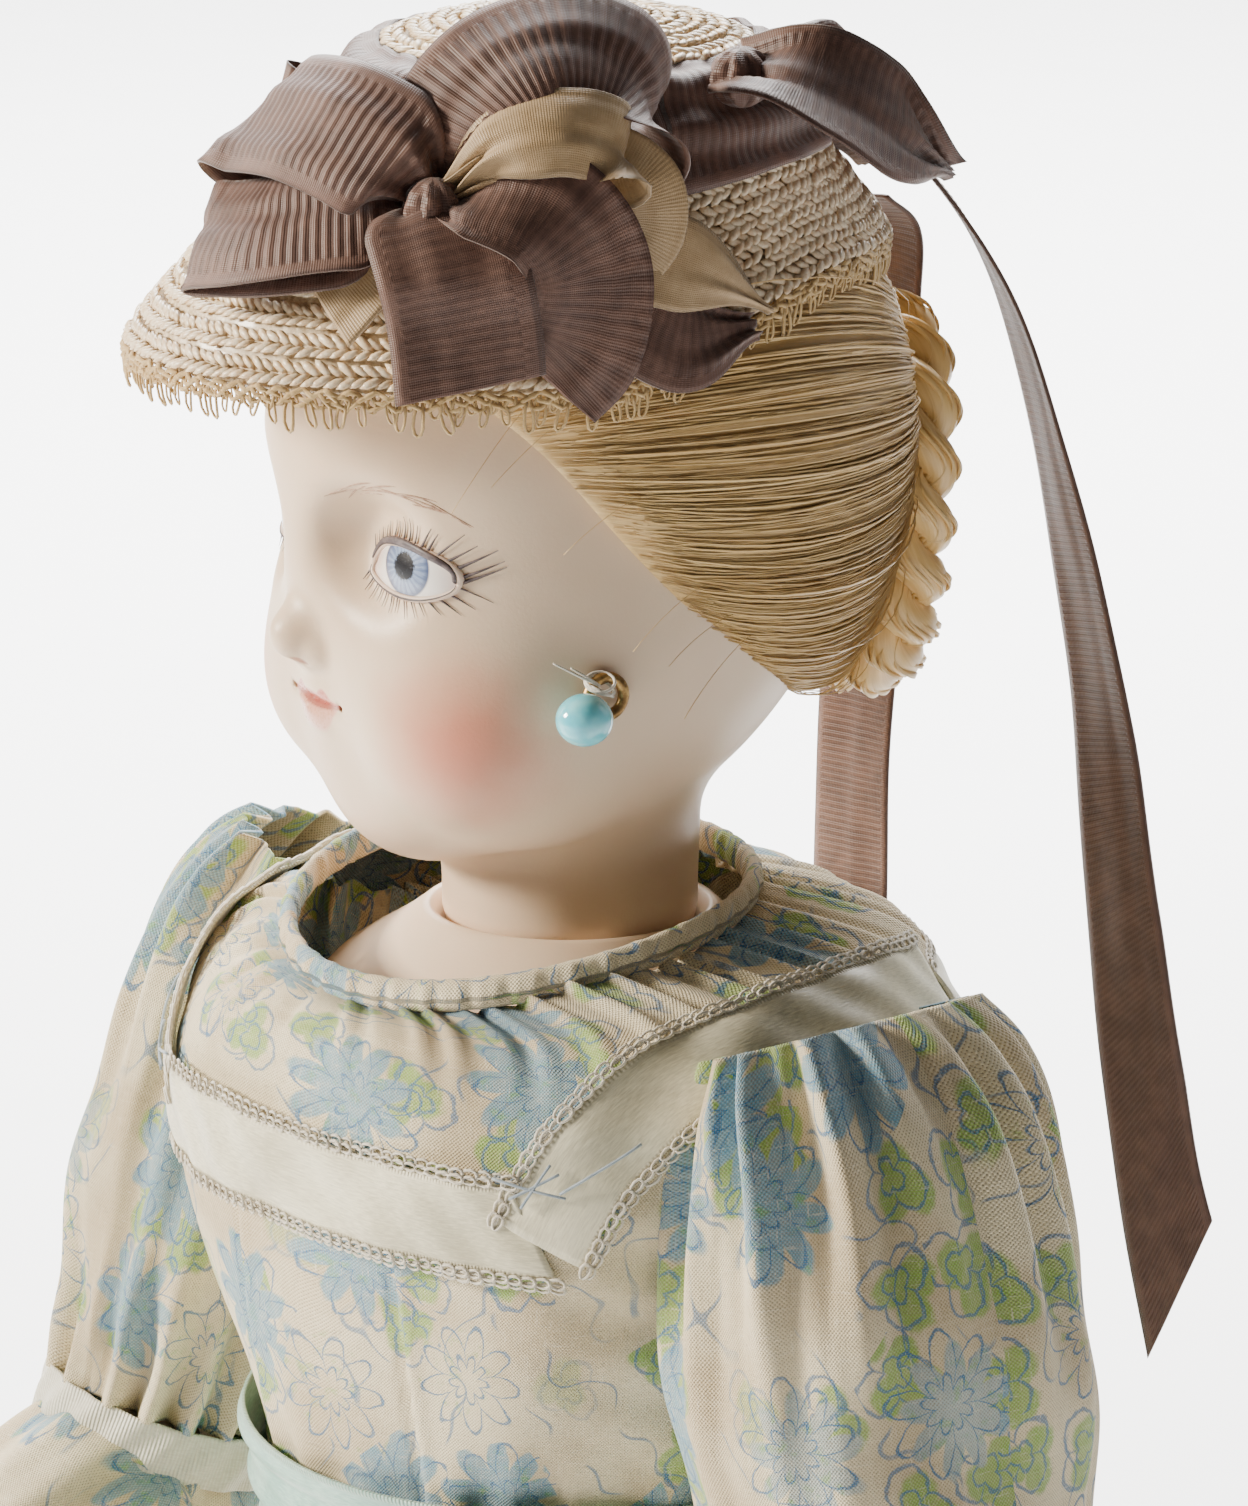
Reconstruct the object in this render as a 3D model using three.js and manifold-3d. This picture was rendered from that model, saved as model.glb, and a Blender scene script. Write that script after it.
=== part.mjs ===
// A dressed porcelain fashion doll, standing, with a swivel head on a shoulder plate.
// Millimetres, +Z up. The doll faces -Y and its left hand is towards +X. The origin is on the floor,
// under the neck.
// Each sub-part is one closed mesh. The head and all it wears are built facing -Y and turned about the
// neck at the end.
import * as THREE from "three";
import { mergeVertices } from "three/addons/utils/BufferGeometryUtils.js";
import Module from "manifold-3d";

const wasm = await Module();
wasm.setup();

// ---- driving dimensions ----
const CHIN = 323; // height of the chin
const NECK_PIVOT = 317; // centre of the neck's ball in the shoulder plate's cup
const NECK_BALL = 14.2;
const CUP_GAP = 0.5;
const ROD_RADIUS = 1.2;
const HEAD_TURN = THREE.MathUtils.degToRad(-14);
const BISQUE_WALL = 2.6;
const GAP = 0.4; // between pieces that touch
const WAIST = 250;
const SHOULDER = new THREE.Vector3(48, 0, 298); // left shoulder pivot
const ELBOW = new THREE.Vector3(57, 1, 236);
const WRIST = new THREE.Vector3(54, -33, 204);
const FINGERTIPS = new THREE.Vector3(52, -50, 185);
const HIP = new THREE.Vector3(16, 1, 198.6);
const KNEE = new THREE.Vector3(16, 1, 100);
const ANKLE = new THREE.Vector3(16, 3, 22);
const SIDES = [
  { name: "left", sign: 1, swing: 0, fullness: 1 },
  // hangs a little forward
  { name: "right", sign: -1, swing: THREE.MathUtils.degToRad(-16), fullness: 0.8 },
];
const ROUND = 16; // points round a body section
const SMALL_ROUND = 8;

// ---- colours ----
const colours = {
  bisque: ["#d9c3b2", 0.45, 0],
  cork: ["#a9825a", 0.9, 0],
  mohair: ["#c39a5b", 0.55, 0],
  straw: ["#dcc7a4", 0.45, 0],
  lace: ["#c9a970", 0.8, 0],
  brown_ribbon: ["#6b4a3f", 0.6, 0],
  tan_satin: ["#c3a274", 0.4, 0],
  turquoise_glass: ["#8fd0dd", 0.15, 0],
  brass: ["#8d6a35", 0.35, 1],
  thread: ["#e4dfd0", 0.9, 0],
  printed_cotton: ["#d8cbb6", 0.85, 0],
  ivory_satin: ["#e9e3cd", 0.35, 0],
  aqua_satin: ["#c8ded0", 0.35, 0],
  white_cotton: ["#ece7dc", 0.9, 0],
  muslin: ["#d9cdb5", 0.95, 0],
  boot_leather: ["#4a3026", 0.4, 0],
  sole_leather: ["#8a6243", 0.7, 0],
  pearl: ["#ece6da", 0.25, 0],
  steel: ["#8c8c8c", 0.35, 1],
};
const materials = {};
for (const [name, [color, roughness, metalness]] of Object.entries(colours)) {
  materials[name] = new THREE.MeshStandardMaterial({ name, color, roughness, metalness });
}

const doll = new THREE.Group();
const headGroup = new THREE.Group();
headGroup.rotation.z = HEAD_TURN;
doll.add(headGroup);

function addPiece(group, name, geometry, material) {
  const mesh = new THREE.Mesh(geometry, materials[material]);
  mesh.name = name;
  group.add(mesh);
  return mesh;
}

// ---- shapes ----
const vector = (x, y, z) => new THREE.Vector3(x, y, z);

// A closed surface through rings of points. An open row of rings gets a cap at each end; a closed row
// joins last to first.
function skin(rings, closed = false) {
  const count = rings[0].length;
  const points = rings.flat();
  const faces = [];
  const spans = closed ? rings.length : rings.length - 1;
  for (let r = 0; r < spans; r++) {
    const low = r * count;
    const high = ((r + 1) % rings.length) * count;
    for (let i = 0; i < count; i++) {
      const j = (i + 1) % count;
      faces.push(low + i, low + j, high + j, low + i, high + j, high + i);
    }
  }
  if (!closed) {
    for (const [ring, turned] of [[0, true], [rings.length - 1, false]]) {
      const middle = new THREE.Vector3();
      rings[ring].forEach((p) => middle.addScaledVector(p, 1 / count));
      points.push(middle);
      for (let i = 0; i < count; i++) {
        const a = ring * count + i;
        const b = ring * count + ((i + 1) % count);
        faces.push(points.length - 1, turned ? b : a, turned ? a : b);
      }
    }
  }
  let volume = 0;
  for (let i = 0; i < faces.length; i += 3) {
    const [a, b, c] = [points[faces[i]], points[faces[i + 1]], points[faces[i + 2]]];
    volume += a.dot(b.clone().cross(c));
  }
  if (volume < 0) faces.reverse();
  const geometry = new THREE.BufferGeometry().setFromPoints(points);
  geometry.setIndex(faces);
  return geometry;
}

// A level section of half-width a (X) and half-depth b (Y), squarer as square rises. Its front dips
// and its back lifts.
function ring({ z, a, b, y = 0, dip = 0, lift = 0, square = 2 }, count = ROUND) {
  const bulge = (value) => Math.sign(value) * Math.abs(value) ** (2 / square);
  return Array.from({ length: count }, (_, i) => {
    const angle = (2 * Math.PI * i) / count;
    const front = (1 - Math.sin(angle)) / 2;
    const rise = lift * THREE.MathUtils.smoothstep(Math.sin(angle), -0.15, 0.65) - dip * front ** 2;
    return vector(a * bulge(Math.cos(angle)), y + b * bulge(Math.sin(angle)), z + rise);
  });
}

const inset = (section, wall) => ({ ...section, a: section.a - wall, b: section.b - wall });

// A thin wall that follows a row of sections: up the outside and down the inside.
function shell(sections, wall, count = ROUND) {
  const outside = sections.map((s) => ring(s, count));
  const inside = sections.map((s) => ring(inset(s, wall), count)).reverse();
  return skin([...outside, ...inside], true);
}

const loft = (sections, count = ROUND) => skin(sections.map((s) => ring(s, count)));

// A round limb along a row of stations {at, r, deep}, each ring square to the limb.
function limb(stations, count = SMALL_ROUND) {
  const rings = stations.map(({ at, r, deep = r }, i) => {
    const before = stations[Math.max(i - 1, 0)].at;
    const after = stations[Math.min(i + 1, stations.length - 1)].at;
    const along = after.clone().sub(before).normalize();
    const side = vector(1, 0, 0).addScaledVector(along, -along.x).normalize();
    const front = along.clone().cross(side);
    return Array.from({ length: count }, (_, k) => {
      const angle = (2 * Math.PI * k) / count;
      return at.clone().addScaledVector(side, r * Math.cos(angle)).addScaledVector(front,
        deep * Math.sin(angle));
    });
  });
  return skin(rings);
}

// A flat ribbon along points, with its width along across at each of them.
function strip(points, across, width, thickness = 1.2, steps = 10) {
  const path = new THREE.CatmullRomCurve3(points);
  const rings = [];
  for (let i = 0; i <= steps; i++) {
    const at = path.getPoint(i / steps);
    const along = path.getTangent(i / steps);
    const span = (i / steps) * (across.length - 1);
    const low = Math.min(Math.floor(span), across.length - 2);
    const wide = across[low].clone().lerp(across[low + 1], span - low).normalize();
    const up = along.clone().cross(wide).normalize();
    rings.push([[-1, -1], [1, -1], [1, 1], [-1, 1]].map(([u, v]) =>
      at.clone().addScaledVector(wide, (u * width) / 2).addScaledVector(up, (v * thickness) / 2)));
  }
  return skin(rings);
}

// A turned shape about Z from its profile of [radius, height] pairs, placed at x, y.
function turned(profile, x = 0, y = 0, count = ROUND) {
  const geometry = new THREE.LatheGeometry(profile.map(([r, z]) => new THREE.Vector2(r, z)), count);
  geometry.rotateX(Math.PI / 2);
  geometry.translate(x, y, 0);
  return geometry;
}

function rod(from, to, radius, count = SMALL_ROUND) {
  const geometry = new THREE.CylinderGeometry(radius, radius, from.distanceTo(to), count);
  const turn = new THREE.Quaternion().setFromUnitVectors(vector(0, 1, 0),
    to.clone().sub(from).normalize());
  geometry.applyQuaternion(turn);
  const middle = from.clone().lerp(to, 0.5);
  geometry.translate(middle.x, middle.y, middle.z);
  return geometry;
}

function ball(at, radii, across = 12, up = 8) {
  const geometry = new THREE.SphereGeometry(1, across, up);
  geometry.scale(radii.x, radii.y, radii.z);
  geometry.translate(at.x, at.y, at.z);
  return geometry;
}

// A box from one corner to the other.
function block(low, high) {
  const size = high.clone().sub(low);
  const middle = low.clone().lerp(high, 0.5);
  return new THREE.BoxGeometry(size.x, size.y, size.z).translate(middle.x, middle.y, middle.z);
}

// ---- joins and cuts ----
function solid(geometry) {
  const bare = new THREE.BufferGeometry();
  bare.setAttribute("position", geometry.getAttribute("position"));
  if (geometry.index) bare.setIndex(geometry.index);
  const merged = mergeVertices(bare, 1e-4);
  const made = new wasm.Manifold(new wasm.Mesh({
    numProp: 3,
    vertProperties: new Float32Array(merged.attributes.position.array),
    triVerts: new Uint32Array(merged.index.array),
  }));
  return made;
}

function geometryOf(manifold) {
  const largest = manifold.decompose().sort((a, b) => b.volume() - a.volume())[0];
  const mesh = largest.getMesh();
  const geometry = new THREE.BufferGeometry();
  geometry.setAttribute("position", new THREE.BufferAttribute(new Float32Array(mesh.vertProperties), 3));
  geometry.setIndex(new THREE.BufferAttribute(new Uint32Array(mesh.triVerts), 1));
  return geometry;
}

const joined = (...geometries) => geometries.map(solid).reduce((a, b) => a.add(b));
const cut = (from, ...tools) => tools.reduce((a, b) => a.subtract(b), from);

const mirrored = (v, sign) => vector(v.x * sign, v.y, v.z);

// ---- head ----
// The bisque head is a smooth blend of ellipsoids: [x, y, height above the chin], [radii], blend width.
const HEAD_LUMPS = [
  [[0, 1, 43], [30.5, 34, 35], 0],
  [[0, -4, 24], [27.5, 25, 24], 9],
  [[13, -14.5, 16], [13.5, 14, 13], 8],
  [[-13, -14.5, 16], [13.5, 14, 13], 8],
  [[0, -17.5, 7], [11, 9, 8.5], 6],
  [[0, -20.5, 16], [8, 8, 7], 5],
  [[0, -27, 30], [2.6, 3.4, 9], 4],
  [[0, -30.5, 24.5], [3.3, 4, 3.4], 3],
];

function blend(a, b, width) {
  const h = Math.max(width - Math.abs(a - b), 0) / (width || 1);
  return Math.min(a, b) - (h * h * width) / 4;
}

// About how far a point is outside the head's surface, and negative inside it.
function headDistance(x, y, z) {
  let found = Infinity;
  for (const [[cx, cy, cz], [rx, ry, rz], width] of HEAD_LUMPS) {
    const p = [x - cx, y - cy, z - CHIN - cz];
    const near = Math.hypot(p[0] / rx, p[1] / ry, p[2] / rz);
    const slope = Math.hypot(p[0] / rx ** 2, p[1] / ry ** 2, p[2] / rz ** 2) || 1;
    const distance = (near * (near - 1)) / slope;
    found = width ? blend(found, distance, width) : Math.min(found, distance);
  }
  return found;
}

// The surface that lies offset outside the head, as rays from the middle of the head meet it.
const HEAD_MIDDLE = vector(0, -2, CHIN + 36);
function headSurface(offset, across, up) {
  const geometry = new THREE.SphereGeometry(1, across, up);
  geometry.rotateX(Math.PI / 2);
  const position = geometry.attributes.position;
  for (let i = 0; i < position.count; i++) {
    const way = new THREE.Vector3().fromBufferAttribute(position, i);
    let low = 0;
    let high = 60;
    for (let step = 0; step < 26; step++) {
      const reach = (low + high) / 2;
      const p = HEAD_MIDDLE.clone().addScaledVector(way, reach);
      if (headDistance(p.x, p.y, p.z) < offset) low = reach;
      else high = reach;
    }
    const p = HEAD_MIDDLE.clone().addScaledVector(way, low);
    position.setXYZ(i, p.x, p.y, p.z);
  }
  return geometry;
}

// How far out the side of the head is at a depth y and a height.
function headSide(y, z) {
  let x = 0;
  while (headDistance(x, y, z) < 0) x += 0.05;
  return x;
}

const CROWN_CUT = CHIN + 67;
const FAR = 200;
const NECK_HOLE = 3.5;
const EAR = vector(0, -10, CHIN + 24);
EAR.x = headSide(EAR.y, EAR.z);
const EAR_HOLE = 0.9;

function neckProfile(radius, top) {
  const profile = [[0, NECK_PIVOT - radius]];
  for (let angle = -75; angle <= -15; angle += 15) {
    const turn = THREE.MathUtils.degToRad(angle);
    profile.push([radius * Math.cos(turn), NECK_PIVOT + radius * Math.sin(turn)]);
  }
  profile.push([radius - 0.3, NECK_PIVOT + 4], [radius + 0.4, NECK_PIVOT + 12], [radius + 3, top],
    [0, top]);
  return profile;
}

{
  const outside = solid(headSurface(0, 24, 18)).add(solid(turned(neckProfile(NECK_BALL, CHIN + 28))));
  const neckHollow = turned([[0, NECK_PIVOT - 11], [8, NECK_PIVOT - 8.5], [10.5, NECK_PIVOT - 3],
    [11, CHIN + 24], [0, CHIN + 24]]);
  const hollow = solid(headSurface(-BISQUE_WALL - 0.4, 14, 10)).add(solid(neckHollow));
  const neckHole = solid(rod(vector(0, 0, NECK_PIVOT - 20), vector(0, 0, NECK_PIVOT), NECK_HOLE));
  const crown = solid(block(vector(-FAR, -FAR, CROWN_CUT), vector(FAR, FAR, CROWN_CUT + FAR)));
  const earHoles = SIDES.map(({ sign }) =>
    solid(rod(mirrored(vector(EAR.x - 9, EAR.y, EAR.z), sign),
      mirrored(vector(EAR.x + 3, EAR.y, EAR.z), sign), EAR_HOLE, 10)));
  addPiece(headGroup, "head", geometryOf(cut(outside, hollow, neckHole, crown, ...earHoles)), "bisque");

  const dome = solid(headSurface(-GAP - 0.6, 16, 12));
  const above = solid(block(vector(-FAR, -FAR, CROWN_CUT + GAP), vector(FAR, FAR, CROWN_CUT + FAR)));
  addPiece(headGroup, "cork_pate", geometryOf(dome.intersect(above)), "cork");
}

// ---- neck fitting: a rod with a domed washer in the head, and a spring and wing nut under the cup ----
const CUP_UNDER = NECK_PIVOT - NECK_BALL - CUP_GAP - 2.6; // underside of the shoulder plate's cup
{
  addPiece(doll, "neck_rod", rod(vector(0, 0, 284.5), vector(0, 0, NECK_PIVOT + 3), ROD_RADIUS), "steel");
  const dome = [[ROD_RADIUS + 0.3, 306.6], [5.2, 308.6], [5.2, 310], [ROD_RADIUS + 0.3, 311.6],
    [ROD_RADIUS + 0.3, 306.6]];
  addPiece(doll, "neck_dome_washer", turned(dome, 0, 0, 16), "brass");
  const springTop = CUP_UNDER - 0.6;
  const springLow = 288.6;
  const turns = 3;
  const steps = turns * 8;
  const coil = Array.from({ length: steps + 1 }, (_, i) => {
    const angle = (i / steps) * turns * 2 * Math.PI;
    const rise = springLow + 0.6 + ((springTop - springLow - 1.3) * i) / steps;
    return { at: vector(2.9 * Math.cos(angle), 2.9 * Math.sin(angle), rise), r: 0.45 };
  });
  const rings = coil.map(({ at, r }) => {
    const out = vector(at.x, at.y, 0).normalize();
    return Array.from({ length: 6 }, (_, k) => {
      const angle = (k * Math.PI) / 3;
      return at.clone().addScaledVector(out, r * Math.cos(angle)).addScaledVector(vector(0, 0, 1),
        r * Math.sin(angle));
    });
  });
  addPiece(doll, "neck_spring", skin(rings), "steel");
  const body = turned([[ROD_RADIUS + 0.3, 285.4], [3, 285.4], [3, 288.2], [ROD_RADIUS + 0.3, 288.2],
    [ROD_RADIUS + 0.3, 285.4]], 0, 0, 16);
  const wings = SIDES.map(({ sign }) => ball(vector(4.6 * sign, 0, 286.8), vector(2.2, 0.8, 1.3), 8, 6));
  addPiece(doll, "wing_nut", geometryOf(joined(body, ...wings)), "brass");
}

// ---- hat: sections of the straw shape from the brim's edge up to the tip ----
const HAT_BRIM = CHIN + 55.5;
const HAT_WALL = 1.8;
const HAT_ROUND = 20;
const HAT = [
  { z: 0, a: 33, b: 41.5, y: -7, lift: 9 }, { z: 3.5, a: 31.3, b: 39.5, y: -6.5, lift: 8 },
  { z: 7.5, a: 30, b: 36.5, y: -5.5, lift: 6.5 }, { z: 11.5, a: 28.8, b: 33.5, y: -4, lift: 4.5 },
  { z: 16, a: 27.4, b: 30, y: -2.5, lift: 2.5 }, { z: 21.5, a: 25.8, b: 27, y: -1, lift: 1 },
  { z: 27.5, a: 22.5, b: 22.5, y: -0.5 }, { z: 31, a: 16.5, b: 16.5 }, { z: 32.5, a: 8, b: 8 },
].map((section) => ({ ...section, z: section.z + HAT_BRIM }));

const hatGrown = (out) => HAT.map((s) => ({ ...s, z: s.z + out * 0.75, a: s.a + out, b: s.b + out }));
function hatFilled(out, below = 1) {
  const grown = hatGrown(out);
  return solid(loft([{ ...grown[0], z: grown[0].z - below }, ...grown], HAT_ROUND));
}

{
  const outside = loft(HAT, HAT_ROUND);
  addPiece(headGroup, "straw_hat", geometryOf(cut(solid(outside), hatFilled(-HAT_WALL, 2))), "straw");
  const rim = HAT[0];
  const edging = [[0.9, -0.5], [0.9, -2.5], [-0.3, -5], [-1.2, -5], [-1.8, -2.5], [-1.8, -0.5]];
  addPiece(headGroup, "picot_edging", skin(edging.map(([out, rise]) =>
    ring({ ...rim, z: rim.z + rise, a: rim.a + out, b: rim.b + out }, HAT_ROUND)), true), "lace");
  const low = HAT.slice(3, 6);
  const grown = (out, rise) => low.map((s) => ring({ ...s, z: s.z + rise, a: s.a + out, b: s.b + out },
    HAT_ROUND));
  addPiece(headGroup, "hat_band", skin([...grown(1.4, 1), ...grown(0.5, 0.4).reverse()], true),
    "brown_ribbon");
}

// ---- wig: swept back from the temples, and a braided coil pinned at the back ----
const WIG_SLOPE = THREE.MathUtils.degToRad(43.3); // the hairline runs down and back at this angle
const WIG_FRONT = CHIN + 31; // height of the hairline over the neck
const NAPE = CHIN + 18;
{
  const lock = ball(vector(0, 1.8, CHIN + 43), vector(33.2, 36.2, 36.5), 18, 12);
  const face = new THREE.BoxGeometry(FAR, FAR, FAR).translate(0, -FAR / 2, 0);
  face.rotateX(WIG_SLOPE).translate(0, 0, WIG_FRONT);
  const brimGap = 6; // the picot edging hangs this far below the brim
  const high = block(vector(-FAR, -FAR, HAT_BRIM - brimGap), vector(FAR, FAR, HAT_BRIM + FAR));
  const low = block(vector(-FAR, -FAR, CHIN - FAR), vector(FAR, FAR, NAPE));
  const crowned = solid(lock).intersect(solid(high)).intersect(hatFilled(-HAT_WALL - 1, brimGap));
  const hanging = cut(solid(lock), solid(high));
  const clear = solid(headSurface(GAP, 24,
    18)).add(solid(turned(neckProfile(NECK_BALL + GAP, CHIN + 28))));
  addPiece(headGroup, "wig", geometryOf(cut(hanging.add(crowned), solid(face), solid(low), clear)),
    "mohair");

  const turns = 18;
  const coil = Array.from({ length: turns }, (_, i) => {
    const angle = (2 * Math.PI * i) / turns;
    const rise = 16 * Math.sin(angle);
    return vector(12.5 * Math.cos(angle), 36 + rise * 0.1 - 2.5 * Math.cos(angle) ** 2, CHIN + 33 + rise);
  });
  const rings = coil.map((at, i) => {
    const along = coil[(i + 1) % turns].clone().sub(coil[(i + turns - 1) % turns]).normalize();
    const back = vector(0, 1, 0);
    const out = along.clone().cross(back).normalize();
    return Array.from({ length: 8 }, (_, k) => {
      const angle = (k * Math.PI) / 4;
      return at.clone().addScaledVector(back, 4.6 * Math.cos(angle)).addScaledVector(out,
        6.2 * Math.sin(angle));
    });
  });
  const scalp = solid(ball(vector(0, 1.8, CHIN + 43), vector(34.2, 37.2, 37.5), 18, 12));
  const neck = solid(turned(neckProfile(NECK_BALL + GAP, CHIN + 28)));
  const skull = solid(headSurface(GAP, 24, 18));
  const underBrim = cut(solid(high),
    solid(block(vector(-FAR, -FAR, HAT_BRIM + 60), vector(FAR, FAR, HAT_BRIM + 70))));
  addPiece(headGroup, "braided_chignon",
    geometryOf(cut(solid(skin(rings, true)), scalp, neck, skull, underBrim)), "mohair");
}

// ---- bows on the hat: loops of ribbon round a knot, their backs trimmed to the hat and its band ----
function bow(knot, loops, width) {
  const parts = [ball(knot, vector(3.4, 3.4, 3.4), 8, 6)];
  for (const { way, lift, reach } of loops) {
    const out = way.clone().normalize();
    const top = knot.clone().addScaledVector(out, reach * 0.5).addScaledVector(lift, 3.5);
    const end = knot.clone().addScaledVector(out, reach).addScaledVector(lift, 1);
    const across = out.clone().cross(lift).normalize();
    parts.push(strip([knot.clone(), top, end], [across, across, across], width, 2.2, 5));
  }
  return joined(...parts);
}

{
  const trimmed = hatFilled(GAP + 1.4, 0.2);
  const knot = vector(18.5, -26, CHIN + 75);
  const lift = vector(0.5, -0.6, 0.62).normalize();
  const front = bow(knot, [
    { way: vector(-0.62, -0.2, 0.42), lift, reach: 24 },
    { way: vector(-0.72, -0.55, -0.05), lift, reach: 23 },
    { way: vector(0.3, -0.35, -0.8), lift: vector(0.6, -0.6, 0.4).normalize(), reach: 19 },
    { way: vector(0.5, 0.5, -0.6), lift, reach: 16 },
    { way: vector(-0.1, 0.85, 0.5), lift, reach: 25 },
  ], 12);
  addPiece(headGroup, "front_bow", geometryOf(front.subtract(trimmed)), "brown_ribbon");
  const acrossTail = vector(0.6, 0.2, 0.75).normalize();
  const tail = solid(strip([vector(32, -12, CHIN + 72), vector(35.5, -3, CHIN + 68),
    vector(36.5, 6, CHIN + 64)],
    [acrossTail, acrossTail], 11, 1.4, 4));
  const acrossTan = vector(-0.8, 0.1, 0.5).normalize();
  const middle = solid(strip([vector(21, -23, CHIN + 80), vector(24.5, -11, CHIN + 82),
    vector(25, -2, CHIN + 80)],
    [acrossTan, acrossTan], 9, 1.4, 5));
  addPiece(headGroup, "tan_satin_loop", geometryOf(cut(middle, trimmed, front)), "tan_satin");
  addPiece(headGroup, "tan_satin_tail", geometryOf(cut(tail, trimmed, front, middle)), "tan_satin");
  const backKnot = vector(7, 27, CHIN + 79);
  const back = bow(backKnot, [
    { way: vector(0.45, 0.8, -0.45), lift: vector(0.5, 0.5, 0.7).normalize(), reach: 19 },
    { way: vector(-0.8, 0.2, -0.2), lift: vector(-0.2, 0.6, 0.75).normalize(), reach: 15 },
    { way: vector(0.25, -0.7, 0.4), lift: vector(0.4, 0.3, 0.8).normalize(), reach: 16 },
  ], 12);
  addPiece(headGroup, "back_bow", geometryOf(back.subtract(trimmed)), "brown_ribbon");

  const wide = (x, y, z) => vector(x, y, z).normalize();
  const long = strip([
    vector(9, 41.5, CHIN + 67), vector(11, 46, CHIN + 55), vector(15, 52, CHIN + 34),
    vector(19, 55, CHIN + 12),
    vector(22, 57, CHIN - 15), vector(25, 60, CHIN - 42), vector(28, 63, CHIN - 62),
  ], [wide(1, 0.2, 0.1), wide(0.9, 0.45, 0), wide(0.8, 0.6, 0), wide(0.8, 0.6, 0)], 10, 0.8, 14);
  addPiece(headGroup, "long_streamer", long, "brown_ribbon");
  const short = strip([
    vector(-10, 42, CHIN + 56), vector(-12, 43.5, CHIN + 40), vector(-13, 42, CHIN + 14),
    vector(-13, 40.5, CHIN - 6),
    vector(-13, 41, CHIN - 30), vector(-13, 42, CHIN - 55),
  ], [wide(1, 0.3, 0), wide(0.85, 0.5, 0)], 10, 0.8, 12);
  addPiece(headGroup, "back_streamer", short, "brown_ribbon");
}

// ---- earrings: a brass ring on a post, a thread tie and a glass bead ----
for (const { name, sign } of SIDES) {
  const group = new THREE.Group();
  headGroup.add(group);
  const out = EAR.x + 1.6;
  const ringRadius = 2.05;
  const wire = 0.7;
  const hoop = new THREE.TorusGeometry(ringRadius, wire, 6, 14);
  hoop.rotateY(Math.PI / 2);
  hoop.translate(out * sign, EAR.y, EAR.z - ringRadius);
  const post = rod(mirrored(vector(EAR.x - 5, EAR.y, EAR.z), sign),
    mirrored(vector(out, EAR.y, EAR.z), sign), 0.6, 8);
  addPiece(group, `${name}_earring_hook`, geometryOf(joined(hoop, post)), "brass");
  const bead = vector((out + 3) * sign, EAR.y - 3.9, EAR.z - 3.4);
  addPiece(group, `${name}_earring_bead`, ball(bead, vector(3, 3, 2.9), 12, 8), "turquoise_glass");
  const knot = new THREE.TorusGeometry(1, 0.4, 5, 8);
  knot.rotateY(Math.PI / 2.4 * sign);
  knot.translate((out + 1.5) * sign, EAR.y - 1.2, EAR.z - 0.2);
  addPiece(group, `${name}_earring_thread`, knot, "thread");
}

// ---- shoulder plate ----
const PLATE_OUTSIDE = [
  { z: 281, a: 31, b: 24 }, { z: 291, a: 34, b: 25.5 }, { z: 300, a: 33.5, b: 25.5 },
  { z: 306, a: 28.5, b: 23.5 },
  { z: 310, a: 22, b: 20 }, { z: 312.9, a: 17.4, b: 17 }, { z: 314, a: 15.7, b: 15.7 },
];
{
  const cup = NECK_BALL + CUP_GAP;
  const inCup = [-12, -30, -50, -68].map((angle) => {
    const turn = THREE.MathUtils.degToRad(angle);
    return { z: NECK_PIVOT + cup * Math.sin(turn), a: cup * Math.cos(turn), b: cup * Math.cos(turn) };
  });
  const hole = { z: NECK_PIVOT - cup + 0.4, a: NECK_HOLE, b: NECK_HOLE };
  const under = [{ z: CUP_UNDER, a: NECK_HOLE, b: NECK_HOLE }, { z: CUP_UNDER + 1.2, a: 10, b: 10 },
    { z: CUP_UNDER + 4, a: 15, b: 14.5 }];
  const inside = PLATE_OUTSIDE.slice(0,
    4).map((s) => ({ ...inset(s, BISQUE_WALL), z: s.z - (s.z > 290 ? 1.6 : 0) })).reverse();
  const rings = [...PLATE_OUTSIDE, ...inCup, hole, ...under, ...inside].map((s) => ring(s));
  const pinHoles = SIDES.map(({ sign }) => solid(rod(
    mirrored(vector(20, SHOULDER.y, SHOULDER.z), sign),
      mirrored(vector(40, SHOULDER.y, SHOULDER.z), sign), 2.2)));
  addPiece(doll, "shoulder_plate", geometryOf(cut(solid(skin(rings, true)), ...pinHoles)), "bisque");
}

// ---- stuffed cloth body ----
const PIN_RADIUS = 1.2;
const PIN_GAP = 0.35;
{
  const body = solid(loft([
    { z: 199, a: 27, b: 6, y: 1 }, { z: 204, a: 30, b: 17, y: 1 }, { z: 214, a: 31.5, b: 24, y: 1 },
    { z: 232, a: 27.5, b: 22.5 },
    { z: WAIST, a: 24, b: 20 }, { z: 275, a: 27, b: 21 }, { z: 288, a: 29, b: 20.5 },
    { z: 295, a: 27, b: 18 },
  ]));
  const well = solid(rod(vector(0, 0, 282), vector(0, 0, 330), 10.5, 18));
  const pinHoles = SIDES.map(({ sign }) => solid(rod(
    mirrored(vector(16, SHOULDER.y, SHOULDER.z), sign),
      mirrored(vector(60, SHOULDER.y, SHOULDER.z), sign), PIN_RADIUS + PIN_GAP, 12)));
  addPiece(doll, "stuffed_torso", geometryOf(cut(body, well, ...pinHoles)), "muslin");
}

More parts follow.
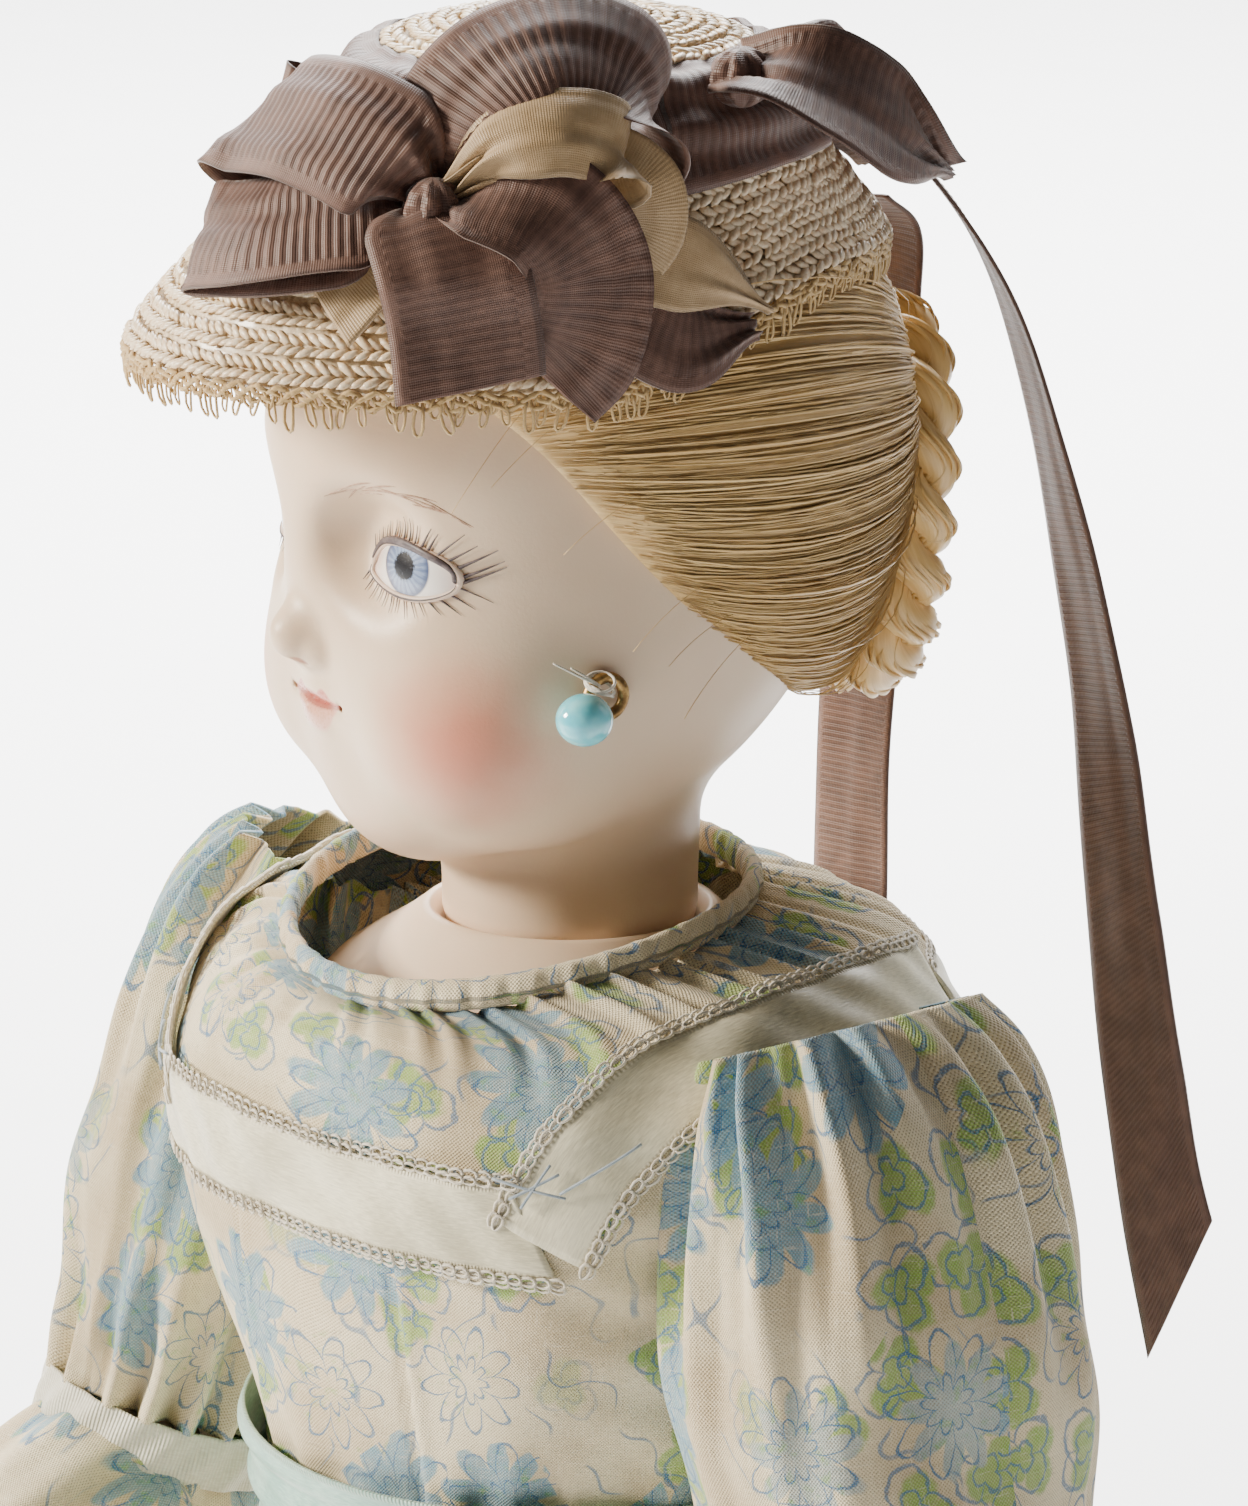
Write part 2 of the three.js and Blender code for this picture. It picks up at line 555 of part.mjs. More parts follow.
// ---- dress bodice and its trims ----
const NECKLINE = { z: 317.5, a: 26.5, b: 24.5, y: -7, dip: 8 };
const BODICE = [
  { z: 243.5, a: 34, b: 31.5 }, { z: 256, a: 36, b: 33.5 }, { z: 274, a: 40, b: 36, square: 2.4 },
  { z: 290, a: 44, b: 37.5, square: 2.5 }, { z: 300, a: 45, b: 36.5, dip: 0.5, square: 2.4 },
  { z: 307, a: 43.5, b: 34.5, dip: 2, square: 2.2 }, { z: 312.5, a: 38.5, b: 32.5, dip: 4.5 }, NECKLINE,
];
const CLOTH = 1.1;
{
  const armhole = solid(rod(vector(-FAR, 0, 295), vector(FAR, 0, 295), 12.5, 20));
  addPiece(doll, "bodice", geometryOf(cut(solid(shell(BODICE, CLOTH)), armhole)), "printed_cotton");
  const band = (out, rise) => ring({ ...inset(NECKLINE, -out), z: NECKLINE.z + rise });
  addPiece(doll, "neckline_band",
    skin([band(0.4, 0.4), band(1, 1.6), band(-0.4, 3), band(-1.4, 2.8), band(-1.4, 0.4)], true),
      "printed_cotton");
}

// A point on the bodice's outside at a height and an angle from the front.
function onBodice(z, degrees) {
  const at = BODICE.findIndex((s) => s.z >= z);
  const [low, high] = [BODICE[at - 1], BODICE[at]];
  const share = (z - low.z) / (high.z - low.z);
  const between = (key, plain = 0) => (low[key] ?? plain) + ((high[key] ?? plain) - (low[key] ?? plain)) * share;
  const turn = THREE.MathUtils.degToRad(degrees);
  const bulge = (value) => Math.sign(value) * Math.abs(value) ** (2 / between("square", 2));
  return vector(
    between("a") * bulge(Math.sin(turn)),
    between("y") - between("b") * bulge(Math.cos(turn)),
    z - between("dip") * ((1 + Math.cos(turn)) / 2) ** 2,
  );
}

function bodiceNormal(z, degrees) {
  const up = onBodice(z + 0.5, degrees).sub(onBodice(z - 0.5, degrees));
  const round = onBodice(z, degrees + 1).sub(onBodice(z, degrees - 1));
  return round.cross(up).normalize();
}

const TRIM_WIDTH = 10;
const TRIM_OUT = 1.5;
const TRIM_CLEARANCE = 4;
const bodiceGrown = (out) => solid(loft(BODICE.map((s) => ({ ...inset(s, -out), z: s.z + out * 0.4 }))));
function trim(stations) {
  const points = stations.map(([z, degrees]) => onBodice(z,
    degrees).addScaledVector(bodiceNormal(z, degrees), TRIM_OUT));
  const across = stations.map(([z, degrees], i) => {
    const before = points[Math.max(i - 1, 0)];
    const after = points[Math.min(i + 1, points.length - 1)];
    return after.clone().sub(before).cross(bodiceNormal(z, degrees)).normalize();
  });
  return solid(strip(points, across, TRIM_WIDTH, 0.9, 12)).subtract(bodiceGrown(GAP));
}
{
  const front = trim([-42, -21, 0, 21, 42].map((degrees) => [290.8, degrees]));
  addPiece(doll, "front_ribbon_trim", geometryOf(front), "ivory_satin");
  for (const { name, sign } of SIDES) {
    const side = trim([[293, 44], [300.5, 50], [307, 61], [310, 80], [310.5, 102],
      [308.5, 124]].map(([z, degrees]) => [z, degrees * sign]));
    addPiece(doll, `${name}_ribbon_trim`, geometryOf(side.subtract(front)), "ivory_satin");
  }
  const back = trim([134, 157, 180, 203, 226].map((degrees) => [305, degrees]));
  addPiece(doll, "back_ribbon_trim", geometryOf(back), "ivory_satin");
  [292, 279, 266].forEach((z, i) => {
    const out = onBodice(z, 180).y + GAP;
    addPiece(doll, `back_button_${i + 1}`, rod(vector(4, out, z), vector(4, out + 1.3, z), 1.9, 12),
      "pearl");
  });
}

// ---- sash and its bow ----
const SASH = { low: WAIST - 7, high: WAIST + 7 };
{
  const around = ({ z, a, b }) => ({ z, a: a + 1.9, b: b + 1.9 });
  const sash = [{ z: SASH.low, a: 34, b: 31.5 }, { z: WAIST, a: 35, b: 32.5 },
    { z: SASH.high, a: 36.3, b: 33.7 }].map(around);
  addPiece(doll, "waist_sash", shell(sash, 1.2), "aqua_satin");
  const knot = vector(0, 38, WAIST - 1);
  const up = vector(0, 1, 0.2).normalize();
  const loops = bow(knot, [
    { way: vector(1, 0.1, 0.3), lift: up, reach: 26 }, { way: vector(-1, 0.1, 0.3), lift: up, reach: 26 },
  ], 13);
  addPiece(doll, "sash_bow", geometryOf(cut(loops,
    solid(loft([{ z: 225, a: 38.7, b: 36.2 }, { z: 300, a: 38.7, b: 36.2 }])))), "aqua_satin");
  for (const { name, sign } of SIDES) {
    const tail = strip([
      vector(7 * sign, 44.5, WAIST - 6), vector(9 * sign, 55, WAIST - 26),
      vector(12 * sign, 68, WAIST - 60), vector(14 * sign, 80, WAIST - 96),
    ], [vector(1, 0, 0), vector(1, 0, 0)], 11, 0.9, 10);
    addPiece(doll, `${name}_sash_tail`, tail, "aqua_satin");
  }
}

// ---- skirt and petticoat ----
const SKIRT = [
  { z: 0, a: 92, b: 92 }, { z: 45, a: 86, b: 86.5, y: 1 }, { z: 110, a: 70, b: 73, y: 4 },
  { z: 170, a: 52, b: 57, y: 5 },
  { z: 203, a: 43, b: 48, y: 4 }, { z: 226, a: 37.5, b: 39.5, y: 1.5 }, { z: 237, a: 34.5, b: 33.5 },
  { z: 243, a: 32, b: 29.8 },
];
{
  addPiece(doll, "skirt", shell(SKIRT, CLOTH, 24), "printed_cotton");
  const petticoat = SKIRT.slice(0, 6).map((s) => inset(s, 3.2));
  petticoat[0] = { ...petticoat[0], z: 6 };
  addPiece(doll, "petticoat", shell(petticoat, 0.9), "white_cotton");
}

// ---- arms: stuffed upper arms on shoulder pins, bisque forearms, and two-part sleeves ----
const lerp = (from, to, share) => from.clone().lerp(to, share);
for (const { name, sign, swing, fullness } of SIDES) {
  const [shoulder, elbow, wrist, tips] = [SHOULDER, ELBOW, WRIST,
    FINGERTIPS].map((p) => mirrored(p, sign));
  const at = (x, y, z) => mirrored(vector(x, y, z), sign);
  // Turns a piece of the arm forward about the shoulder.
  const swung = (geometry) => geometry.translate(0, -shoulder.y,
    -shoulder.z).rotateX(swing).translate(0, shoulder.y, shoulder.z);

  addPiece(doll, `${name}_shoulder_pin`,
    rod(at(18, shoulder.y, shoulder.z), at(53, shoulder.y, shoulder.z), PIN_RADIUS), "steel");
  const upper = limb([
    { at: lerp(shoulder, elbow, -0.09), r: 2 }, { at: lerp(shoulder, elbow, -0.06), r: 4.4 },
    { at: lerp(shoulder, elbow, 0.02), r: 6.4 },
    { at: lerp(shoulder, elbow, 0.2), r: 7.6 }, { at: lerp(shoulder, elbow, 0.4), r: 7.6 },
    { at: lerp(shoulder, elbow, 0.8), r: 6.8 }, { at: lerp(shoulder, elbow, 0.85), r: 4 },
  ]);
  const pinHole = solid(rod(at(30, shoulder.y, shoulder.z), at(54, shoulder.y, shoulder.z),
    PIN_RADIUS + PIN_GAP, 12));
  addPiece(doll, `${name}_upper_arm`, geometryOf(cut(solid(swung(upper)), pinHole)), "muslin");
  const lower = swung(limb([
    { at: lerp(elbow, wrist, -0.13), r: 3 }, { at: lerp(elbow, wrist, -0.09), r: 5 },
    { at: elbow, r: 6.4 },
    { at: lerp(elbow, wrist, 0.3), r: 6.6 }, { at: lerp(elbow, wrist, 0.75), r: 5 }, { at: wrist, r: 4 },
    { at: lerp(wrist, tips, 0.3), r: 3.6, deep: 6.4 }, { at: lerp(wrist, tips, 0.65), r: 3.2, deep: 6 },
    { at: tips, r: 1.8, deep: 3.4 },
  ]));
  const thumb = swung(limb([
    { at: lerp(wrist, tips, 0.1).add(vector(-1 * sign, -2, 2)), r: 1.9 },
    { at: lerp(wrist, tips, 0.35).add(vector(-2 * sign, -5, 5)), r: 1.9 },
    { at: lerp(wrist, tips, 0.6).add(vector(-2.4 * sign, -5, 5)), r: 1.3 },
  ], 8));
  addPiece(doll, `${name}_forearm`, geometryOf(joined(lower, thumb)), "bisque");

  // The puff hangs from the armhole and is gathered into a ribbon over the elbow.
  const full = (r) => r * fullness;
  const puff = swung(limb([
    { at: at(42, 0, 313), r: 3, deep: 12 }, { at: at(44.5, 0, 309), r: 9, deep: full(17) },
    { at: at(48, 0, 298), r: 16, deep: full(21.5) },
    { at: at(50.5, 0, 281), r: full(20), deep: full(23.5) },
    { at: at(53, 0.5, 263), r: full(20), deep: full(22.5) },
    { at: at(55, 1, 250), r: full(17.5), deep: full(18) }, { at: at(56, 1, 243.5), r: 14, deep: 14.5 },
  ], 12));
  const hollow = swung(limb([
    { at: at(45.5, 0, 307), r: 6, deep: 10 }, { at: at(46.5, 0, 303), r: 10, deep: full(14) },
    { at: at(48, 0, 297), r: 13, deep: full(18) },
    { at: at(50.5, 0, 281), r: full(18), deep: full(21) },
    { at: at(53, 0.5, 263), r: full(18), deep: full(20.5) },
    { at: at(55, 1, 250), r: full(15), deep: full(15.5) }, { at: at(56, 1, 240), r: 11.5, deep: 11.5 },
  ], 12));
  const doorway = solid(rod(at(20, 0, 296), at(48, 0, 296), 10, 18));
  const bodyClear = bodiceGrown(TRIM_CLEARANCE);
  addPiece(doll, `${name}_sleeve_puff`, geometryOf(cut(solid(puff), bodyClear, solid(hollow), doorway)),
    "printed_cotton");

  const around = (stations, r) => swung(limb(stations.map((point) => ({ at: point, r })), 12));
  const band = [at(56.1, 1, 243), at(56.9, 1, 237.5)];
  const inBand = [at(56, 1, 245), at(57.1, 1, 236)];
  addPiece(doll, `${name}_sleeve_ribbon`,
    geometryOf(cut(solid(around(band, 14.6)), solid(around(inBand, 13.2)))), "ivory_satin");
  const ribbonClear = solid(around([at(55.9, 1, 246), at(56.95, 1, 237)], 15.6));
  const path = [at(57, 1, 237), at(57, -1.5, 231), lerp(elbow, wrist, 0.3), lerp(elbow, wrist, 0.55),
    lerp(elbow, wrist, 0.85)];
  const flounce = (radii) => path.map((point, i) => ({ at: point, r: radii[i] }));
  const outer = swung(limb(flounce([14, 14.6, 13.6, 12.6, 12.4]), 12));
  const inner = [{ at: at(57, 1.5, 239), r: 12 }, ...flounce([12.4, 13.2, 12.2, 11.2, 11]),
    { at: lerp(elbow, wrist, 0.95), r: 11 }];
  addPiece(doll, `${name}_lower_sleeve`,
    geometryOf(cut(solid(outer), solid(swung(limb(inner, 12))), ribbonClear)), "printed_cotton");
}

// ---- legs and boots ----
for (const { name, sign } of SIDES) {
  const [hip, knee, ankle] = [HIP, KNEE, ANKLE].map((p) => mirrored(p, sign));
  const thigh = limb([
    { at: hip, r: 9, deep: 1.2 }, { at: lerp(hip, knee, 0.06), r: 10.5, deep: 6 },
    { at: lerp(hip, knee, 0.14), r: 11.5, deep: 10.5 },
    { at: lerp(hip, knee, 0.35), r: 12.5 }, { at: lerp(hip, knee, 0.7), r: 10.5 },
    { at: lerp(hip, knee, 0.915), r: 9.2 },
  ]);
  addPiece(doll, `${name}_thigh`, thigh, "muslin");
  const shin = limb([
    { at: lerp(knee, ankle, -0.1), r: 3.5 }, { at: lerp(knee, ankle, -0.07), r: 6 },
    { at: knee, r: 8.4 }, { at: lerp(knee, ankle, 0.3), r: 9 },
    { at: lerp(knee, ankle, 0.7), r: 6.4 }, { at: ankle, r: 5.2 }, { at: lerp(knee, ankle, 1.1), r: 5 },
  ]);
  addPiece(doll, `${name}_shin`, shin, "bisque");
  const clear = limb([
    { at: lerp(knee, ankle, 0.3), r: 9 + GAP }, { at: lerp(knee, ankle, 0.7), r: 6.4 + GAP },
    { at: ankle, r: 5.2 + GAP }, { at: lerp(knee, ankle, 1.1).add(vector(0, 0, -GAP)), r: 5 + GAP },
  ]);
  const shaft = limb([
    { at: lerp(knee, ankle, 0.62), r: 8.4 }, { at: lerp(knee, ankle, 0.8), r: 7.4 },
    { at: ankle, r: 6.9 }, { at: vector(ankle.x, ankle.y, 8), r: 7.6, deep: 9 },
  ], 12);
  const foot = loft([
    { z: 4, a: 8, b: 20, y: -8 }, { z: 8, a: 8.4, b: 20, y: -8 }, { z: 13, a: 7.4, b: 16, y: -5.5 },
    { z: 19, a: 5.6, b: 9, y: -1 },
  ], 14).translate(ankle.x, 0, 0);
  addPiece(doll, `${name}_boot`, geometryOf(cut(joined(shaft, foot), solid(clear))), "boot_leather");
  const sole = loft([{ z: 1.8, a: 8.2, b: 20.4, y: -8 }, { z: 3.6, a: 8.4, b: 20.6, y: -8 }],
    14).translate(ankle.x, 0, 0);
  const heel = block(vector(ankle.x - 5.5, 3, 0), vector(ankle.x + 5.5, 11.5, 2.4));
  const tread = block(vector(ankle.x - 5, -24, 0), vector(ankle.x + 5, -8, 2.4));
  addPiece(doll, `${name}_boot_sole`, geometryOf(joined(sole, heel, tread)), "sole_leather");
}

export default doll;
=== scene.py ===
"""A dressed porcelain fashion doll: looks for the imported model, built in metres round its frame."""
import logging
import math
from dataclasses import dataclass, field
from enum import Enum
from typing import Callable, Iterable, Sequence

import bmesh
import bpy
import numpy as np
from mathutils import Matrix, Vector


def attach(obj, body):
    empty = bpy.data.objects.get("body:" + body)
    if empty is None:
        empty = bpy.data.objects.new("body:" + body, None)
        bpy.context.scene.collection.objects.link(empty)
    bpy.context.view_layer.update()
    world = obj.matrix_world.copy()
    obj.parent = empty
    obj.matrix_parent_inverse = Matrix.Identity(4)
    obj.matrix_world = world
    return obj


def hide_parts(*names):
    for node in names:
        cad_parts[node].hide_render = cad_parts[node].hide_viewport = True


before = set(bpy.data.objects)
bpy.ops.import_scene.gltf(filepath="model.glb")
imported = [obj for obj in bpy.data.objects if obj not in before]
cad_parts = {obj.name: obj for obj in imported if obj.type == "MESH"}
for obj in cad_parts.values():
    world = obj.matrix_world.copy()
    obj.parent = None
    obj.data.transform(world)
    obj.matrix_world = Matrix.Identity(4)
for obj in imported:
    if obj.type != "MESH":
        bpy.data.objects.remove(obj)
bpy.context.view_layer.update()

log = logging.getLogger("doll")
MM = 0.001
RIM = 314.0  # height of the neck's opening in the shoulder plate, mm
HEAD_TURN = math.radians(-14)
Piece = bpy.types.Object
Material = bpy.types.Material
Array = np.ndarray
Colour = tuple[float, float, float]


# ---- plain geometry helpers, all in millimetres ----

def even_angles(count: int) -> Array:
    """Give even angles once round, from zero."""
    return np.linspace(0, 2 * math.pi, count, endpoint=False)


def unit(vectors: Array) -> Array:
    """Scale vectors to length one.

    Args:
        vectors: one vector or rows of them.

    Returns:
        The same vectors at length one.
    """
    return vectors / np.maximum(np.linalg.norm(vectors, axis=-1, keepdims=True), 1e-9)


def smooth(low: float, high: float, value: Array) -> Array:
    """Rise smoothly from 0 at low to 1 at high.

    Args:
        low: where the rise starts.
        high: where it ends.
        value: the values to read.

    Returns:
        Shares from 0 to 1.
    """
    share = np.clip((value - low) / (high - low), 0, 1)
    return share * share * (3 - 2 * share)


def path_through(points: Sequence[Sequence[float]], count: int) -> Array:
    """Run a smooth curve through points at an even spacing.

    Args:
        points: the points that the curve passes through.
        count: how many points to return.

    Returns:
        Rows of points along the curve.
    """
    knots = np.asarray(points, float)
    knots = np.vstack([2 * knots[0] - knots[1], knots, 2 * knots[-1] - knots[-2]])
    fine = []
    for i in range(1, len(knots) - 2):
        a, b, c, d = knots[i - 1:i + 3]
        t = np.linspace(0, 1, 24, endpoint=False)[:, None]
        fine.append(0.5 * (2 * b + (c - a) * t + (2 * a - 5 * b + 4 * c - d) * t**2
                           + (3 * b - a - 3 * c + d) * t**3))
    fine = np.vstack([*fine, knots[-2:-1]])
    run = np.r_[0, np.cumsum(np.linalg.norm(np.diff(fine, axis=0), axis=1))]
    wanted = np.linspace(0, run[-1], count)
    return np.column_stack([np.interp(wanted, run, fine[:, k]) for k in range(fine.shape[1])])


def length_of(path: Array) -> float:
    """Measure a path along its points."""
    return float(np.linalg.norm(np.diff(path, axis=0), axis=1).sum())


def in_head(points: Array) -> Array:
    """Turn points from the head's own frame (left, back, up; up from the neck's rim) to the doll's frame.

    Args:
        points: rows of x, y, z with the face towards -y.

    Returns:
        Rows of millimetres in the doll's frame.
    """
    p = np.asarray(points, float)
    c, s = math.cos(HEAD_TURN), math.sin(HEAD_TURN)
    return np.stack([c * p[..., 0] - s * p[..., 1], s * p[..., 0] + c * p[..., 1], p[..., 2] + RIM],
                    axis=-1)


def turn_head(vectors: Array) -> Array:
    """Turn directions with the head, without moving them."""
    return in_head(vectors) - np.array([0, 0, RIM])


class Mesh:
    """Collects vertices, faces and face-corner UVs in millimetres and makes one Blender object of them."""

    def __init__(self) -> None:
        """Start empty."""
        self.points: list[Array] = []
        self.faces: list[Array] = []
        self.uvs: list[Array] = []
        self.count = 0

    def grid(self, surface: Array, uv: Array | None = None, across: bool = False,
             along: bool = False) -> None:
        """Add a grid of quads.

        Args:
            surface: points as rows x columns x 3.
            uv: millimetre texture places, rows x columns x 2.
            across: join the last column to the first.
            along: join the last row to the first.
        """
        rows, columns = surface.shape[:2]
        if uv is None:
            uv = np.zeros((rows, columns, 2))
        r = np.arange(rows if along else rows - 1)[:, None]
        c = np.arange(columns if across else columns - 1)[None, :]
        r2, c2 = (r + 1) % rows, (c + 1) % columns
        quads = np.stack(np.broadcast_arrays(r * columns + c, r * columns + c2, r2 * columns + c2,
                                             r2 * columns + c), -1)
        quads = quads.reshape(-1, 4)
        corners = uv.reshape(-1, 2)[quads]
        if across:
            step = uv[0, 1, 0] - uv[0, 0, 0]
            wrap = (quads[:, 0] % columns) == columns - 1
            corners[wrap, 1:3, 0] = corners[wrap, 0:1, 0] + step
        self.faces.append(quads + self.count)
        self.uvs.append(corners)
        self.points.append(surface.reshape(-1, 3))
        self.count += rows * columns

    def add_quads(self, points: Array, quads: Array) -> None:
        """Add loose points and the quads between them."""
        self.faces.append(quads + self.count)
        self.points.append(points)
        self.uvs.append(np.zeros((len(quads), 4, 2)))
        self.count += len(points)

    def cap(self, first: int, count: int, turned: bool) -> None:
        """Close a ring of points with a fan of quads and triangles round its middle.

        Args:
            first: index of the ring's first point.
            count: how many points the ring has.
            turned: whether the fan faces the other way.
        """
        start = self.count
        for block in reversed(self.points):
            start -= len(block)
            if start <= first:
                break
        ring = block[first - start:first - start + count]
        self.points.append(ring.mean(axis=0)[None])
        order = np.arange(count)
        a, b = first + order, first + (order + 1) % count
        fan = np.stack([np.full(count, self.count), b if turned else a, a if turned else b], -1)
        self.faces.append(fan)
        self.uvs.append(np.zeros((count, 3, 2)))
        self.count += 1

    def finish(self, name: str, *how: object) -> Piece:
        """Make the object, point its faces outwards and dress it.

        Args:
            name: the object's name.
            how: the rest of what dress takes.

        Returns:
            The new object.
        """
        piece = self.build(name)
        mend_normals(piece)
        dress(piece, *how)
        return piece

    def build(self, name: str, smooth_faces: bool = True,
              attributes: dict[str, Array] | None = None) -> Piece:
        """Make the Blender object.

        Args:
            name: the object's name.
            smooth_faces: whether it is shaded smooth.
            attributes: numbers for each point, by name.

        Returns:
            The new object, linked to the scene.
        """
        data = bpy.data.meshes.new(name)
        points = np.vstack(self.points) * MM
        faces = [face.tolist() for block in self.faces for face in block]
        data.from_pydata(points.tolist(), [], faces)
        layer = data.uv_layers.new(name="cloth")
        flat = np.concatenate([block.reshape(-1, 2) for block in self.uvs])
        layer.data.foreach_set("uv", flat.astype(np.float32).ravel())
        for key, values in (attributes or {}).items():
            made = data.attributes.new(key, "FLOAT", "POINT")
            made.data.foreach_set("value", np.asarray(values, np.float32))
        data.polygons.foreach_set("use_smooth", [smooth_faces] * len(data.polygons))
        data.update()
        data.validate()
        piece = bpy.data.objects.new(name, data)
        bpy.context.scene.collection.objects.link(piece)
        return piece


def frames_along(path: Array, up: Array) -> tuple[Array, Array, Array]:
    """Find the directions along, across and out of a path.

    Args:
        path: rows of points.
        up: the outward direction, one or a row for each point.

    Returns:
        Unit rows: along, across and outward.
    """
    along = unit(np.gradient(path, axis=0))
    across = unit(np.cross(along, np.broadcast_to(up, path.shape)))
    return along, across, np.cross(across, along)


def add_tube(mesh: Mesh, path: Array, radius: Array | float, sides: int = 6, flat: float = 1.0,
             up: Array | None = None, closed: bool = False) -> None:
    """Add a tube along a path.

    Args:
        mesh: where it goes.
        path: rows of points.
        radius: one radius, or one for each point.
        sides: how many sides it has.
        flat: its thickness as a share of its width.
        up: the direction that it is thin in.
        closed: whether the path joins up with itself.
    """
    up = np.array([0.13, 0.21, 0.97]) if up is None else up
    if closed:
        loop = np.vstack([path[-1:], path, path[:1]])
        tall = np.broadcast_to(up, path.shape)
        tall = np.vstack([tall[-1:], tall, tall[:1]])
        _, across, out = (v[1:-1] for v in frames_along(loop, tall))
    else:
        _, across, out = frames_along(path, up)
    r = np.broadcast_to(np.asarray(radius, float), len(path))[:, None, None]
    angle = even_angles(sides)[None, :, None]
    ring = path[:, None] + r * (np.cos(angle) * across[:, None] + flat * np.sin(angle) * out[:, None])
    run = np.r_[0, np.cumsum(np.linalg.norm(np.diff(path, axis=0), axis=1))]
    uv = np.stack(np.broadcast_arrays(np.arange(sides)[None, :] * 0.5, run[:, None]), -1)
    first = mesh.count
    mesh.grid(ring, uv, across=True, along=closed)
    if not closed:
        mesh.cap(first, sides, False)
        mesh.cap(first + (len(path) - 1) * sides, sides, True)


def mend_normals(piece: Piece) -> None:
    """Point every face of a closed piece outwards."""
    work = bmesh.new()
    work.from_mesh(piece.data)
    bmesh.ops.recalc_face_normals(work, faces=work.faces)
    work.to_mesh(piece.data)
    work.free()


def apply_modifiers(piece: Piece) -> Piece:
    """Turn a piece with modifiers into the plain mesh that they make.

    Args:
        piece: the object whose modifiers are applied.

    Returns:
        The same object with its final mesh.
    """
    graph = bpy.context.evaluated_depsgraph_get()
    done = bpy.data.meshes.new_from_object(piece.evaluated_get(graph), depsgraph=graph)
    piece.modifiers.clear()
    old = piece.data
    piece.data = done
    bpy.data.meshes.remove(old)
    return piece


def dress(piece: Piece, material: Material, body: str, slot: str, nodes: Iterable[str] = ()) -> Piece:
    """Give a finished piece its material and its body, and hide the CAD nodes that it stands for.

    Args:
        piece: the finished object.
        material: its material.
        body: the body that it rides on.
        slot: not used.
        nodes: CAD nodes that it replaces.

    Returns:
        The same piece.
    """
    piece.data.materials.clear()
    piece.data.materials.append(material)
    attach(piece, body)
    for node in nodes:
        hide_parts(node)
    log.info("%s: %d faces on %s", piece.name, len(piece.data.polygons), body)
    return piece


# ---- shader building ----

class Socket:
    """A shader value; Python arithmetic on it adds Math nodes."""

    def __init__(self, graph: "Graph", link: bpy.types.NodeSocket) -> None:
        """Wrap one output socket."""
        self.graph, self.link = graph, link

    def _math(self, operation: str, *values: object) -> "Socket":
        """Add one Math node."""
        return self.graph.node("ShaderNodeMath", {"operation": operation}, dict(enumerate(values)))

    def __add__(self, other: object) -> "Socket":
        """Add."""
        return self._math("ADD", self, other)

    __radd__ = __add__

    def __sub__(self, other: object) -> "Socket":
        """Subtract."""
        return self._math("SUBTRACT", self, other)

    def __rsub__(self, other: object) -> "Socket":
        """Subtract from a number."""
        return self._math("SUBTRACT", other, self)

    def __mul__(self, other: object) -> "Socket":
        """Multiply."""
        return self._math("MULTIPLY", self, other)

    __rmul__ = __mul__

    def __truediv__(self, other: object) -> "Socket":
        """Divide."""
        return self._math("DIVIDE", self, other)

    def __rtruediv__(self, other: object) -> "Socket":
        """Divide a number by this."""
        return self._math("DIVIDE", other, self)

    def __pow__(self, other: object) -> "Socket":
        """Raise to a power."""
        return self._math("POWER", self, other)

    def __neg__(self) -> "Socket":
        """Change sign."""
        return self._math("MULTIPLY", self, -1.0)

    def __abs__(self) -> "Socket":
        """Drop the sign."""
        return self._math("ABSOLUTE", self)

    def wave(self) -> "Socket":
        """Take the sine."""
        return self._math("SINE", self)

    def least(self, other: object) -> "Socket":
        """Take the smaller value."""
        return self._math("MINIMUM", self, other)

    def most(self, other: object) -> "Socket":
        """Take the larger value."""
        return self._math("MAXIMUM", self, other)

    def rise(self, low: float, high: float) -> "Socket":
        """Rise smoothly from 0 at low to 1 at high, or fall where low is the larger."""
        turned = low > high
        inputs = {"Value": self, "From Min": min(low, high), "From Max": max(low, high), "To Min": 1.0
                  if turned else 0.0, "To Max": 0.0 if turned else 1.0}
        return self.graph.node("ShaderNodeMapRange", {"interpolation_type": "SMOOTHSTEP"}, inputs)


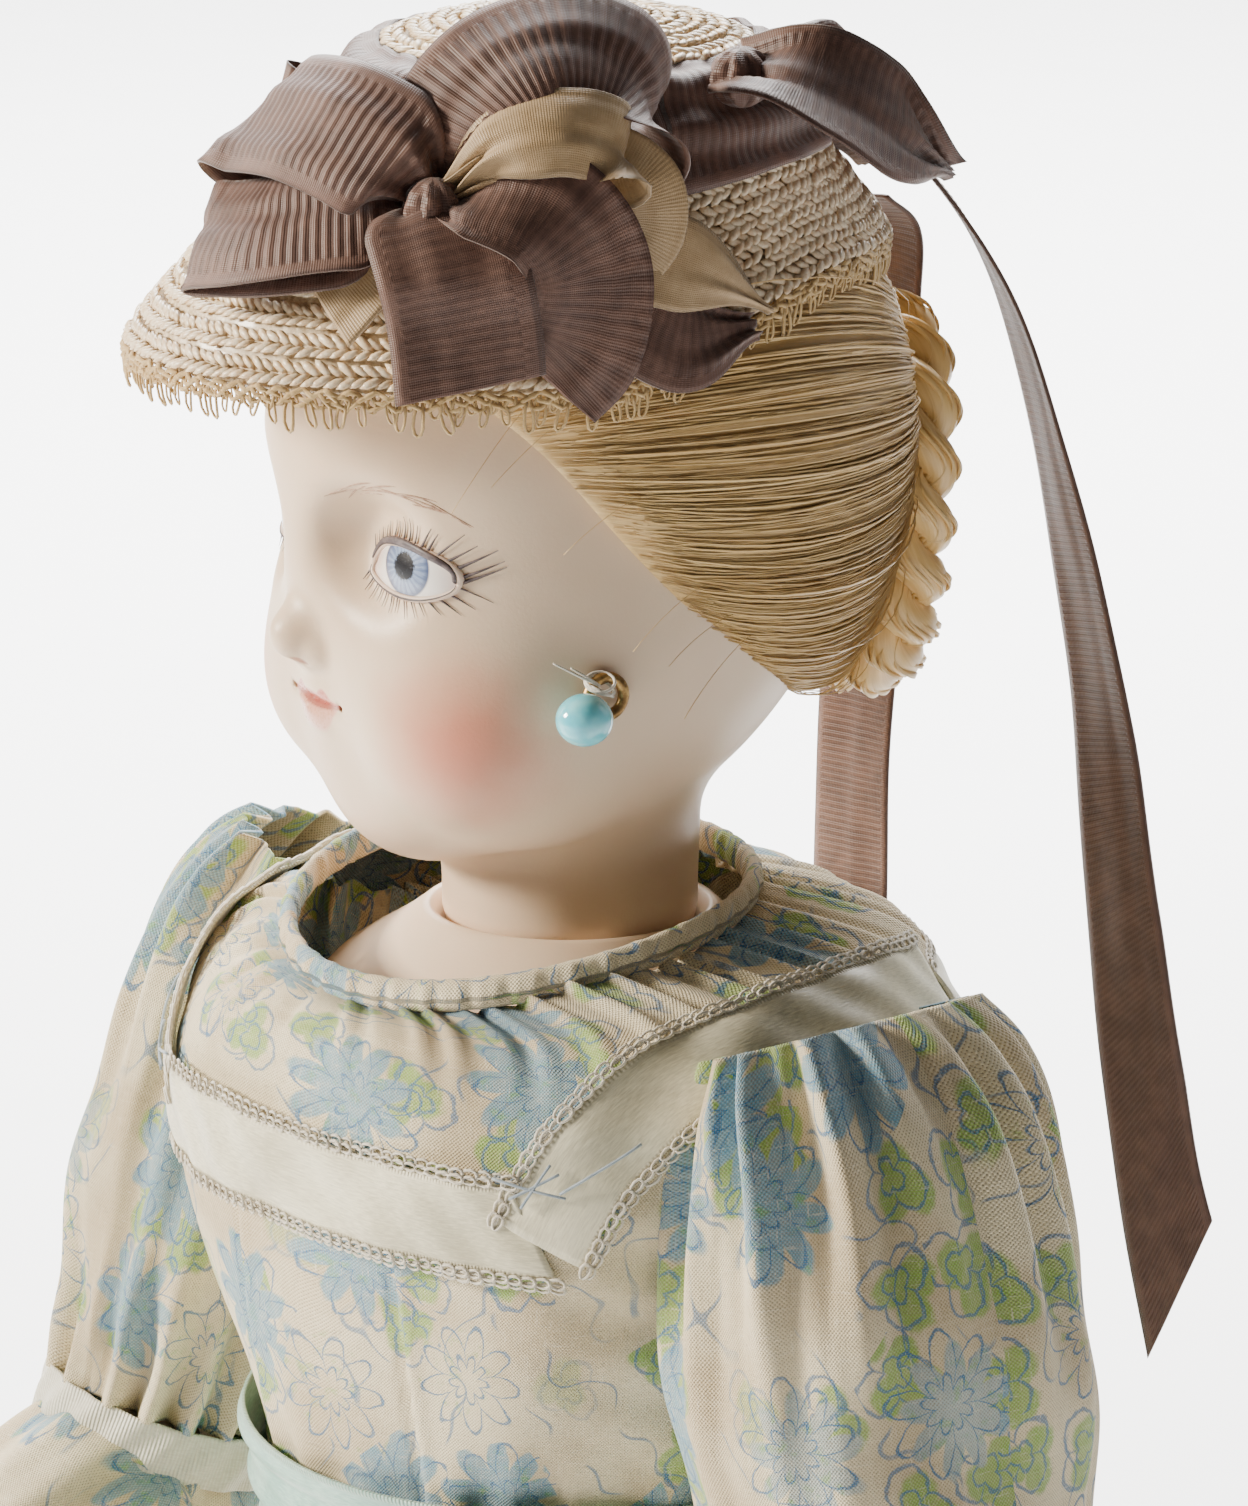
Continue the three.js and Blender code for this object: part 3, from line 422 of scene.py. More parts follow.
class Graph:
    """One material's node tree round a Principled shader."""

    def __init__(self, name: str, **constants: object) -> None:
        """Make the material.

        Args:
            name: the material's name.
            constants: numbers set on the shader's own sockets, with _ for a space.
        """
        self.material = bpy.data.materials.new(name)
        self.material.use_nodes = True
        self.tree = self.material.node_tree
        self.tree.nodes.clear()
        self.shader = self.tree.nodes.new("ShaderNodeBsdfPrincipled")
        out = self.tree.nodes.new("ShaderNodeOutputMaterial")
        self.tree.links.new(self.shader.outputs[0], out.inputs[0])
        for key, value in constants.items():
            self.set(self.shader, key.replace("_", " "), value)

    def set(self, node: bpy.types.Node, key: int | str, value: object) -> None:
        """Set or link one input socket."""
        socket = node.inputs[key]
        if isinstance(value, Socket):
            self.tree.links.new(value.link, socket)
        elif isinstance(value, tuple) and len(value) == 3 and socket.type == "RGBA":
            socket.default_value = (*value, 1.0)
        else:
            socket.default_value = value

    def node(self, kind: str, settings: dict[str, object] | None = None,
             inputs: dict[int | str, object] | None = None, output: int | str = 0) -> Socket:
        """Add any node.

        Args:
            kind: the node's type.
            settings: its settings, set first; a ramp's stops are place and colour pairs.
            inputs: values or links by socket name or number.
            output: which output to return.

        Returns:
            The chosen output.
        """
        made = self.tree.nodes.new(kind)
        for key, value in (settings or {}).items():
            if key == "stops":
                elements = made.color_ramp.elements
                while len(elements) < len(value):
                    elements.new(0.5)
                for element, (place, colour) in zip(elements, value):
                    element.position, element.color = place, (*colour, 1.0)
            else:
                setattr(made, key, value)
        for key, value in (inputs or {}).items():
            self.set(made, key, value)
        return Socket(self, made.outputs[output])

    def mix(self, share: object, low: object, high: object, blend: str = "MIX") -> Socket:
        """Mix two colours by a share."""
        settings = {"data_type": "RGBA", "blend_type": blend}
        return self.node("ShaderNodeMix", settings, {0: share, 6: low, 7: high}, 2)

    def parts(self, vector: Socket) -> tuple[Socket, Socket, Socket]:
        """Split a vector into its three numbers."""
        made = self.tree.nodes.new("ShaderNodeSeparateXYZ")
        self.tree.links.new(vector.link, made.inputs[0])
        return tuple(Socket(self, made.outputs[k]) for k in range(3))

    def vector(self, x: object, y: object, z: object = 0.0) -> Socket:
        """Join three numbers into a vector."""
        return self.node("ShaderNodeCombineXYZ", inputs={0: x, 1: y, 2: z})

    def moved(self, place: Socket, by: Sequence[float]) -> Socket:
        """Give places moved by a fixed amount."""
        return self.node("ShaderNodeVectorMath", {"operation": "ADD"}, {0: place, 1: by})

    def place(self) -> Socket:
        """Read the place on the piece in millimetres of the doll's frame."""
        raw = self.node("ShaderNodeTexCoord", output="Object")
        return self.node("ShaderNodeVectorMath", {"operation": "SCALE"}, {0: raw, "Scale": 1 / MM})

    def head_place(self) -> Socket:
        """Read the place in millimetres of the head's own frame, up from the neck's rim."""
        raw = self.node("ShaderNodeTexCoord", output="Object")
        settings = {"vector_type": "TEXTURE"}
        turn = {"Vector": raw, "Location": (0, 0, RIM * MM), "Rotation": (0, 0, HEAD_TURN),
                "Scale": (MM, MM, MM)}
        return self.node("ShaderNodeMapping", settings, turn)

    def cloth(self) -> Socket:
        """Read the piece's own flat cloth coordinates in millimetres."""
        return self.node("ShaderNodeUVMap", {"uv_map": "cloth"})

    def noise(self, place: Socket, scale: float, detail: float = 2.0, rough: float = 0.5) -> Socket:
        """Read soft noise from 0 to 1."""
        inputs = {"Vector": place, "Scale": scale, "Detail": detail, "Roughness": rough}
        return self.node("ShaderNodeTexNoise", inputs=inputs)

    def finish(self, colour: object, roughness: object, height: object = None, depth: float = 0.1,
               strength: float = 1.0) -> Material:
        """Link colour, roughness and a bump to the shader.

        Args:
            colour: the base colour.
            roughness: the roughness.
            height: the bump's height in parts of depth.
            depth: how high a bump of 1 stands, in millimetres.
            strength: the bump's strength.

        Returns:
            The finished material.
        """
        self.set(self.shader, "Base Color", colour)
        self.set(self.shader, "Roughness", roughness)
        if height is not None:
            inputs = {"Height": height, "Distance": depth * MM, "Strength": strength}
            self.set(self.shader, "Normal", self.node("ShaderNodeBump", inputs=inputs))
        return self.material


# ---- finishes ----

BISQUE: Colour = (0.72, 0.56, 0.405)
IVORY: Colour = (0.80, 0.75, 0.60)


class Side(Enum):
    """The doll's own left and right; left is towards +x."""

    LEFT = 1
    RIGHT = -1

    @property
    def word(self) -> str:
        """Give the side's name as CAD nodes spell it."""
        return self.name.lower()


@dataclass(frozen=True)
class Bisque:
    """Unglazed porcelain: matt, faintly pitted, a little mottled under its pale wash."""

    name: str = "bisque"
    base: Colour = BISQUE
    grain_mm: float = 0.02

    def graph(self) -> tuple[Graph, Socket, Socket, Socket]:
        """Start the material.

        Returns:
            The graph, its colour, its roughness and its bump height.
        """
        g = Graph(self.name, Subsurface_Weight=0.12, Subsurface_Scale=0.004, Specular_IOR_Level=0.42)
        g.set(g.shader, "Subsurface Radius", (1.0, 0.45, 0.25))
        place = g.place()
        cloud = g.noise(place, 0.045, 3.0)
        fine = g.noise(place, 2.6, 3.0, 0.6)
        deep = tuple(c * k for c, k in zip(self.base, (0.94, 0.9, 0.86)))
        colour = g.mix(cloud.rise(0.35, 0.7), deep, self.base)
        return g, colour, 0.36 + 0.12 * fine, fine

    def material(self) -> Material:
        """Make the plain material."""
        g, colour, rough, fine = self.graph()
        return g.finish(colour, rough, fine, self.grain_mm)


@dataclass(frozen=True)
class PaintedFace(Bisque):
    """The head's bisque with its fired blush, lips and nostril dots, placed in the head's own frame."""

    name: str = "painted_bisque"
    blush: Colour = (0.62, 0.16, 0.09)
    blush_centre: tuple[float, float, float] = (21.4, -22.4, 25.6)
    blush_radius: float = 13.5
    lip: Colour = (0.50, 0.10, 0.07)
    lip_line: Colour = (0.33, 0.08, 0.06)
    mouth_half: float = 6.4
    mouth_height: float = 26.0

    def material(self) -> Material:
        """Make the painted material."""
        g, colour, rough, fine = self.graph()
        x, y, z = g.parts(g.head_place())
        side = abs(x)
        bx, by, bz = self.blush_centre
        away = ((side - bx) * (side - bx) + (y - by) * (y - by) + (z - bz) * (z - bz) * 1.15) ** 0.5
        patchy = g.noise(g.place(), 0.12, 3.0) - 0.5
        blush = (away + patchy * 5).rise(self.blush_radius, 1.5) * 0.80
        colour = g.mix(blush, colour, self.blush)
        # Painted shade under the chin: the chin's underside and the front of the neck are darkened to a
        # warm brown, most towards the bottom.
        warm = (g.node("ShaderNodeMapRange", {"interpolation_type": "SMOOTHSTEP"},
                       {0: z, 1: 20.0, 2: 8.0, 3: 0.0, 4: 0.16}) * y.rise(-8, -20))
        colour = g.mix(warm, colour, (0.70, 0.40, 0.30))
        front = y.rise(-20, -25)
        t = side / self.mouth_half
        inside = t.rise(1.02, 0.86)
        line = self.mouth_height + t * t * 0.9 - 0.35
        bow = line + (1 - t * t) * 1.55 + 0.75 * (t * 7.2 - 1.6).wave().most(0.0) * t.rise(0.9, 0.4)
        low = line - (1 - t * t * t) * 3.0 * t.rise(1.12, 0.35)
        upper = (z - line).rise(-0.1, 0.15) * (bow - z).rise(-0.15, 0.25) * inside * front
        lower = (line - z).rise(-0.1, 0.15) * (z - low).rise(-0.15, 0.55) * inside * front
        colour = g.mix(lower * 0.72, colour, (0.62, 0.27, 0.20))
        colour = g.mix(upper * 0.85, colour, self.lip)
        crease = abs(z - line).rise(0.42, 0.1) * inside * front
        colour = g.mix(crease * 0.75, colour, self.lip_line)
        dot = (((side - 1.75) / 0.75) ** 2 + ((z - 30.9) / 0.5) ** 2).rise(1.3, 0.5) * y.rise(-27, -30)
        colour = g.mix(dot * 0.55, colour, (0.42, 0.13, 0.09))
        shine = (upper + lower).least(1.0)
        return g.finish(colour, rough - 0.14 * shine, fine, self.grain_mm)


@dataclass(frozen=True)
class EyePaint:
    """A blown eye: warm white, a fine-rayed grey-blue iris with a dark rim and a speckled black pupil."""

    centre: tuple[float, float, float]
    iris_radius: float = 3.25
    pupil_radius: float = 1.45
    name: str = "eye_paint"

    def material(self) -> Material:
        """Make the eye's material."""
        g = Graph(self.name, Coat_Weight=0.6, Coat_Roughness=0.12, Specular_IOR_Level=0.5)
        place = g.head_place()
        x, y, z = g.parts(place)
        cx, cy, cz = self.centre
        outward = math.copysign(1.0, cx)
        u, v, w = (x - cx) * (0.85 * outward), z - cz, y - cy
        away = (u * u + v * v + w * w) ** 0.5
        angle = g.node("ShaderNodeMath", {"operation": "ARCTAN2"}, {0: v, 1: u})
        rays = g.noise(g.vector(angle * 3.2, away * 0.25), 3.0, 4.0, 0.7)
        rays = (angle * 22 + rays * 9).wave() * 0.5 + 0.5
        iris = g.mix(rays * 0.6 + away.rise(2.6, 1.5) * 0.3, (0.10, 0.14, 0.26), (0.28, 0.36, 0.52))
        iris = g.mix(away.rise(self.iris_radius - 0.75, self.iris_radius), iris, (0.05, 0.07, 0.15))
        speck = g.noise(place, 4.6, 2.0, 0.8)
        edge = away + (speck - 0.5) * 0.8
        ink = edge.rise(self.pupil_radius + 0.18, self.pupil_radius - 0.12)
        black = g.mix(speck.rise(0.62, 0.72) * 0.35, (0.006, 0.006, 0.009), (0.20, 0.22, 0.28))
        iris = g.mix(ink, iris, black)
        white = g.mix(abs(u).rise(3.2, 6.0), (0.74, 0.70, 0.66), (0.66, 0.50, 0.44))
        # Painted shade of the upper lid: the top of the white is darkened to grey.
        white = g.mix(v.rise(1.1, 2.9) * 0.5, white, (0.34, 0.32, 0.36))
        colour = g.mix(away.rise(self.iris_radius + 0.14, self.iris_radius - 0.14), white, iris)
        return g.finish(colour, 0.2 + 0.1 * speck)


@dataclass(frozen=True)
class Paint:
    """A thin fired stroke of china paint."""

    name: str
    base: Colour
    thin: Colour

    def material(self) -> Material:
        """Make the stroke's material, thinner where the brush ran dry."""
        g = Graph(self.name, Specular_IOR_Level=0.4)
        dry = g.noise(g.place(), 1.3, 3.0)
        return g.finish(g.mix(dry.rise(0.35, 0.75), self.base, self.thin), 0.42 + 0.12 * dry)


# ---- the head ----

@dataclass
class HeadForm:
    """The modelled surface of the head: ellipsoids blended in its own frame, mm above the neck's rim.

    Each lump is a centre, radii and a blend width; lumps in hollows are taken away.
    """

    lumps: tuple = (((0, 1, 52), (30.5, 34, 35), 0), ((0, -4, 33), (27.5, 25, 24), 9),
                    ((13, -14.5, 25), (13.5, 14, 13), 8), ((-13, -14.5, 25), (13.5, 14, 13), 8),
                    ((0, -17.5, 16), (11, 9, 8.5), 6), ((0, -20.5, 25), (8, 8, 7), 5),
                    ((0, -27, 39), (2.6, 3.4, 9), 4), ((0, -30.7, 33.5), (3.2, 4.2, 3.3), 2.6), )
    hollows: tuple = (((12.3, -30.3, 44.5), (7.3, 5.6, 5.8), 4.5),)
    details: tuple = (((12.5, -18.4, 43.2), (7.6, 8.0, 7.0), 2.5), ((2.9, -29.4, 32.2), (1.7, 2.4, 1.7),
            1.4), ((0, -28.2, 27.9), (4.2, 2.0, 1.15), 1.3), ((0, -28.0, 24.2), (3.6, 2.2, 1.5), 1.4), )
    cuts: tuple = (((0, -30.6, 26.0), (5.6, 1.6, 0.22), 0.8), ((5.9, -27.8, 26.3), (0.9, 1.3, 0.9), 1.2),
                   ((1.8, -33.3, 30.6), (0.55, 1.5, 0.42), 0.6), ((0, -32.9, 29.6), (0.6, 1.2, 1.2), 1.0), )
    neck_radius: float = 14.2

    @staticmethod
    def _lump(p: Array, centre: Sequence[float], radii: Sequence[float]) -> Array:
        """Measure roughly how far points are outside one ellipsoid."""
        q = p - np.asarray(centre, float)
        r = np.asarray(radii, float)
        near = np.linalg.norm(q / r, axis=-1)
        slope = np.linalg.norm(q / r**2, axis=-1)
        return near * (near - 1) / np.maximum(slope, 1e-6)

    @staticmethod
    def _join(a: Array, b: Array, width: float) -> Array:
        """Join two distances with a smooth fillet of a width."""
        if not width:
            return np.minimum(a, b)
        h = np.maximum(width - np.abs(a - b), 0) / width
        return np.minimum(a, b) - h * h * width / 4

    def distance(self, points: Array) -> Array:
        """Measure how far points are outside the head.

        Args:
            points: rows in the head's frame.

        Returns:
            Millimetres, negative inside.
        """
        p = np.asarray(points, float)
        found = self._lump(p, *self.lumps[0][:2])
        for centre, radii, width in self.lumps[1:]:
            found = self._join(found, self._lump(p, centre, radii), width)
        mirrored = np.stack([np.abs(p[..., 0]), p[..., 1], p[..., 2]], axis=-1)
        for centre, radii, width in self.hollows:
            found = -self._join(-found, self._lump(mirrored, centre, radii), width)
        for centre, radii, width in self.details:
            found = self._join(found, self._lump(mirrored, centre, radii), width)
        for centre, radii, width in self.cuts:
            found = -self._join(-found, self._lump(mirrored, centre, radii), width)
        return self._join(found, self.neck(p), 4.0)

    def neck(self, p: Array) -> Array:
        """Measure how far points are outside the neck and its ball end."""
        out = np.hypot(p[..., 0], p[..., 1])
        height = p[..., 2] - 3
        radius = (self.neck_radius - 0.3 + 0.035 * np.clip(height, 0, None) + 0.006 * np.clip(height - 8, 0,
                None) ** 2)
        side = np.maximum(out - radius, p[..., 2] - 30)
        ball = np.sqrt(out**2 + height**2) - self.neck_radius
        return np.where(height > 0, side, np.maximum(ball, side))

    def normal(self, points: Array) -> Array:
        """Find the outward direction at points."""
        step = 0.15
        rows = [self.distance(points + np.eye(3)[k] * step) - self.distance(points - np.eye(3)[k] * step)
                for k in range(3)]
        return unit(np.stack(rows, axis=-1))

    def project(self, points: Array, out: float = 0.0, rounds: int = 6) -> Array:
        """Move points on to the surface, or to a small height over it.

        Args:
            points: rows near the head.
            out: the height over the surface.
            rounds: how many corrections are made.

        Returns:
            The moved points.
        """
        p = np.asarray(points, float).copy()
        for _ in range(rounds):
            gap = np.clip(self.distance(p) - out, -3, 3)
            p -= self.normal(p) * gap[..., None] * 0.9
        return p

    def on_front(self, left: Array, up: Array, out: float = 0.0) -> Array:
        """Find where lines from straight ahead meet the face.

        Args:
            left: places across.
            up: places up.
            out: height over the surface.

        Returns:
            Points on the face.
        """
        left, up = np.broadcast_arrays(np.asarray(left, float), np.asarray(up, float))
        near, far = np.full(left.shape, -48.0), np.full(left.shape, 0.0)
        for _ in range(26):
            middle = (near + far) / 2
            outside = self.distance(np.stack([left, middle, up], -1)) > out
            near, far = np.where(outside, middle, near), np.where(outside, far, middle)
        return np.stack([left, near, up], -1)


def cells_of(distance: Callable[[Array], Array], low: Array, high: Array, cell: float) -> tuple[Array,
        Array]:
    """Mesh a solid by joining the grid cells that its surface passes through.

    Args:
        distance: how far points are outside the solid.
        low: lowest corner of the grid.
        high: highest corner.
        cell: the grid's spacing.

    Returns:
        A point for each such cell, and quads.
    """
    counts = np.ceil((high - low) / cell).astype(int) + 1
    axes = [low[k] + cell * np.arange(counts[k]) for k in range(3)]
    inside = distance(np.stack(np.meshgrid(*axes, indexing="ij"), -1)) < 0
    total = sum(inside[i:counts[0] - 1 + i, j:counts[1] - 1 + j, k:counts[2] - 1 + k].astype(int)
                for i in (0, 1) for j in (0, 1) for k in (0, 1))
    active = (total > 0) & (total < 8)
    index = -np.ones(active.shape, int)
    index[active] = np.arange(active.sum())
    points = low + (np.argwhere(active) + 0.5) * cell
    quads = []
    for axis in range(3):
        b, c = (axis + 1) % 3, (axis + 2) % 3
        here, there = [slice(1, -1)] * 3, [slice(1, -1)] * 3
        there[axis] = slice(2, None)
        at = np.argwhere(inside[tuple(here)] != inside[tuple(there)]) + 1
        ring = []
        for db, dc in ((-1, -1), (0, -1), (0, 0), (-1, 0)):
            q = at.copy()
            q[:, b] += db
            q[:, c] += dc
            ring.append(index[tuple(q.T)])
        quad = np.stack(ring, -1)
        hollow = ~inside[tuple(at.T)]
        quad[hollow] = quad[hollow][:, ::-1]
        quads.append(quad[(quad >= 0).all(axis=1)])
    return points, np.vstack(quads)


@dataclass
class Head:
    """The bisque swivel head with its painted face and set eyes."""

    form: HeadForm = field(default_factory=HeadForm)
    cell: float = 1.0
    wall: float = 2.6
    crown: float = 74.0  # height of the cut under the pate
    eye: tuple[float, float] = (14.9, 42.6)
    eye_half: float = 6.5
    lid_up: float = 3.0
    lid_down: float = 2.3

    def shell(self) -> Mesh:
        """Mesh the surface by joining the cells that it passes through, then settle it on the form.

        Returns:
            The head's outer surface down to the neck's ball.
        """
        low, high = np.array([-36.0, -40.0, -12.5]), np.array([36.0, 40.0, self.crown + 1])
        points, quads = cells_of(lambda p: np.maximum(self.form.distance(p),
                p[..., 2] - (self.crown - 0.6)), low, high, self.cell)
        top = points[:, 2] > self.crown - 1.6
        body = self.form.project(points)
        points = np.where(top[:, None], points, body)
        points, quads = self.finer(points, quads)
        settled = self.form.project(points, rounds=4)
        points = np.where((points[:, 2] > self.crown - 1.6)[:, None], points, settled)
        mesh = Mesh()
        mesh.add_quads(in_head(points), quads)
        return mesh

    @staticmethod
    def finer(points: Array, quads: Array) -> tuple[Array, Array]:
        """Cut each quad in four.

        Args:
            points: the mesh's points.
            quads: its faces.

        Returns:
            The new points and faces.
        """
        edges = np.sort(np.stack([quads, np.roll(quads, -1, axis=1)], -1).reshape(-1, 2), axis=1)
        single, back = np.unique(edges, axis=0, return_inverse=True)
        middle = points[single].mean(axis=1)
        centre = points[quads].mean(axis=1)
        edge = back.reshape(-1, 4) + len(points)
        face = np.arange(len(quads)) + len(points) + len(single)
        new = [np.stack([quads[:, k], edge[:, k], face, edge[:, k - 1]], -1) for k in range(4)]
        return np.vstack([points, middle, centre]), np.vstack(new)

    def eye_outline(self, count: int = 48) -> Array:
        """Trace the almond of an eye's opening, from its inner corner over the top.

        Args:
            count: how many points.

        Returns:
            Rows of places across (outward) and up from the eye's centre.
        """
        angle = even_angles(count)
        across = -np.cos(angle) * self.eye_half
        over = np.sin(angle)
        top = self.lid_up * np.abs(over) ** 0.85 * (1 + 0.12 * np.cos(angle))
        low = -self.lid_down * np.abs(over) ** 0.8 * (1 - 0.18 * np.cos(angle))
        return np.column_stack([across, np.where(over >= 0, top, low) + 0.06 * across])

    def build_eye(self, side: Side, bisque: Material, line: Material) -> None:
        """Make one set eye with its lids and its painted lashes.

        Args:
            side: which eye.
            bisque: the lids' material.
            line: the material of the painted line and lashes.
        """
        sign = side.value
        cx, cz = self.eye
        outline = self.eye_outline()
        rings = np.linspace(0, 1, 12)[:, None, None]
        flat = outline[None] * rings * 1.02
        face = self.form.on_front(sign * (cx + flat[..., 0]), cz + flat[..., 1], 0.05)
        depth = 0.35 * (1 - rings[..., 0] ** 2)
        face = face + self.form.normal(face) * depth[..., None]
        eye = Mesh()
        eye.grid(in_head(face), across=True)
        back = face + np.array([0, 1.6, 0])
        eye.grid(in_head(back[::-1]), across=True)
        eye.grid(in_head(np.stack([face[-1], back[-1]])), across=True)
        centre = self.form.on_front(np.array([sign * (cx + 0.5)]), np.array([cz + 0.9]))[0]
        piece = eye.build(f"{side.word}_eye")
        mend_normals(piece)
        paint = EyePaint(tuple(float(v) for v in centre), name=f"{side.word}_eye_paint")
        dress(piece, paint.material(), "head", "bisque")

        lid = Mesh()
        rim = self.form.on_front(sign * (cx + outline[:, 0] * 1.04), cz + outline[:, 1] * 1.06, 0.1)
        up = self.form.normal(rim)
        thick = np.where(outline[:, 1] > 0, 0.55, 0.34)
        add_tube(lid, in_head(rim), thick, 8, 0.75, turn_head(up), closed=True)
        lid.finish(f"{side.word}_eyelids", bisque, "head", "bisque")

        strokes = Mesh()
        upper = outline[outline[:, 1] > -0.2]
        upper = upper[np.argsort(upper[:, 0])]
        rim = path_through(np.column_stack([upper, np.zeros(len(upper))]), 40)[:, :2]
        share = np.linspace(0, 1, 40)
        path = self.form.on_front(sign * (cx + rim[:, 0] * 1.03), cz + rim[:, 1] * 1.07 + 0.1, 0.42)
        add_tube(strokes, in_head(path), 0.14 + 0.34 * np.sin(share * math.pi) ** 0.6, 6, 0.5,
                 turn_head(self.form.normal(path)))
        lower = outline[outline[:, 1] < 0.2]
        lower = lower[np.argsort(lower[:, 0])]
        rim_low = path_through(np.column_stack([lower, np.zeros(len(lower))]), 40)[:, :2]
        path = self.form.on_front(sign * (cx + rim_low[:, 0] * 1.03), cz + rim_low[:, 1] * 1.07, 0.32)
        add_tube(strokes, in_head(path), 0.05 + 0.07 * np.sin(share * math.pi), 5, 0.5,
                 turn_head(self.form.normal(path)))
        draw = np.random.default_rng(11 + sign)
        for curve, count, reach, rise in ((rim, 17, 2.7, 1.0), (rim_low, 14, 1.8, -1.0)):
            for k in range(count):
                s = 0.03 + 0.95 * k / (count - 1)
                root = np.array([np.interp(s, share, curve[:, i]) for i in (0, 1)]) * 1.05
                lean = (s - 0.30) * 1.75
                way = unit(np.array([lean + draw.normal(0, 0.1), rise * (1.15 - 0.55 * max(lean, 0))]))
                size = reach * (0.55 + 0.55 * s) * draw.uniform(0.8, 1.15)
                t = np.linspace(0, 1, 7)[:, None]
                bend = np.array([0.16, 0.28 * rise]) * size
                flat = root + way * size * t + bend * t * t
                path = self.form.on_front(sign * (cx + flat[:, 0]), cz + flat[:, 1], 0.16)
                width = (0.21 if rise > 0 else 0.15) * (1 - 0.8 * t[:, 0]) * draw.uniform(0.85, 1.2)
                add_tube(strokes, in_head(path), width, 4, 0.5, turn_head(self.form.normal(path)))
        piece = strokes.build(f"{side.word}_lashes")
        dress(piece, line, "head", "bisque")

    def build_brow(self, side: Side, material: Material) -> None:
        """Paint one brow as fine overlapping strokes along its arch."""
        sign = side.value
        arch = path_through([(6.2, 0, 49.4), (10.7, 0, 51.1), (15.5, 0, 51.5), (19.4, 0, 50.6),
                             (22.7, 0, 48.6)], 60)
        draw = np.random.default_rng(31 + sign)
        brow = Mesh()
        for k in range(15):
            start = k / 15 * 50
            span = np.linspace(start, min(start + 15, 59), 8)
            line = np.column_stack([np.interp(span, np.arange(60), arch[:, i]) for i in (0, 2)])
            t = np.linspace(-1, 1, 8)
            line[:, 1] += draw.normal(0, 0.28) + t * draw.uniform(-0.35, 0.5)
            path = self.form.on_front(sign * line[:, 0], line[:, 1], 0.03)
            add_tube(brow, in_head(path), 0.09 * (1 - t**2) ** 0.5 + 0.012, 4, 0.45,
                     turn_head(self.form.normal(path)))
        dress(brow.build(f"{side.word}_brow"), material, "head", "bisque")

    def build(self) -> None:
        """Build and dress the head."""
        mesh = self.shell()
        head = mesh.build("bisque_head")
        dress(head, PaintedFace().material(), "head", "bisque", ["head"])
        plain = Bisque(name="lid_bisque", base=(0.72, 0.55, 0.45)).material()
        line = Paint("lash_paint", (0.055, 0.04, 0.045), (0.13, 0.10, 0.10)).material()
        brow = Paint("brow_paint", (0.40, 0.24, 0.16), (0.62, 0.46, 0.34)).material()
        for side in Side:
            self.build_eye(side, plain, line)
            self.build_brow(side, brow)


# ---- the camera, lights and floor ----

@dataclass
class Studio:
    """The camera, the soft light and the plain pale floor."""

    azimuth: float = 50.0
    elevation: float = 15.0
    target: tuple[float, float, float] = (0.60, 7.16, 329.5)
    distance: float = 800.0
    lens: float = 176.0

    def build(self) -> None:
        """Place the camera, lights and floor."""
        scene = bpy.context.scene
        a, e = math.radians(self.azimuth), math.radians(self.elevation)
        back = Vector((math.sin(a) * math.cos(e), -math.cos(a) * math.cos(e), math.sin(e)))
        camera = bpy.data.objects.new("camera", bpy.data.cameras.new("camera"))
        camera.data.lens, camera.data.sensor_width, camera.data.sensor_fit = self.lens, 36.0, "AUTO"
        camera.data.clip_start = 0.01
        camera.location = (Vector(self.target) + back * self.distance) * MM
        camera.rotation_euler = back.to_track_quat("Z", "Y").to_euler()
        scene.collection.objects.link(camera)
        scene.camera = camera
        self.light("window", (-0.80, -0.98, 0.80), 0.30, 52.0, (1.0, 0.92, 0.79))
        self.light("fill", (1.1, -0.5, 0.45), 1.1, 0.7, (1.0, 0.93, 0.85))
        self.light("back", (0.3, 1.1, 1.0), 0.8, 1.5, (0.95, 0.97, 1.0))
        self.light("backdrop", (-1.35, 1.13, 1.5), 1.8, 260.0, (1.0, 1.0, 1.0), (-1.35, 1.14, 0.0))
        world = bpy.data.worlds.new("studio")
        scene.world = world
        world.use_nodes = True
        world.node_tree.nodes["Background"].inputs[0].default_value = (1.0, 0.97, 0.93, 1.0)
        world.node_tree.nodes["Background"].inputs[1].default_value = 0.09
        floor = bpy.data.meshes.new("floor")
        turns = even_angles(64)
        floor.from_pydata(np.column_stack([9 * np.cos(turns), 9 * np.sin(turns), np.full(64, -0.0005)]), [],
                          [range(64)])
        sweep = bpy.data.objects.new("floor", floor)
        scene.collection.objects.link(sweep)
        g = Graph("pale_floor")
        grain = g.noise(g.place(), 0.02, 2.0)
        floor.materials.append(g.finish(g.mix(grain, (0.88, 0.88, 0.88), (0.92, 0.92, 0.92)), 0.9))

    def light(self, name: str, place: Sequence[float], size: float, power: float, colour: Colour,
              aim: Sequence[float] = (0.0, 0.0, 0.33)) -> None:
        """Hang one soft area light.

        Args:
            name: the lamp's name.
            place: where it hangs, in metres.
            size: its width in metres.
            power: its power in watts.
            colour: its colour.
            aim: the place that it faces.
        """
        data = bpy.data.lights.new(name, "AREA")
        data.size, data.energy, data.color = size, power, colour
        lamp = bpy.data.objects.new(name, data)
        lamp.location = place
        lamp.rotation_euler = (Vector(place) - Vector(aim)).to_track_quat("Z", "Y").to_euler()
        bpy.context.scene.collection.objects.link(lamp)
# ---- sheets, ribbons and repeated pieces ----

def surface_normals(surface: Array, around: bool = False) -> Array:
    """Find the unit normals of a grid of points.

    Args:
        surface: rows x columns x 3.
        around: whether the columns run right round.

    Returns:
        One normal for each point.
    """
    if around:
        wide = np.concatenate([surface[:, -1:], surface, surface[:, :1]], axis=1)
        across = np.gradient(wide, axis=1)[:, 1:-1]
    else:
        across = np.gradient(surface, axis=1)
    return unit(np.cross(across, np.gradient(surface, axis=0)))


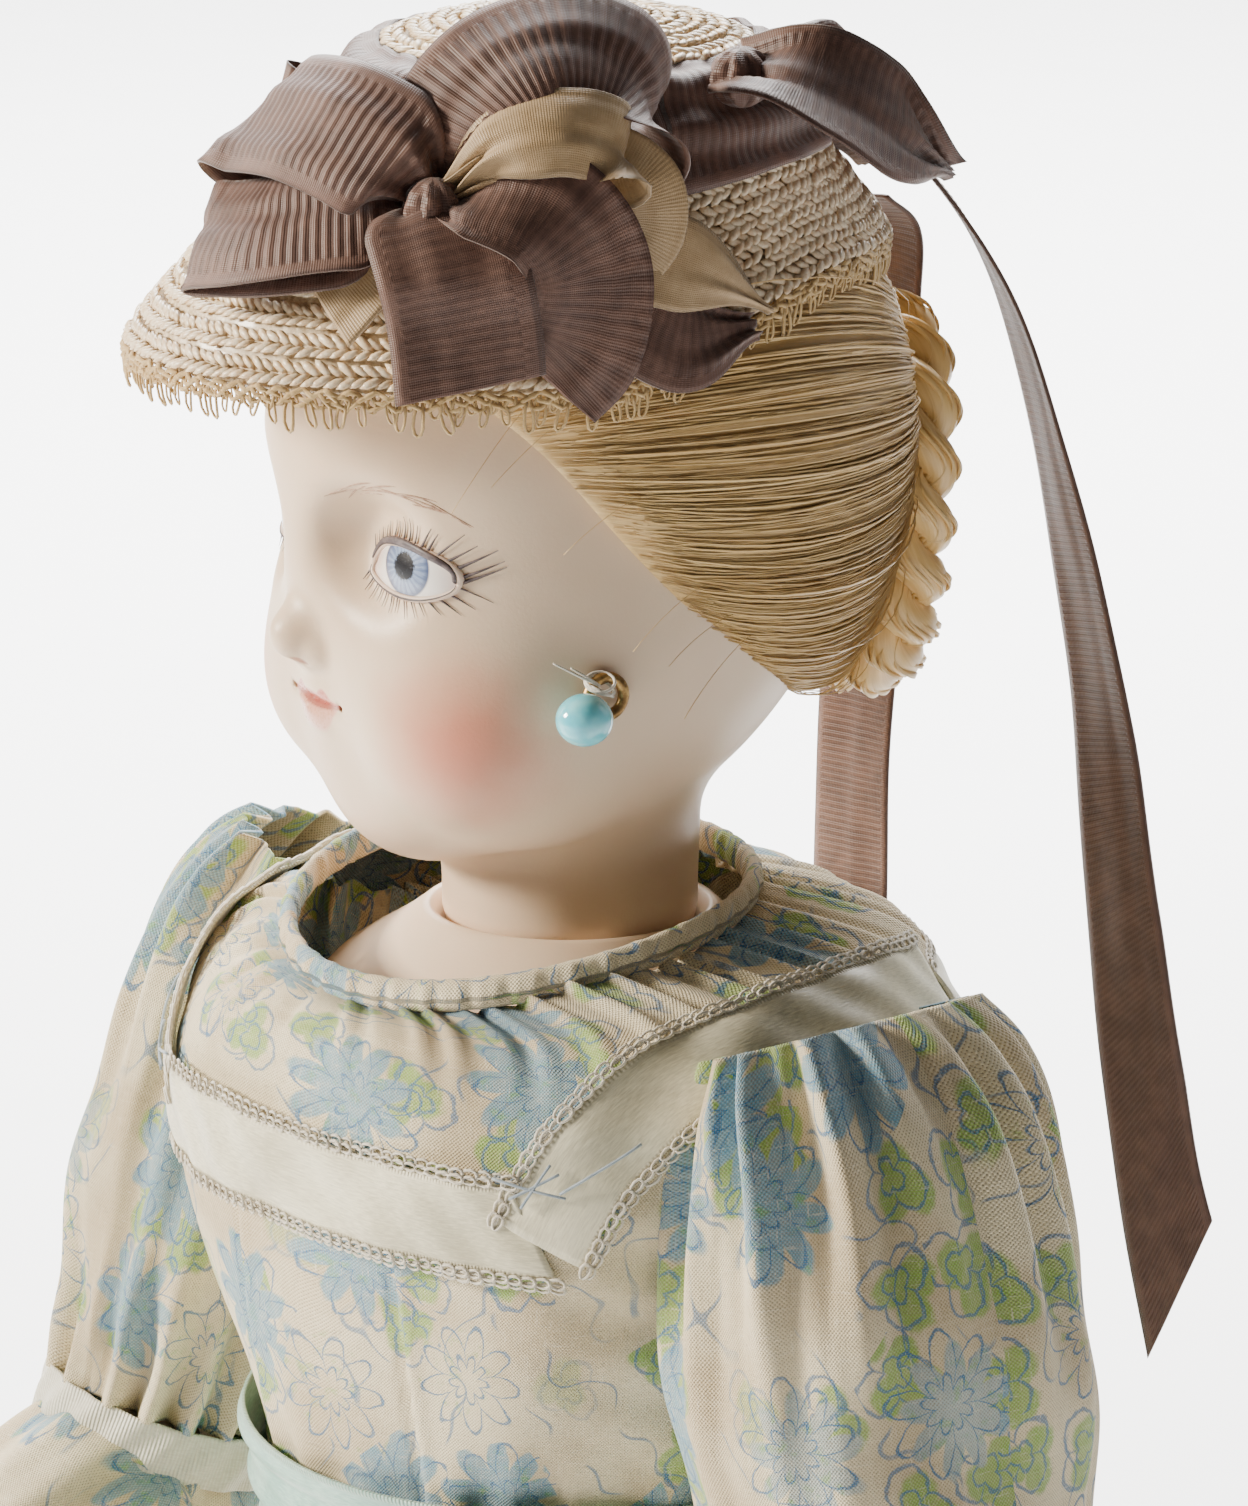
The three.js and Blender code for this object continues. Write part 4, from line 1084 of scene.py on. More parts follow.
def add_sheet(mesh: Mesh, surface: Array, uv: Array, thickness: float, away: Array | None = None) -> None:
    """Add an open piece of cloth with two faces and closed edges.

    Args:
        mesh: where it goes.
        surface: the outer face as rows x columns x 3.
        uv: its flat places in millimetres.
        thickness: how thick the cloth is.
        away: directions that the outer face looks towards, if not the grid's own normals.
    """
    normal = surface_normals(surface) if away is None else away
    under = surface - normal * thickness
    ring = np.concatenate([surface, under[:, ::-1]], axis=1)
    flat = np.concatenate([uv, uv[:, ::-1]], axis=1)
    rows, columns = surface.shape[:2]
    first = mesh.count
    mesh.grid(ring, flat)
    side = np.arange(rows - 1) * 2 * columns + first
    wall = np.stack([side + 2 * columns - 1, side, side + 2 * columns, side + 4 * columns - 1], -1)
    ends = []
    k = np.arange(columns - 1)
    for start, turned in ((first, False), (first + (rows - 1) * 2 * columns, True)):
        quad = np.stack([start + k, start + 2 * columns - 1 - k, start + 2 * columns - 2 - k,
                         start + k + 1], -1)
        ends.append(quad[:, ::-1] if turned else quad)
    closing = np.vstack([wall, *ends])
    mesh.faces.append(closing)
    mesh.uvs.append(flat.reshape(-1, 2)[closing - first])


def add_hoop(mesh: Mesh, surface: Array, uv: Array, thickness: float) -> None:
    """Add a piece of cloth that runs right round, with two faces and closed top and bottom edges."""
    normal = surface_normals(surface, around=True)
    if np.mean(normal[..., :2] * (surface[..., :2] - surface[..., :2].mean(axis=(0, 1)))) < 0:
        normal = -normal
    under = surface - normal * thickness
    mesh.grid(np.concatenate([surface, under[::-1]]), np.concatenate([uv, uv[::-1]]), across=True,
              along=True)


@dataclass
class Ribbon:
    """One run of ribbon: its middle line, the ways its width points along it and how it is gathered.

    Places are in the head's own frame where on_head is set.
    """

    name: str
    middle: tuple
    ways: tuple
    width: float = 15.0
    gather: tuple[float, float] = (1.0, 1.0)  # share of its width at its start and end
    reach: float = 0.35  # share of its length over which it opens out
    cup: float = 0.0  # how far its edges bend back, mm
    ribs: float = 0.05  # height of its woven ribs, mm
    pitch: float = 1.2
    selvage: float = 1.6
    slant: float = 0.0  # how far its end is cut on the slant, mm
    thickness: float = 0.35
    wrinkle: float = 0.5
    flip: bool = False
    on_head: bool = True
    seed: int = 1
    step: float = 0.3
    columns: int = 17

    def surface(self) -> tuple[Array, Array, Array]:
        """Lay the ribbon out.

        Returns:
            Its outer face, its flat places and its outward directions.
        """
        rough = path_through(self.middle, 60)
        long = length_of(rough)
        rows = max(int(long / self.step), 12)
        path = path_through(self.middle, rows)
        share = np.linspace(0, 1, rows)
        ways = path_through(self.ways, rows) if len(self.ways) > 1 else np.repeat(np.asarray(self.ways,
                float), rows, 0)
        along = unit(np.gradient(path, axis=0))
        across = unit(ways - (ways * along).sum(-1, keepdims=True) * along)
        out = np.cross(across, along) * (-1 if self.flip else 1)
        opened = self.gather[0] + (1 - self.gather[0]) * smooth(0, self.reach, share)
        opened *= self.gather[1] + (1 - self.gather[1]) * smooth(0, self.reach, 1 - share)
        draw = np.random.default_rng(self.seed)
        v = np.linspace(-1, 1, self.columns)
        pinch = (1 - opened)[:, None]
        phase = draw.uniform(0, 6.28, 4)
        fold = np.sin(v[None] * 7.5 + phase[0]) * 0.9 + 0.5 * np.sin(v[None] * 13 + phase[1])
        lie = self.wrinkle * (0.3 + 2.6 * pinch) * fold
        lie += self.wrinkle * 0.35 * np.sin(share[:, None] * long / 4.1 + v[None] * 2.2 + phase[2])
        lie += self.wrinkle * 0.25 * np.sin(share[:, None] * long / 7.3 - v[None] * 3.1 + phase[3])
        lie -= self.cup * v[None] ** 2
        half = self.width / 2
        inner = np.abs(v[None]) < 1 - self.selvage / half
        lie += np.where(inner, self.ribs * np.sin(share[:, None] * long * 2 * math.pi / self.pitch), 0)
        shift = self.slant * (v + 1) / 2 * np.clip((share - 0.5) * 2, 0, 1)[:, None]
        place = path[:, None] + across[:, None] * (v[None, :, None] * half * opened[:, None, None])
        place = place + out[:, None] * lie[..., None] + along[:, None] * shift[..., None]
        uv = np.stack(np.broadcast_arrays((v[None] + 1) * half, share[:, None] * long), -1)
        away = unit(np.broadcast_to(out[:, None], place.shape) + 0)
        if self.on_head:
            return in_head(place), uv, turn_head(away)
        return place, uv, away

    def add_to(self, mesh: Mesh) -> None:
        """Add the ribbon to a mesh."""
        surface, uv, away = self.surface()
        add_sheet(mesh, surface, uv, self.thickness, away)


@dataclass
class Scatter:
    """Repeats one small piece on marked points, turned to each point's own directions."""

    name: str
    seed: int = 1
    least: float = 0.85
    most: float = 1.15

    def tree(self, grain: Piece, material: Material) -> bpy.types.NodeTree:
        """Build the node tree.

        Args:
            grain: the piece to repeat, modelled round the origin with x along and z out.
            material: its finish.

        Returns:
            The tree with named inputs for its least and most size.
        """
        tree = bpy.data.node_groups.new(self.name, "GeometryNodeTree")
        face = tree.interface
        face.new_socket("Geometry", in_out="INPUT", socket_type="NodeSocketGeometry")
        face.new_socket("Least size", in_out="INPUT", socket_type="NodeSocketFloat")
        face.new_socket("Most size", in_out="INPUT", socket_type="NodeSocketFloat")
        face.new_socket("Geometry", in_out="OUTPUT", socket_type="NodeSocketGeometry")

        def add(kind: str, **settings: object) -> bpy.types.Node:
            """Add one node with its settings."""
            made = tree.nodes.new(kind)
            for key, value in settings.items():
                setattr(made, key, value)
            return made

        link = tree.links.new
        start, end = add("NodeGroupInput"), add("NodeGroupOutput")
        points = add("GeometryNodeMeshToPoints")
        info = add("GeometryNodeObjectInfo")
        info.inputs["Object"].default_value = grain
        turn = add("FunctionNodeAxesToRotation", primary_axis="Z", secondary_axis="X")
        for key, name in (("Primary Axis", "out"), ("Secondary Axis", "along")):
            read = add("GeometryNodeInputNamedAttribute", data_type="FLOAT_VECTOR")
            read.inputs["Name"].default_value = name
            link(read.outputs["Attribute"], turn.inputs[key])
        size = add("GeometryNodeInputNamedAttribute", data_type="FLOAT")
        size.inputs["Name"].default_value = "size"
        vary = add("FunctionNodeRandomValue", data_type="FLOAT")
        vary.inputs["Seed"].default_value = self.seed
        floats = [s for s in vary.inputs if s.type == "VALUE" and s.enabled]
        link(start.outputs["Least size"], floats[0])
        link(start.outputs["Most size"], floats[1])
        grow = add("ShaderNodeMath", operation="MULTIPLY")
        made = next(s for s in vary.outputs if s.type == "VALUE")
        link(made, grow.inputs[0])
        link(size.outputs["Attribute"], grow.inputs[1])
        place = add("GeometryNodeInstanceOnPoints")
        link(start.outputs["Geometry"], points.inputs["Mesh"])
        link(points.outputs["Points"], place.inputs["Points"])
        link(info.outputs["Geometry"], place.inputs["Instance"])
        link(turn.outputs["Rotation"], place.inputs["Rotation"])
        link(grow.outputs[0], place.inputs["Scale"])
        real = add("GeometryNodeRealizeInstances")
        paint = add("GeometryNodeSetMaterial")
        paint.inputs["Material"].default_value = material
        link(place.outputs["Instances"], real.inputs["Geometry"])
        link(real.outputs["Geometry"], paint.inputs["Geometry"])
        link(paint.outputs["Geometry"], end.inputs["Geometry"])
        return tree

    def make(self, grain: Mesh, places: Array, out: Array, along: Array, material: Material,
             size: Array | float = 1.0) -> Piece:
        """Repeat the grain over the places as one plain mesh.

        Args:
            grain: the small piece in millimetres.
            places: rows of points in millimetres.
            out: outward directions.
            along: directions along the row.
            material: its finish.
            size: one size, or one for each place.

        Returns:
            The finished object.
        """
        unit_piece = grain.build(f"{self.name}_unit")
        mend_normals(unit_piece)
        data = bpy.data.meshes.new(self.name)
        data.from_pydata((np.asarray(places) * MM).tolist(), [], [])
        for key, rows in (("out", out), ("along", along)):
            made = data.attributes.new(key, "FLOAT_VECTOR", "POINT")
            made.data.foreach_set("vector",
                                  np.broadcast_to(rows, np.shape(places)).astype(np.float32).ravel())
        made = data.attributes.new("size", "FLOAT", "POINT")
        made.data.foreach_set("value", np.broadcast_to(size, len(places)).astype(np.float32))
        piece = bpy.data.objects.new(self.name, data)
        bpy.context.scene.collection.objects.link(piece)
        tree = self.tree(unit_piece, material)
        modifier = piece.modifiers.new("repeat", "NODES")
        modifier.node_group = tree
        wanted = {"Least size": self.least, "Most size": self.most}
        for item in tree.interface.items_tree:
            if item.item_type == "SOCKET" and item.in_out == "INPUT" and item.name in wanted:
                modifier[item.identifier] = float(wanted[item.name])
        apply_modifiers(piece)
        bpy.data.objects.remove(unit_piece)
        piece.data.polygons.foreach_set("use_smooth", [True] * len(piece.data.polygons))
        return piece


def grain_shape(length: float, width: float, height: float, sides: int = 5, rings: int = 3) -> Mesh:
    """Model one plump little piece, pointed at both ends, along x with z outwards."""
    mesh = Mesh()
    t = np.linspace(-1, 1, rings + 2)[1:-1]
    path = np.column_stack([t * length / 2, np.zeros(rings), 0.25 * height * (1 - t**2)])
    radius = width / 2 * np.sqrt(1 - (t * 0.9) ** 2)
    angle = even_angles(sides)
    ring = (path[:, None] + np.stack(np.broadcast_arrays(0, np.cos(angle)[None] * radius[:, None],
            np.sin(angle)[None] * radius[:, None] * height / width), -1))
    mesh.grid(ring, across=True)
    mesh.cap(0, sides, True)
    mesh.cap((rings - 1) * sides, sides, False)
    mesh.points[-2] = np.array([[-length / 2, 0, 0]])
    mesh.points[-1] = np.array([[length / 2, 0, 0]])
    return mesh


def loop_shape(reach: float, width: float, wire: float, count: int = 9, sides: int = 4) -> Mesh:
    """Model one open thread loop that hangs down the x axis from the origin."""
    t = np.linspace(0, 1, count)
    path = np.column_stack([np.sin(t * math.pi) * reach,
                            np.cos(t * math.pi) * width / 2 * (0.4 + np.sin(t * math.pi)),
                            0.2 * np.sin(t * 9)])
    mesh = Mesh()
    add_tube(mesh, path, wire, sides)
    return mesh


# ---- woven and plaited finishes ----

@dataclass(frozen=True)
class RibbonFinish:
    """Woven ribbon with cross ribs and smooth edges, or plain satin where the ribs have no pitch."""

    name: str
    base: Colour
    light: Colour
    width: float = 15.0
    pitch: float = 1.2
    selvage: float = 1.6
    gloss: float = 0.42
    sheen: float = 0.3

    def material(self) -> Material:
        """Make the ribbon's material."""
        g = Graph(self.name, Sheen_Weight=self.sheen, Sheen_Roughness=0.4, Specular_IOR_Level=0.45)
        u, v, _ = g.parts(g.cloth())
        edge = u.least(self.width - u)
        thread = (v * (2 * math.pi / 0.26)).wave()
        warp = (u * (2 * math.pi / 0.22)).wave()
        worn = g.noise(g.place(), 0.35, 4.0, 0.6)
        fray = g.noise(g.vector(u * 4.0, v * 0.35), 1.0, 3.0, 0.6)
        share = worn.rise(0.3, 0.75) * 0.55 + fray * 0.25
        height = thread * 0.35 + warp * 0.25
        if self.pitch:
            ribs = (v * (2 * math.pi / self.pitch)).wave()
            body = edge.rise(self.selvage - 0.15, self.selvage + 0.15)
            # The ribs' term paints the rib crests lighter and their hollows darker, in step with the bump:
            # painted highlight and painted shade on the ribs. The smooth edges are made lighter.
            share = share + ribs * body * 0.16 + (1 - body) * 0.22
            height = height + ribs * body * 1.2
        share = share.most(0.0).least(1.0)
        colour = g.mix(share, self.base, self.light)
        dark = tuple(c * 0.55 for c in self.base)
        colour = g.mix(edge.rise(0.35, 0.05) * 0.5, colour, dark)
        return g.finish(colour, self.gloss + 0.18 * worn, height, 0.035)


@dataclass(frozen=True)
class StrawFinish:
    """Split straw: pale, silky lengths with some brown nodes and darker gaps."""

    name: str = "straw_strands"
    base: Colour = (0.78, 0.54, 0.31)
    dark: Colour = (0.48, 0.25, 0.09)

    def material(self) -> Material:
        """Make the straw's material."""
        g = Graph(self.name, Specular_IOR_Level=0.5, Coat_Weight=0.35, Coat_Roughness=0.22)
        place = g.place()
        patch = g.noise(place, 0.16, 3.0, 0.6)
        streak = g.noise(place, 1.6, 3.0, 0.7)
        colour = g.mix(streak.rise(0.3, 0.7), tuple(c * 0.86 for c in self.base), (0.86, 0.74, 0.54))
        colour = g.mix(patch.rise(0.56, 0.78) * 0.5, colour, self.dark)
        return g.finish(colour, 0.36 + 0.2 * streak, streak, 0.03)


@dataclass(frozen=True)
class ThreadFinish:
    """Spun thread: soft, matt and a little uneven in colour."""

    name: str
    base: Colour
    dark: Colour

    def material(self) -> Material:
        """Make the thread's material."""
        g = Graph(self.name, Sheen_Weight=0.35, Specular_IOR_Level=0.3)
        place = g.place()
        soft = g.noise(place, 0.5, 3.0)
        twist = g.noise(place, 5.0, 3.0, 0.7)
        return g.finish(g.mix((soft * 0.6 + twist * 0.4).rise(0.3, 0.7), self.dark, self.base), 0.8, twist,
                        0.04)


@dataclass(frozen=True)
class HairFinish:
    """Golden mohair: its colour runs in fine streaks along the strands."""

    name: str = "mohair_strands"
    base: Colour = (0.55, 0.32, 0.09)
    light: Colour = (0.86, 0.60, 0.25)
    dark: Colour = (0.30, 0.17, 0.05)

    def material(self) -> Material:
        """Make the hair's material."""
        g = Graph(self.name, Specular_IOR_Level=0.8, Sheen_Weight=0.1)
        u, v, _ = g.parts(g.cloth())
        streak = g.noise(g.vector(u * 2.6, v * 0.05), 1.0, 4.0, 0.7)
        broad = g.noise(g.vector(u * 0.45, v * 0.03), 1.0, 2.0)
        share = (streak * 0.6 + broad * 0.5).rise(0.32, 0.75)
        colour = g.mix(share, self.base, self.light)
        colour = g.mix(streak.rise(0.42, 0.2) * 0.7, colour, self.dark)
        return g.finish(colour, 0.30 + 0.15 * streak, streak, 0.12)


# ---- the hat ----

@dataclass
class Hat:
    """The braided straw hat, its thread edging, its bands, bows and streamers, in the head's own frame."""

    brim: float = 64.5  # height of the brim's edge over the neck's rim
    row: float = 2.9  # width of one row of plaited straw
    grain: float = 1.25  # spacing of the straws along a row
    levels: tuple = ((0, 33, 41.5, -7, 9), (3.5, 31.3, 39.5, -6.5, 8), (7.5, 30, 36.5, -5.5, 6.5),
                     (11.5, 28.8, 33.5, -4, 4.5), (16, 27.4, 30, -2.5, 2.5), (21.5, 25.8, 27, -1, 1),
                     (27.5, 22.5, 22.5, -0.5, 0.4), (31, 16.5, 16.5, 0, 0), (32.3, 8, 8, 0, 0),
                     (32.6, 0.6, 0.6, 0, 0), )

    def profile(self, count: int) -> Array:
        """Sample the crown's levels at an even spacing up its side.

        Args:
            count: how many levels.

        Returns:
            Rows of height, half-width, half-depth, middle and lift.
        """
        levels = np.asarray(self.levels, float)
        run = np.r_[0,
                    np.cumsum(np.hypot(np.diff(levels[:, 0]), np.diff((levels[:, 1] + levels[:, 2]) / 2)))]
        wanted = np.linspace(0, run[-1], count)
        fine = path_through(levels, 200)
        fine_run = np.r_[0,
                         np.cumsum(np.hypot(np.diff(fine[:, 0]), np.diff((fine[:, 1] + fine[:, 2]) / 2)))]
        return np.column_stack([np.interp(wanted, fine_run, fine[:, k]) for k in range(5)])

    def side_length(self) -> float:
        """Measure the way up the hat's side."""
        fine = self.profile(200)
        return float(np.hypot(np.diff(fine[:, 0]), np.diff((fine[:, 1] + fine[:, 2]) / 2)).sum())

    def surface(self, levels: Array, angles: Array, out: float = 0.0) -> Array:
        """Place points on the hat.

        Args:
            levels: rows of the profile.
            angles: places round it, from the left side over the back.
            out: distance over the straw.

        Returns:
            Rows x columns x 3 in the head's frame.
        """
        h, a, b, y, lift = (levels[:, k][:, None] for k in range(5))
        c, s = np.cos(angles)[None], np.sin(angles)[None]
        rise = lift * smooth(-0.15, 0.65, s)
        return np.stack(np.broadcast_arrays((a + out) * c, y + (b + out) * s, self.brim + h + rise
                                            + out * 0.4), -1)

    def build_straw(self) -> None:
        """Build the stepped plait rows and the straws laid in a chevron along each row."""
        angles = even_angles(260)
        length = self.side_length()
        count = int(length / 0.42)
        levels = self.profile(count)
        rows = np.linspace(0, length, count)
        step = (rows / self.row) % 1
        out = self.surface(levels, angles)
        normal = surface_normals(out, around=True)
        if normal[5, 0, 0] < 0:
            normal = -normal
        wave = 0.1 * np.sin(angles * 41 + rows[:, None] * 2)
        bulge = (0.55 * np.sin(step * math.pi) ** 0.6 - 0.35 * step)[:, None] + wave - 0.35
        face = out + normal * bulge[..., None]
        under = out - normal * 1.5
        base = Mesh()
        uv = np.stack(np.broadcast_arrays(angles[None] * 30, rows[:, None]), -1)
        base.grid(in_head(np.concatenate([face, under[::-1]])), np.concatenate([uv, uv[::-1]]), across=True,
                  along=False)
        first, last = 0, (2 * count - 1) * len(angles)
        k = np.arange(len(angles))
        j = (k + 1) % len(angles)
        base.faces.append(np.stack([last + k, last + j, first + j, first + k], -1))
        base.uvs.append(np.zeros((len(angles), 4, 2)))
        base.finish("straw_plait", StrawFinish("straw_ground", (0.60, 0.45, 0.27),
                (0.34, 0.2, 0.1)).material(), "head", "straw", ["straw_hat"])
        self.build_grains(length, StrawFinish().material())

    def build_grains(self, length: float, material: Material) -> None:
        """Lay the straws of every plait row."""
        draw = np.random.default_rng(5)
        places, outs, ways = [], [], []
        plaits = int(length / self.row)
        levels = self.profile(400)
        for row in range(plaits):
            for half, lean in ((0.28, 1), (0.72, -1)):
                at = (row + half) * self.row
                if 0.375 < at / length < 0.645:
                    continue  # the band covers these rows
                level = levels[min(int(at / length * 399), 399)][None]
                around = 2 * math.pi * (level[0, 1] + level[0, 2]) / 2
                count = max(int(around / self.grain), 5)
                angles = even_angles(count) + row * 0.37 + draw.normal(0, 0.08, count) / count
                near = levels[[max(int(at / length * 399) - 3, 0), min(int(at / length * 399) + 3, 399)]]
                p = self.surface(level, angles)[0]
                up = unit(self.surface(near[1:], angles)[0] - self.surface(near[:1], angles)[0])
                go = unit(self.surface(level, angles + 0.01)[0] - p)
                out = unit(np.cross(go, up))
                places.append(p + out * (0.22 + 0.12 * (half < 0.5)) + draw.normal(0, 0.06, p.shape))
                outs.append(unit(out + up * (0.18 * lean)))
                ways.append(unit(go * 0.86 + up * (0.52 * lean) + draw.normal(0, 0.07, p.shape)))
        piece = Scatter("plaited_straws", 3, 0.85, 1.2).make(grain_shape(2.6, 0.95, 0.55),
                in_head(np.vstack(places)), turn_head(np.vstack(outs)), turn_head(np.vstack(ways)),
                material)
        dress(piece, material, "head", "straw")

    def build_edging(self) -> None:
        """Build the thread edging: twisted headings with loops and picots hanging from them."""
        material = ThreadFinish("edging_thread", (0.66, 0.47, 0.23), (0.42, 0.27, 0.11)).material()
        heading = Mesh()
        angles = even_angles(360)
        rim = self.surface(self.profile(60)[:1], angles, 0.3)[0]
        for phase, drop, size in ((0, 0.4, 0.32), (2.1, 0.9, 0.28), (4.2, 1.6, 0.26)):
            wave = np.stack([np.cos(angles) * 0.3 * np.sin(angles * 120 + phase),
                             np.sin(angles) * 0.3 * np.sin(angles * 120 + phase),
                             0.35 * np.cos(angles * 90 + phase) - drop], -1)
            add_tube(heading, in_head(rim + wave), size, 5, closed=True)
        heading.finish("edging_heading", material, "head", "lace", ["picot_edging"])
        draw = np.random.default_rng(8)
        for name, count, reach, drop, spread in (("edging_picots", 120, 3.0, 1.0, 0.35),
                ("edging_web", 260, 1.9, 0.4, 0.9)):
            spots = even_angles(count) + draw.normal(0, 0.006, count)
            p = self.surface(self.profile(60)[:1], spots, 0.2)[0] - np.array([0, 0, drop])
            go = unit(self.surface(self.profile(60)[:1], spots + 0.01, 0.2)[0] - p - np.array([0, 0, drop]))
            out = unit(np.column_stack([np.cos(spots), np.sin(spots), np.zeros(count)]))
            down = unit(np.array([0, 0, -1.0]) + go * draw.normal(0, spread * 0.5, (count, 1))
                        + out * draw.normal(0, 0.16, (count, 1)))
            loop = loop_shape(reach, 1.1, 0.17)
            piece = Scatter(name, 4, 0.7, 1.25).make(loop, in_head(p), turn_head(out), turn_head(down),
                    material)
            dress(piece, material, "head", "lace")

    def build_band(self, finish: Material) -> None:
        """Wrap the wide brown band round the crown in soft lengthwise folds."""
        angles = even_angles(300)
        t = np.linspace(0, 1, 26)
        levels = self.profile(400)
        fine = levels[(np.interp(t, [0, 1], [0.36, 0.66]) * 399).astype(int)]
        face = self.surface(fine, angles, 1.15)
        normal = surface_normals(face, around=True)
        if normal[3, 0, 0] < 0:
            normal = -normal
        fold = (0.45 * np.sin(t[:, None] * 17 + np.sin(angles * 3) * 1.2)
                + 0.2 * np.sin(angles * 23 + t[:, None] * 9))
        face = face + normal * fold[..., None]
        uv = np.stack(np.broadcast_arrays(t[:, None] * 15, angles[None] * 27), -1)
        band = Mesh()
        add_hoop(band, in_head(face), uv, 0.35)
        piece = band.finish("crown_band", finish, "head", "brown_ribbon", ["hat_band"])

    def build_bows(self, brown: Material, tan: Material) -> None:
        """Tie the front bow and the bow at the back, with the satin ribbon caught in them."""
        knot = (24.2, -26.6, 83.0)
        loops = [Ribbon("front_bow_high", (knot, (23.7, -31.0, 88.2), (15.6, -36.0, 91.6),
                                           (4.0, -37.2, 90.6), (0.6, -35.4, 88.0), (4.5, -33.0, 87.2),
                                           (15.0, -31.5, 86.6), (22.8, -27.4, 82.6)),
                        ((0.23, 0.84, 0.49), (0.2, 0.74, 0.64), (0.27, 0.69, 0.67), (0.44, 0.58, 0.69),
                         (0.44, 0.58, 0.69), (0.4, 0.6, 0.69), (0.27, 0.69, 0.67), (0.23, 0.84, 0.49)),
                        gather=(0.3, 0.3), reach=0.15, cup=0.9, seed=4),
                 Ribbon("front_bow_low", (knot, (20.5, -35.2, 82.6), (13.5, -42.0, 80.4),
                                          (5.0, -44.2, 78.4), (3.6, -43.0, 76.6), (8.0, -40.5, 77.0),
                                          (15.0, -36.4, 78.4), (22.4, -28.0, 81.4)),
                        ((-0.34, 0.49, 0.8), (-0.47, 0.45, 0.76), (-0.55, 0.43, 0.7), (-0.7, 0.45, 0.55),
                         (-0.7, 0.45, 0.55), (-0.6, 0.45, 0.66), (-0.47, 0.45, 0.76), (-0.34, 0.49, 0.8)),
                        gather=(0.3, 0.35), reach=0.15, cup=0.7, seed=6, width=13.5),
                 Ribbon("front_bow_tail", (knot, (29.0, -28.4, 82.4), (33.0, -28.6, 77.6),
                                           (33.6, -27.6, 71.6), (34.2, -27.2, 65.0)),
                        ((0.56, 0.83, 0.03), (0.44, 0.9, -0.06), (0.37, 0.93, -0.07), (0.32, 0.94, -0.08)),
                        gather=(0.45, 1.0), reach=0.25, cup=-0.5, seed=9, slant=-1.6, width=15.5,
                        wrinkle=0.4),
                 Ribbon("front_bow_fall", (knot, (30.5, -23.5, 85.2), (35.2, -18.4, 83.0),
                                           (36.4, -15.2, 77.2), (36.0, -16.0, 70.0), (34.6, -19.0, 66.2)),
                        ((-0.09, 0.69, 0.72), (0.0, 0.75, 0.66), (0.15, 0.95, 0.3), (0.2, 0.98, 0.0),
                         (0.27, 0.95, -0.18)), gather=(0.35, 1.0), reach=0.22, cup=0.8, seed=12, width=13,
                        wrinkle=0.6),
                 Ribbon("front_bow_crown", (knot, (24.6, -25.6, 91.0), (25.8, -20.6, 97.4),
                                            (27.4, -13.0, 99.4), (28.6, -6.0, 96.2), (29.2, -4.4, 90.0),
                                            (28.6, -9.0, 87.0), (27.0, -18.0, 87.0), (25.0, -24.6, 84.6)),
                        ((0.7, 0.65, -0.29), (0.74, 0.43, -0.52), (0.72, 0.19, -0.67), (0.7, -0.1, -0.7),
                         (0.6, -0.4, -0.69), (0.5, -0.6, -0.61), (0.6, -0.4, -0.69), (0.7, 0.2, -0.67),
                         (0.7, 0.65, -0.29)), gather=(0.35, 0.35), reach=0.13, cup=0.6, seed=15, width=14),
                 Ribbon("front_bow_point", ((31.5, -14.5, 75.6), (34.6, -9.5, 72.2), (35.2, -3.1, 69.0),
                                            (33.9, 5.0, 69.4)), ((-0.33, 0.16, 0.93), (-0.26, 0.47, 0.84),
                (-0.36, 0.58, 0.73), (-0.37, 0.69, 0.63)), gather=(1.0, 0.25), reach=0.45, seed=18,
                        width=11.5, wrinkle=0.25)]
        self.tie(loops, brown, "brown_ribbon", "front_bow", "hung", 0.0155)
        self.tie([Ribbon("satin_loop_low", ((26.4, -26.2, 84.6), (30.2, -23.2, 89.8), (33.4, -17.2, 91.6),
                                            (34.6, -11.4, 90.2), (34.2, -10.2, 87.6), (33.0, -15.6, 87.0),
                                            (29.8, -22.0, 86.2), (26.6, -25.6, 84.0)),
                         ((0.72, 0.53, -0.45), (0.53, -0.05, -0.85), (0.42, -0.12, -0.9),
                          (0.38, 0.03, -0.93), (0.38, 0.03, -0.93), (0.42, -0.12, -0.9),
                          (0.53, -0.05, -0.85), (0.72, 0.53, -0.45)), gather=(0.4, 0.4), reach=0.3, seed=21,
                         width=9.5, ribs=0, cup=0.5),
                  Ribbon("satin_flap", ((29.2, -17.6, 88.4), (32.6, -12.6, 88.0), (35.0, -8.6, 85.4),
                                        (35.4, -8.2, 81.0), (34.8, -10.8, 77.0)),
                         ((0.2, 0.5, 0.84), (0.1, 0.8, 0.6), (0.06, 0.96, 0.25), (0.1, 0.97, 0.0),
                          (0.19, 0.95, -0.27)), gather=(0.7, 0.9), reach=0.3, seed=24, width=8.5, ribs=0,
                         wrinkle=0.2)], tan, "tan_satin", "tan_satin_loop", "hung", 0.0102)
        self.tie([Ribbon("satin_tail", ((24.0, -27.6, 81.6), (22.6, -32.4, 77.4), (21.6, -36.6, 72.9)),
                         ((0.76, 0.35, -0.55), (0.78, 0.33, -0.53), (0.78, 0.34, -0.53)), gather=(0.5, 1.0),
                         reach=0.5, seed=27, width=8.5, ribs=0, wrinkle=0.25, slant=2.0),
                  Ribbon("satin_point", ((33.8, -12.4, 78.2), (35.0, -6.3, 77.6), (34.9, 0.3, 75.0),
                                         (34.0, 6.6, 70.9)), ((-0.24, 0.46, 0.85), (-0.23, 0.54, 0.81),
                (-0.29, 0.61, 0.74), (-0.37, 0.69, 0.63)), gather=(1.0, 0.08), reach=0.62, seed=30,
                         width=10, ribs=0, wrinkle=0.15)], tan, "tan_satin", "tan_satin_tail", "laid",
                 0.0102)
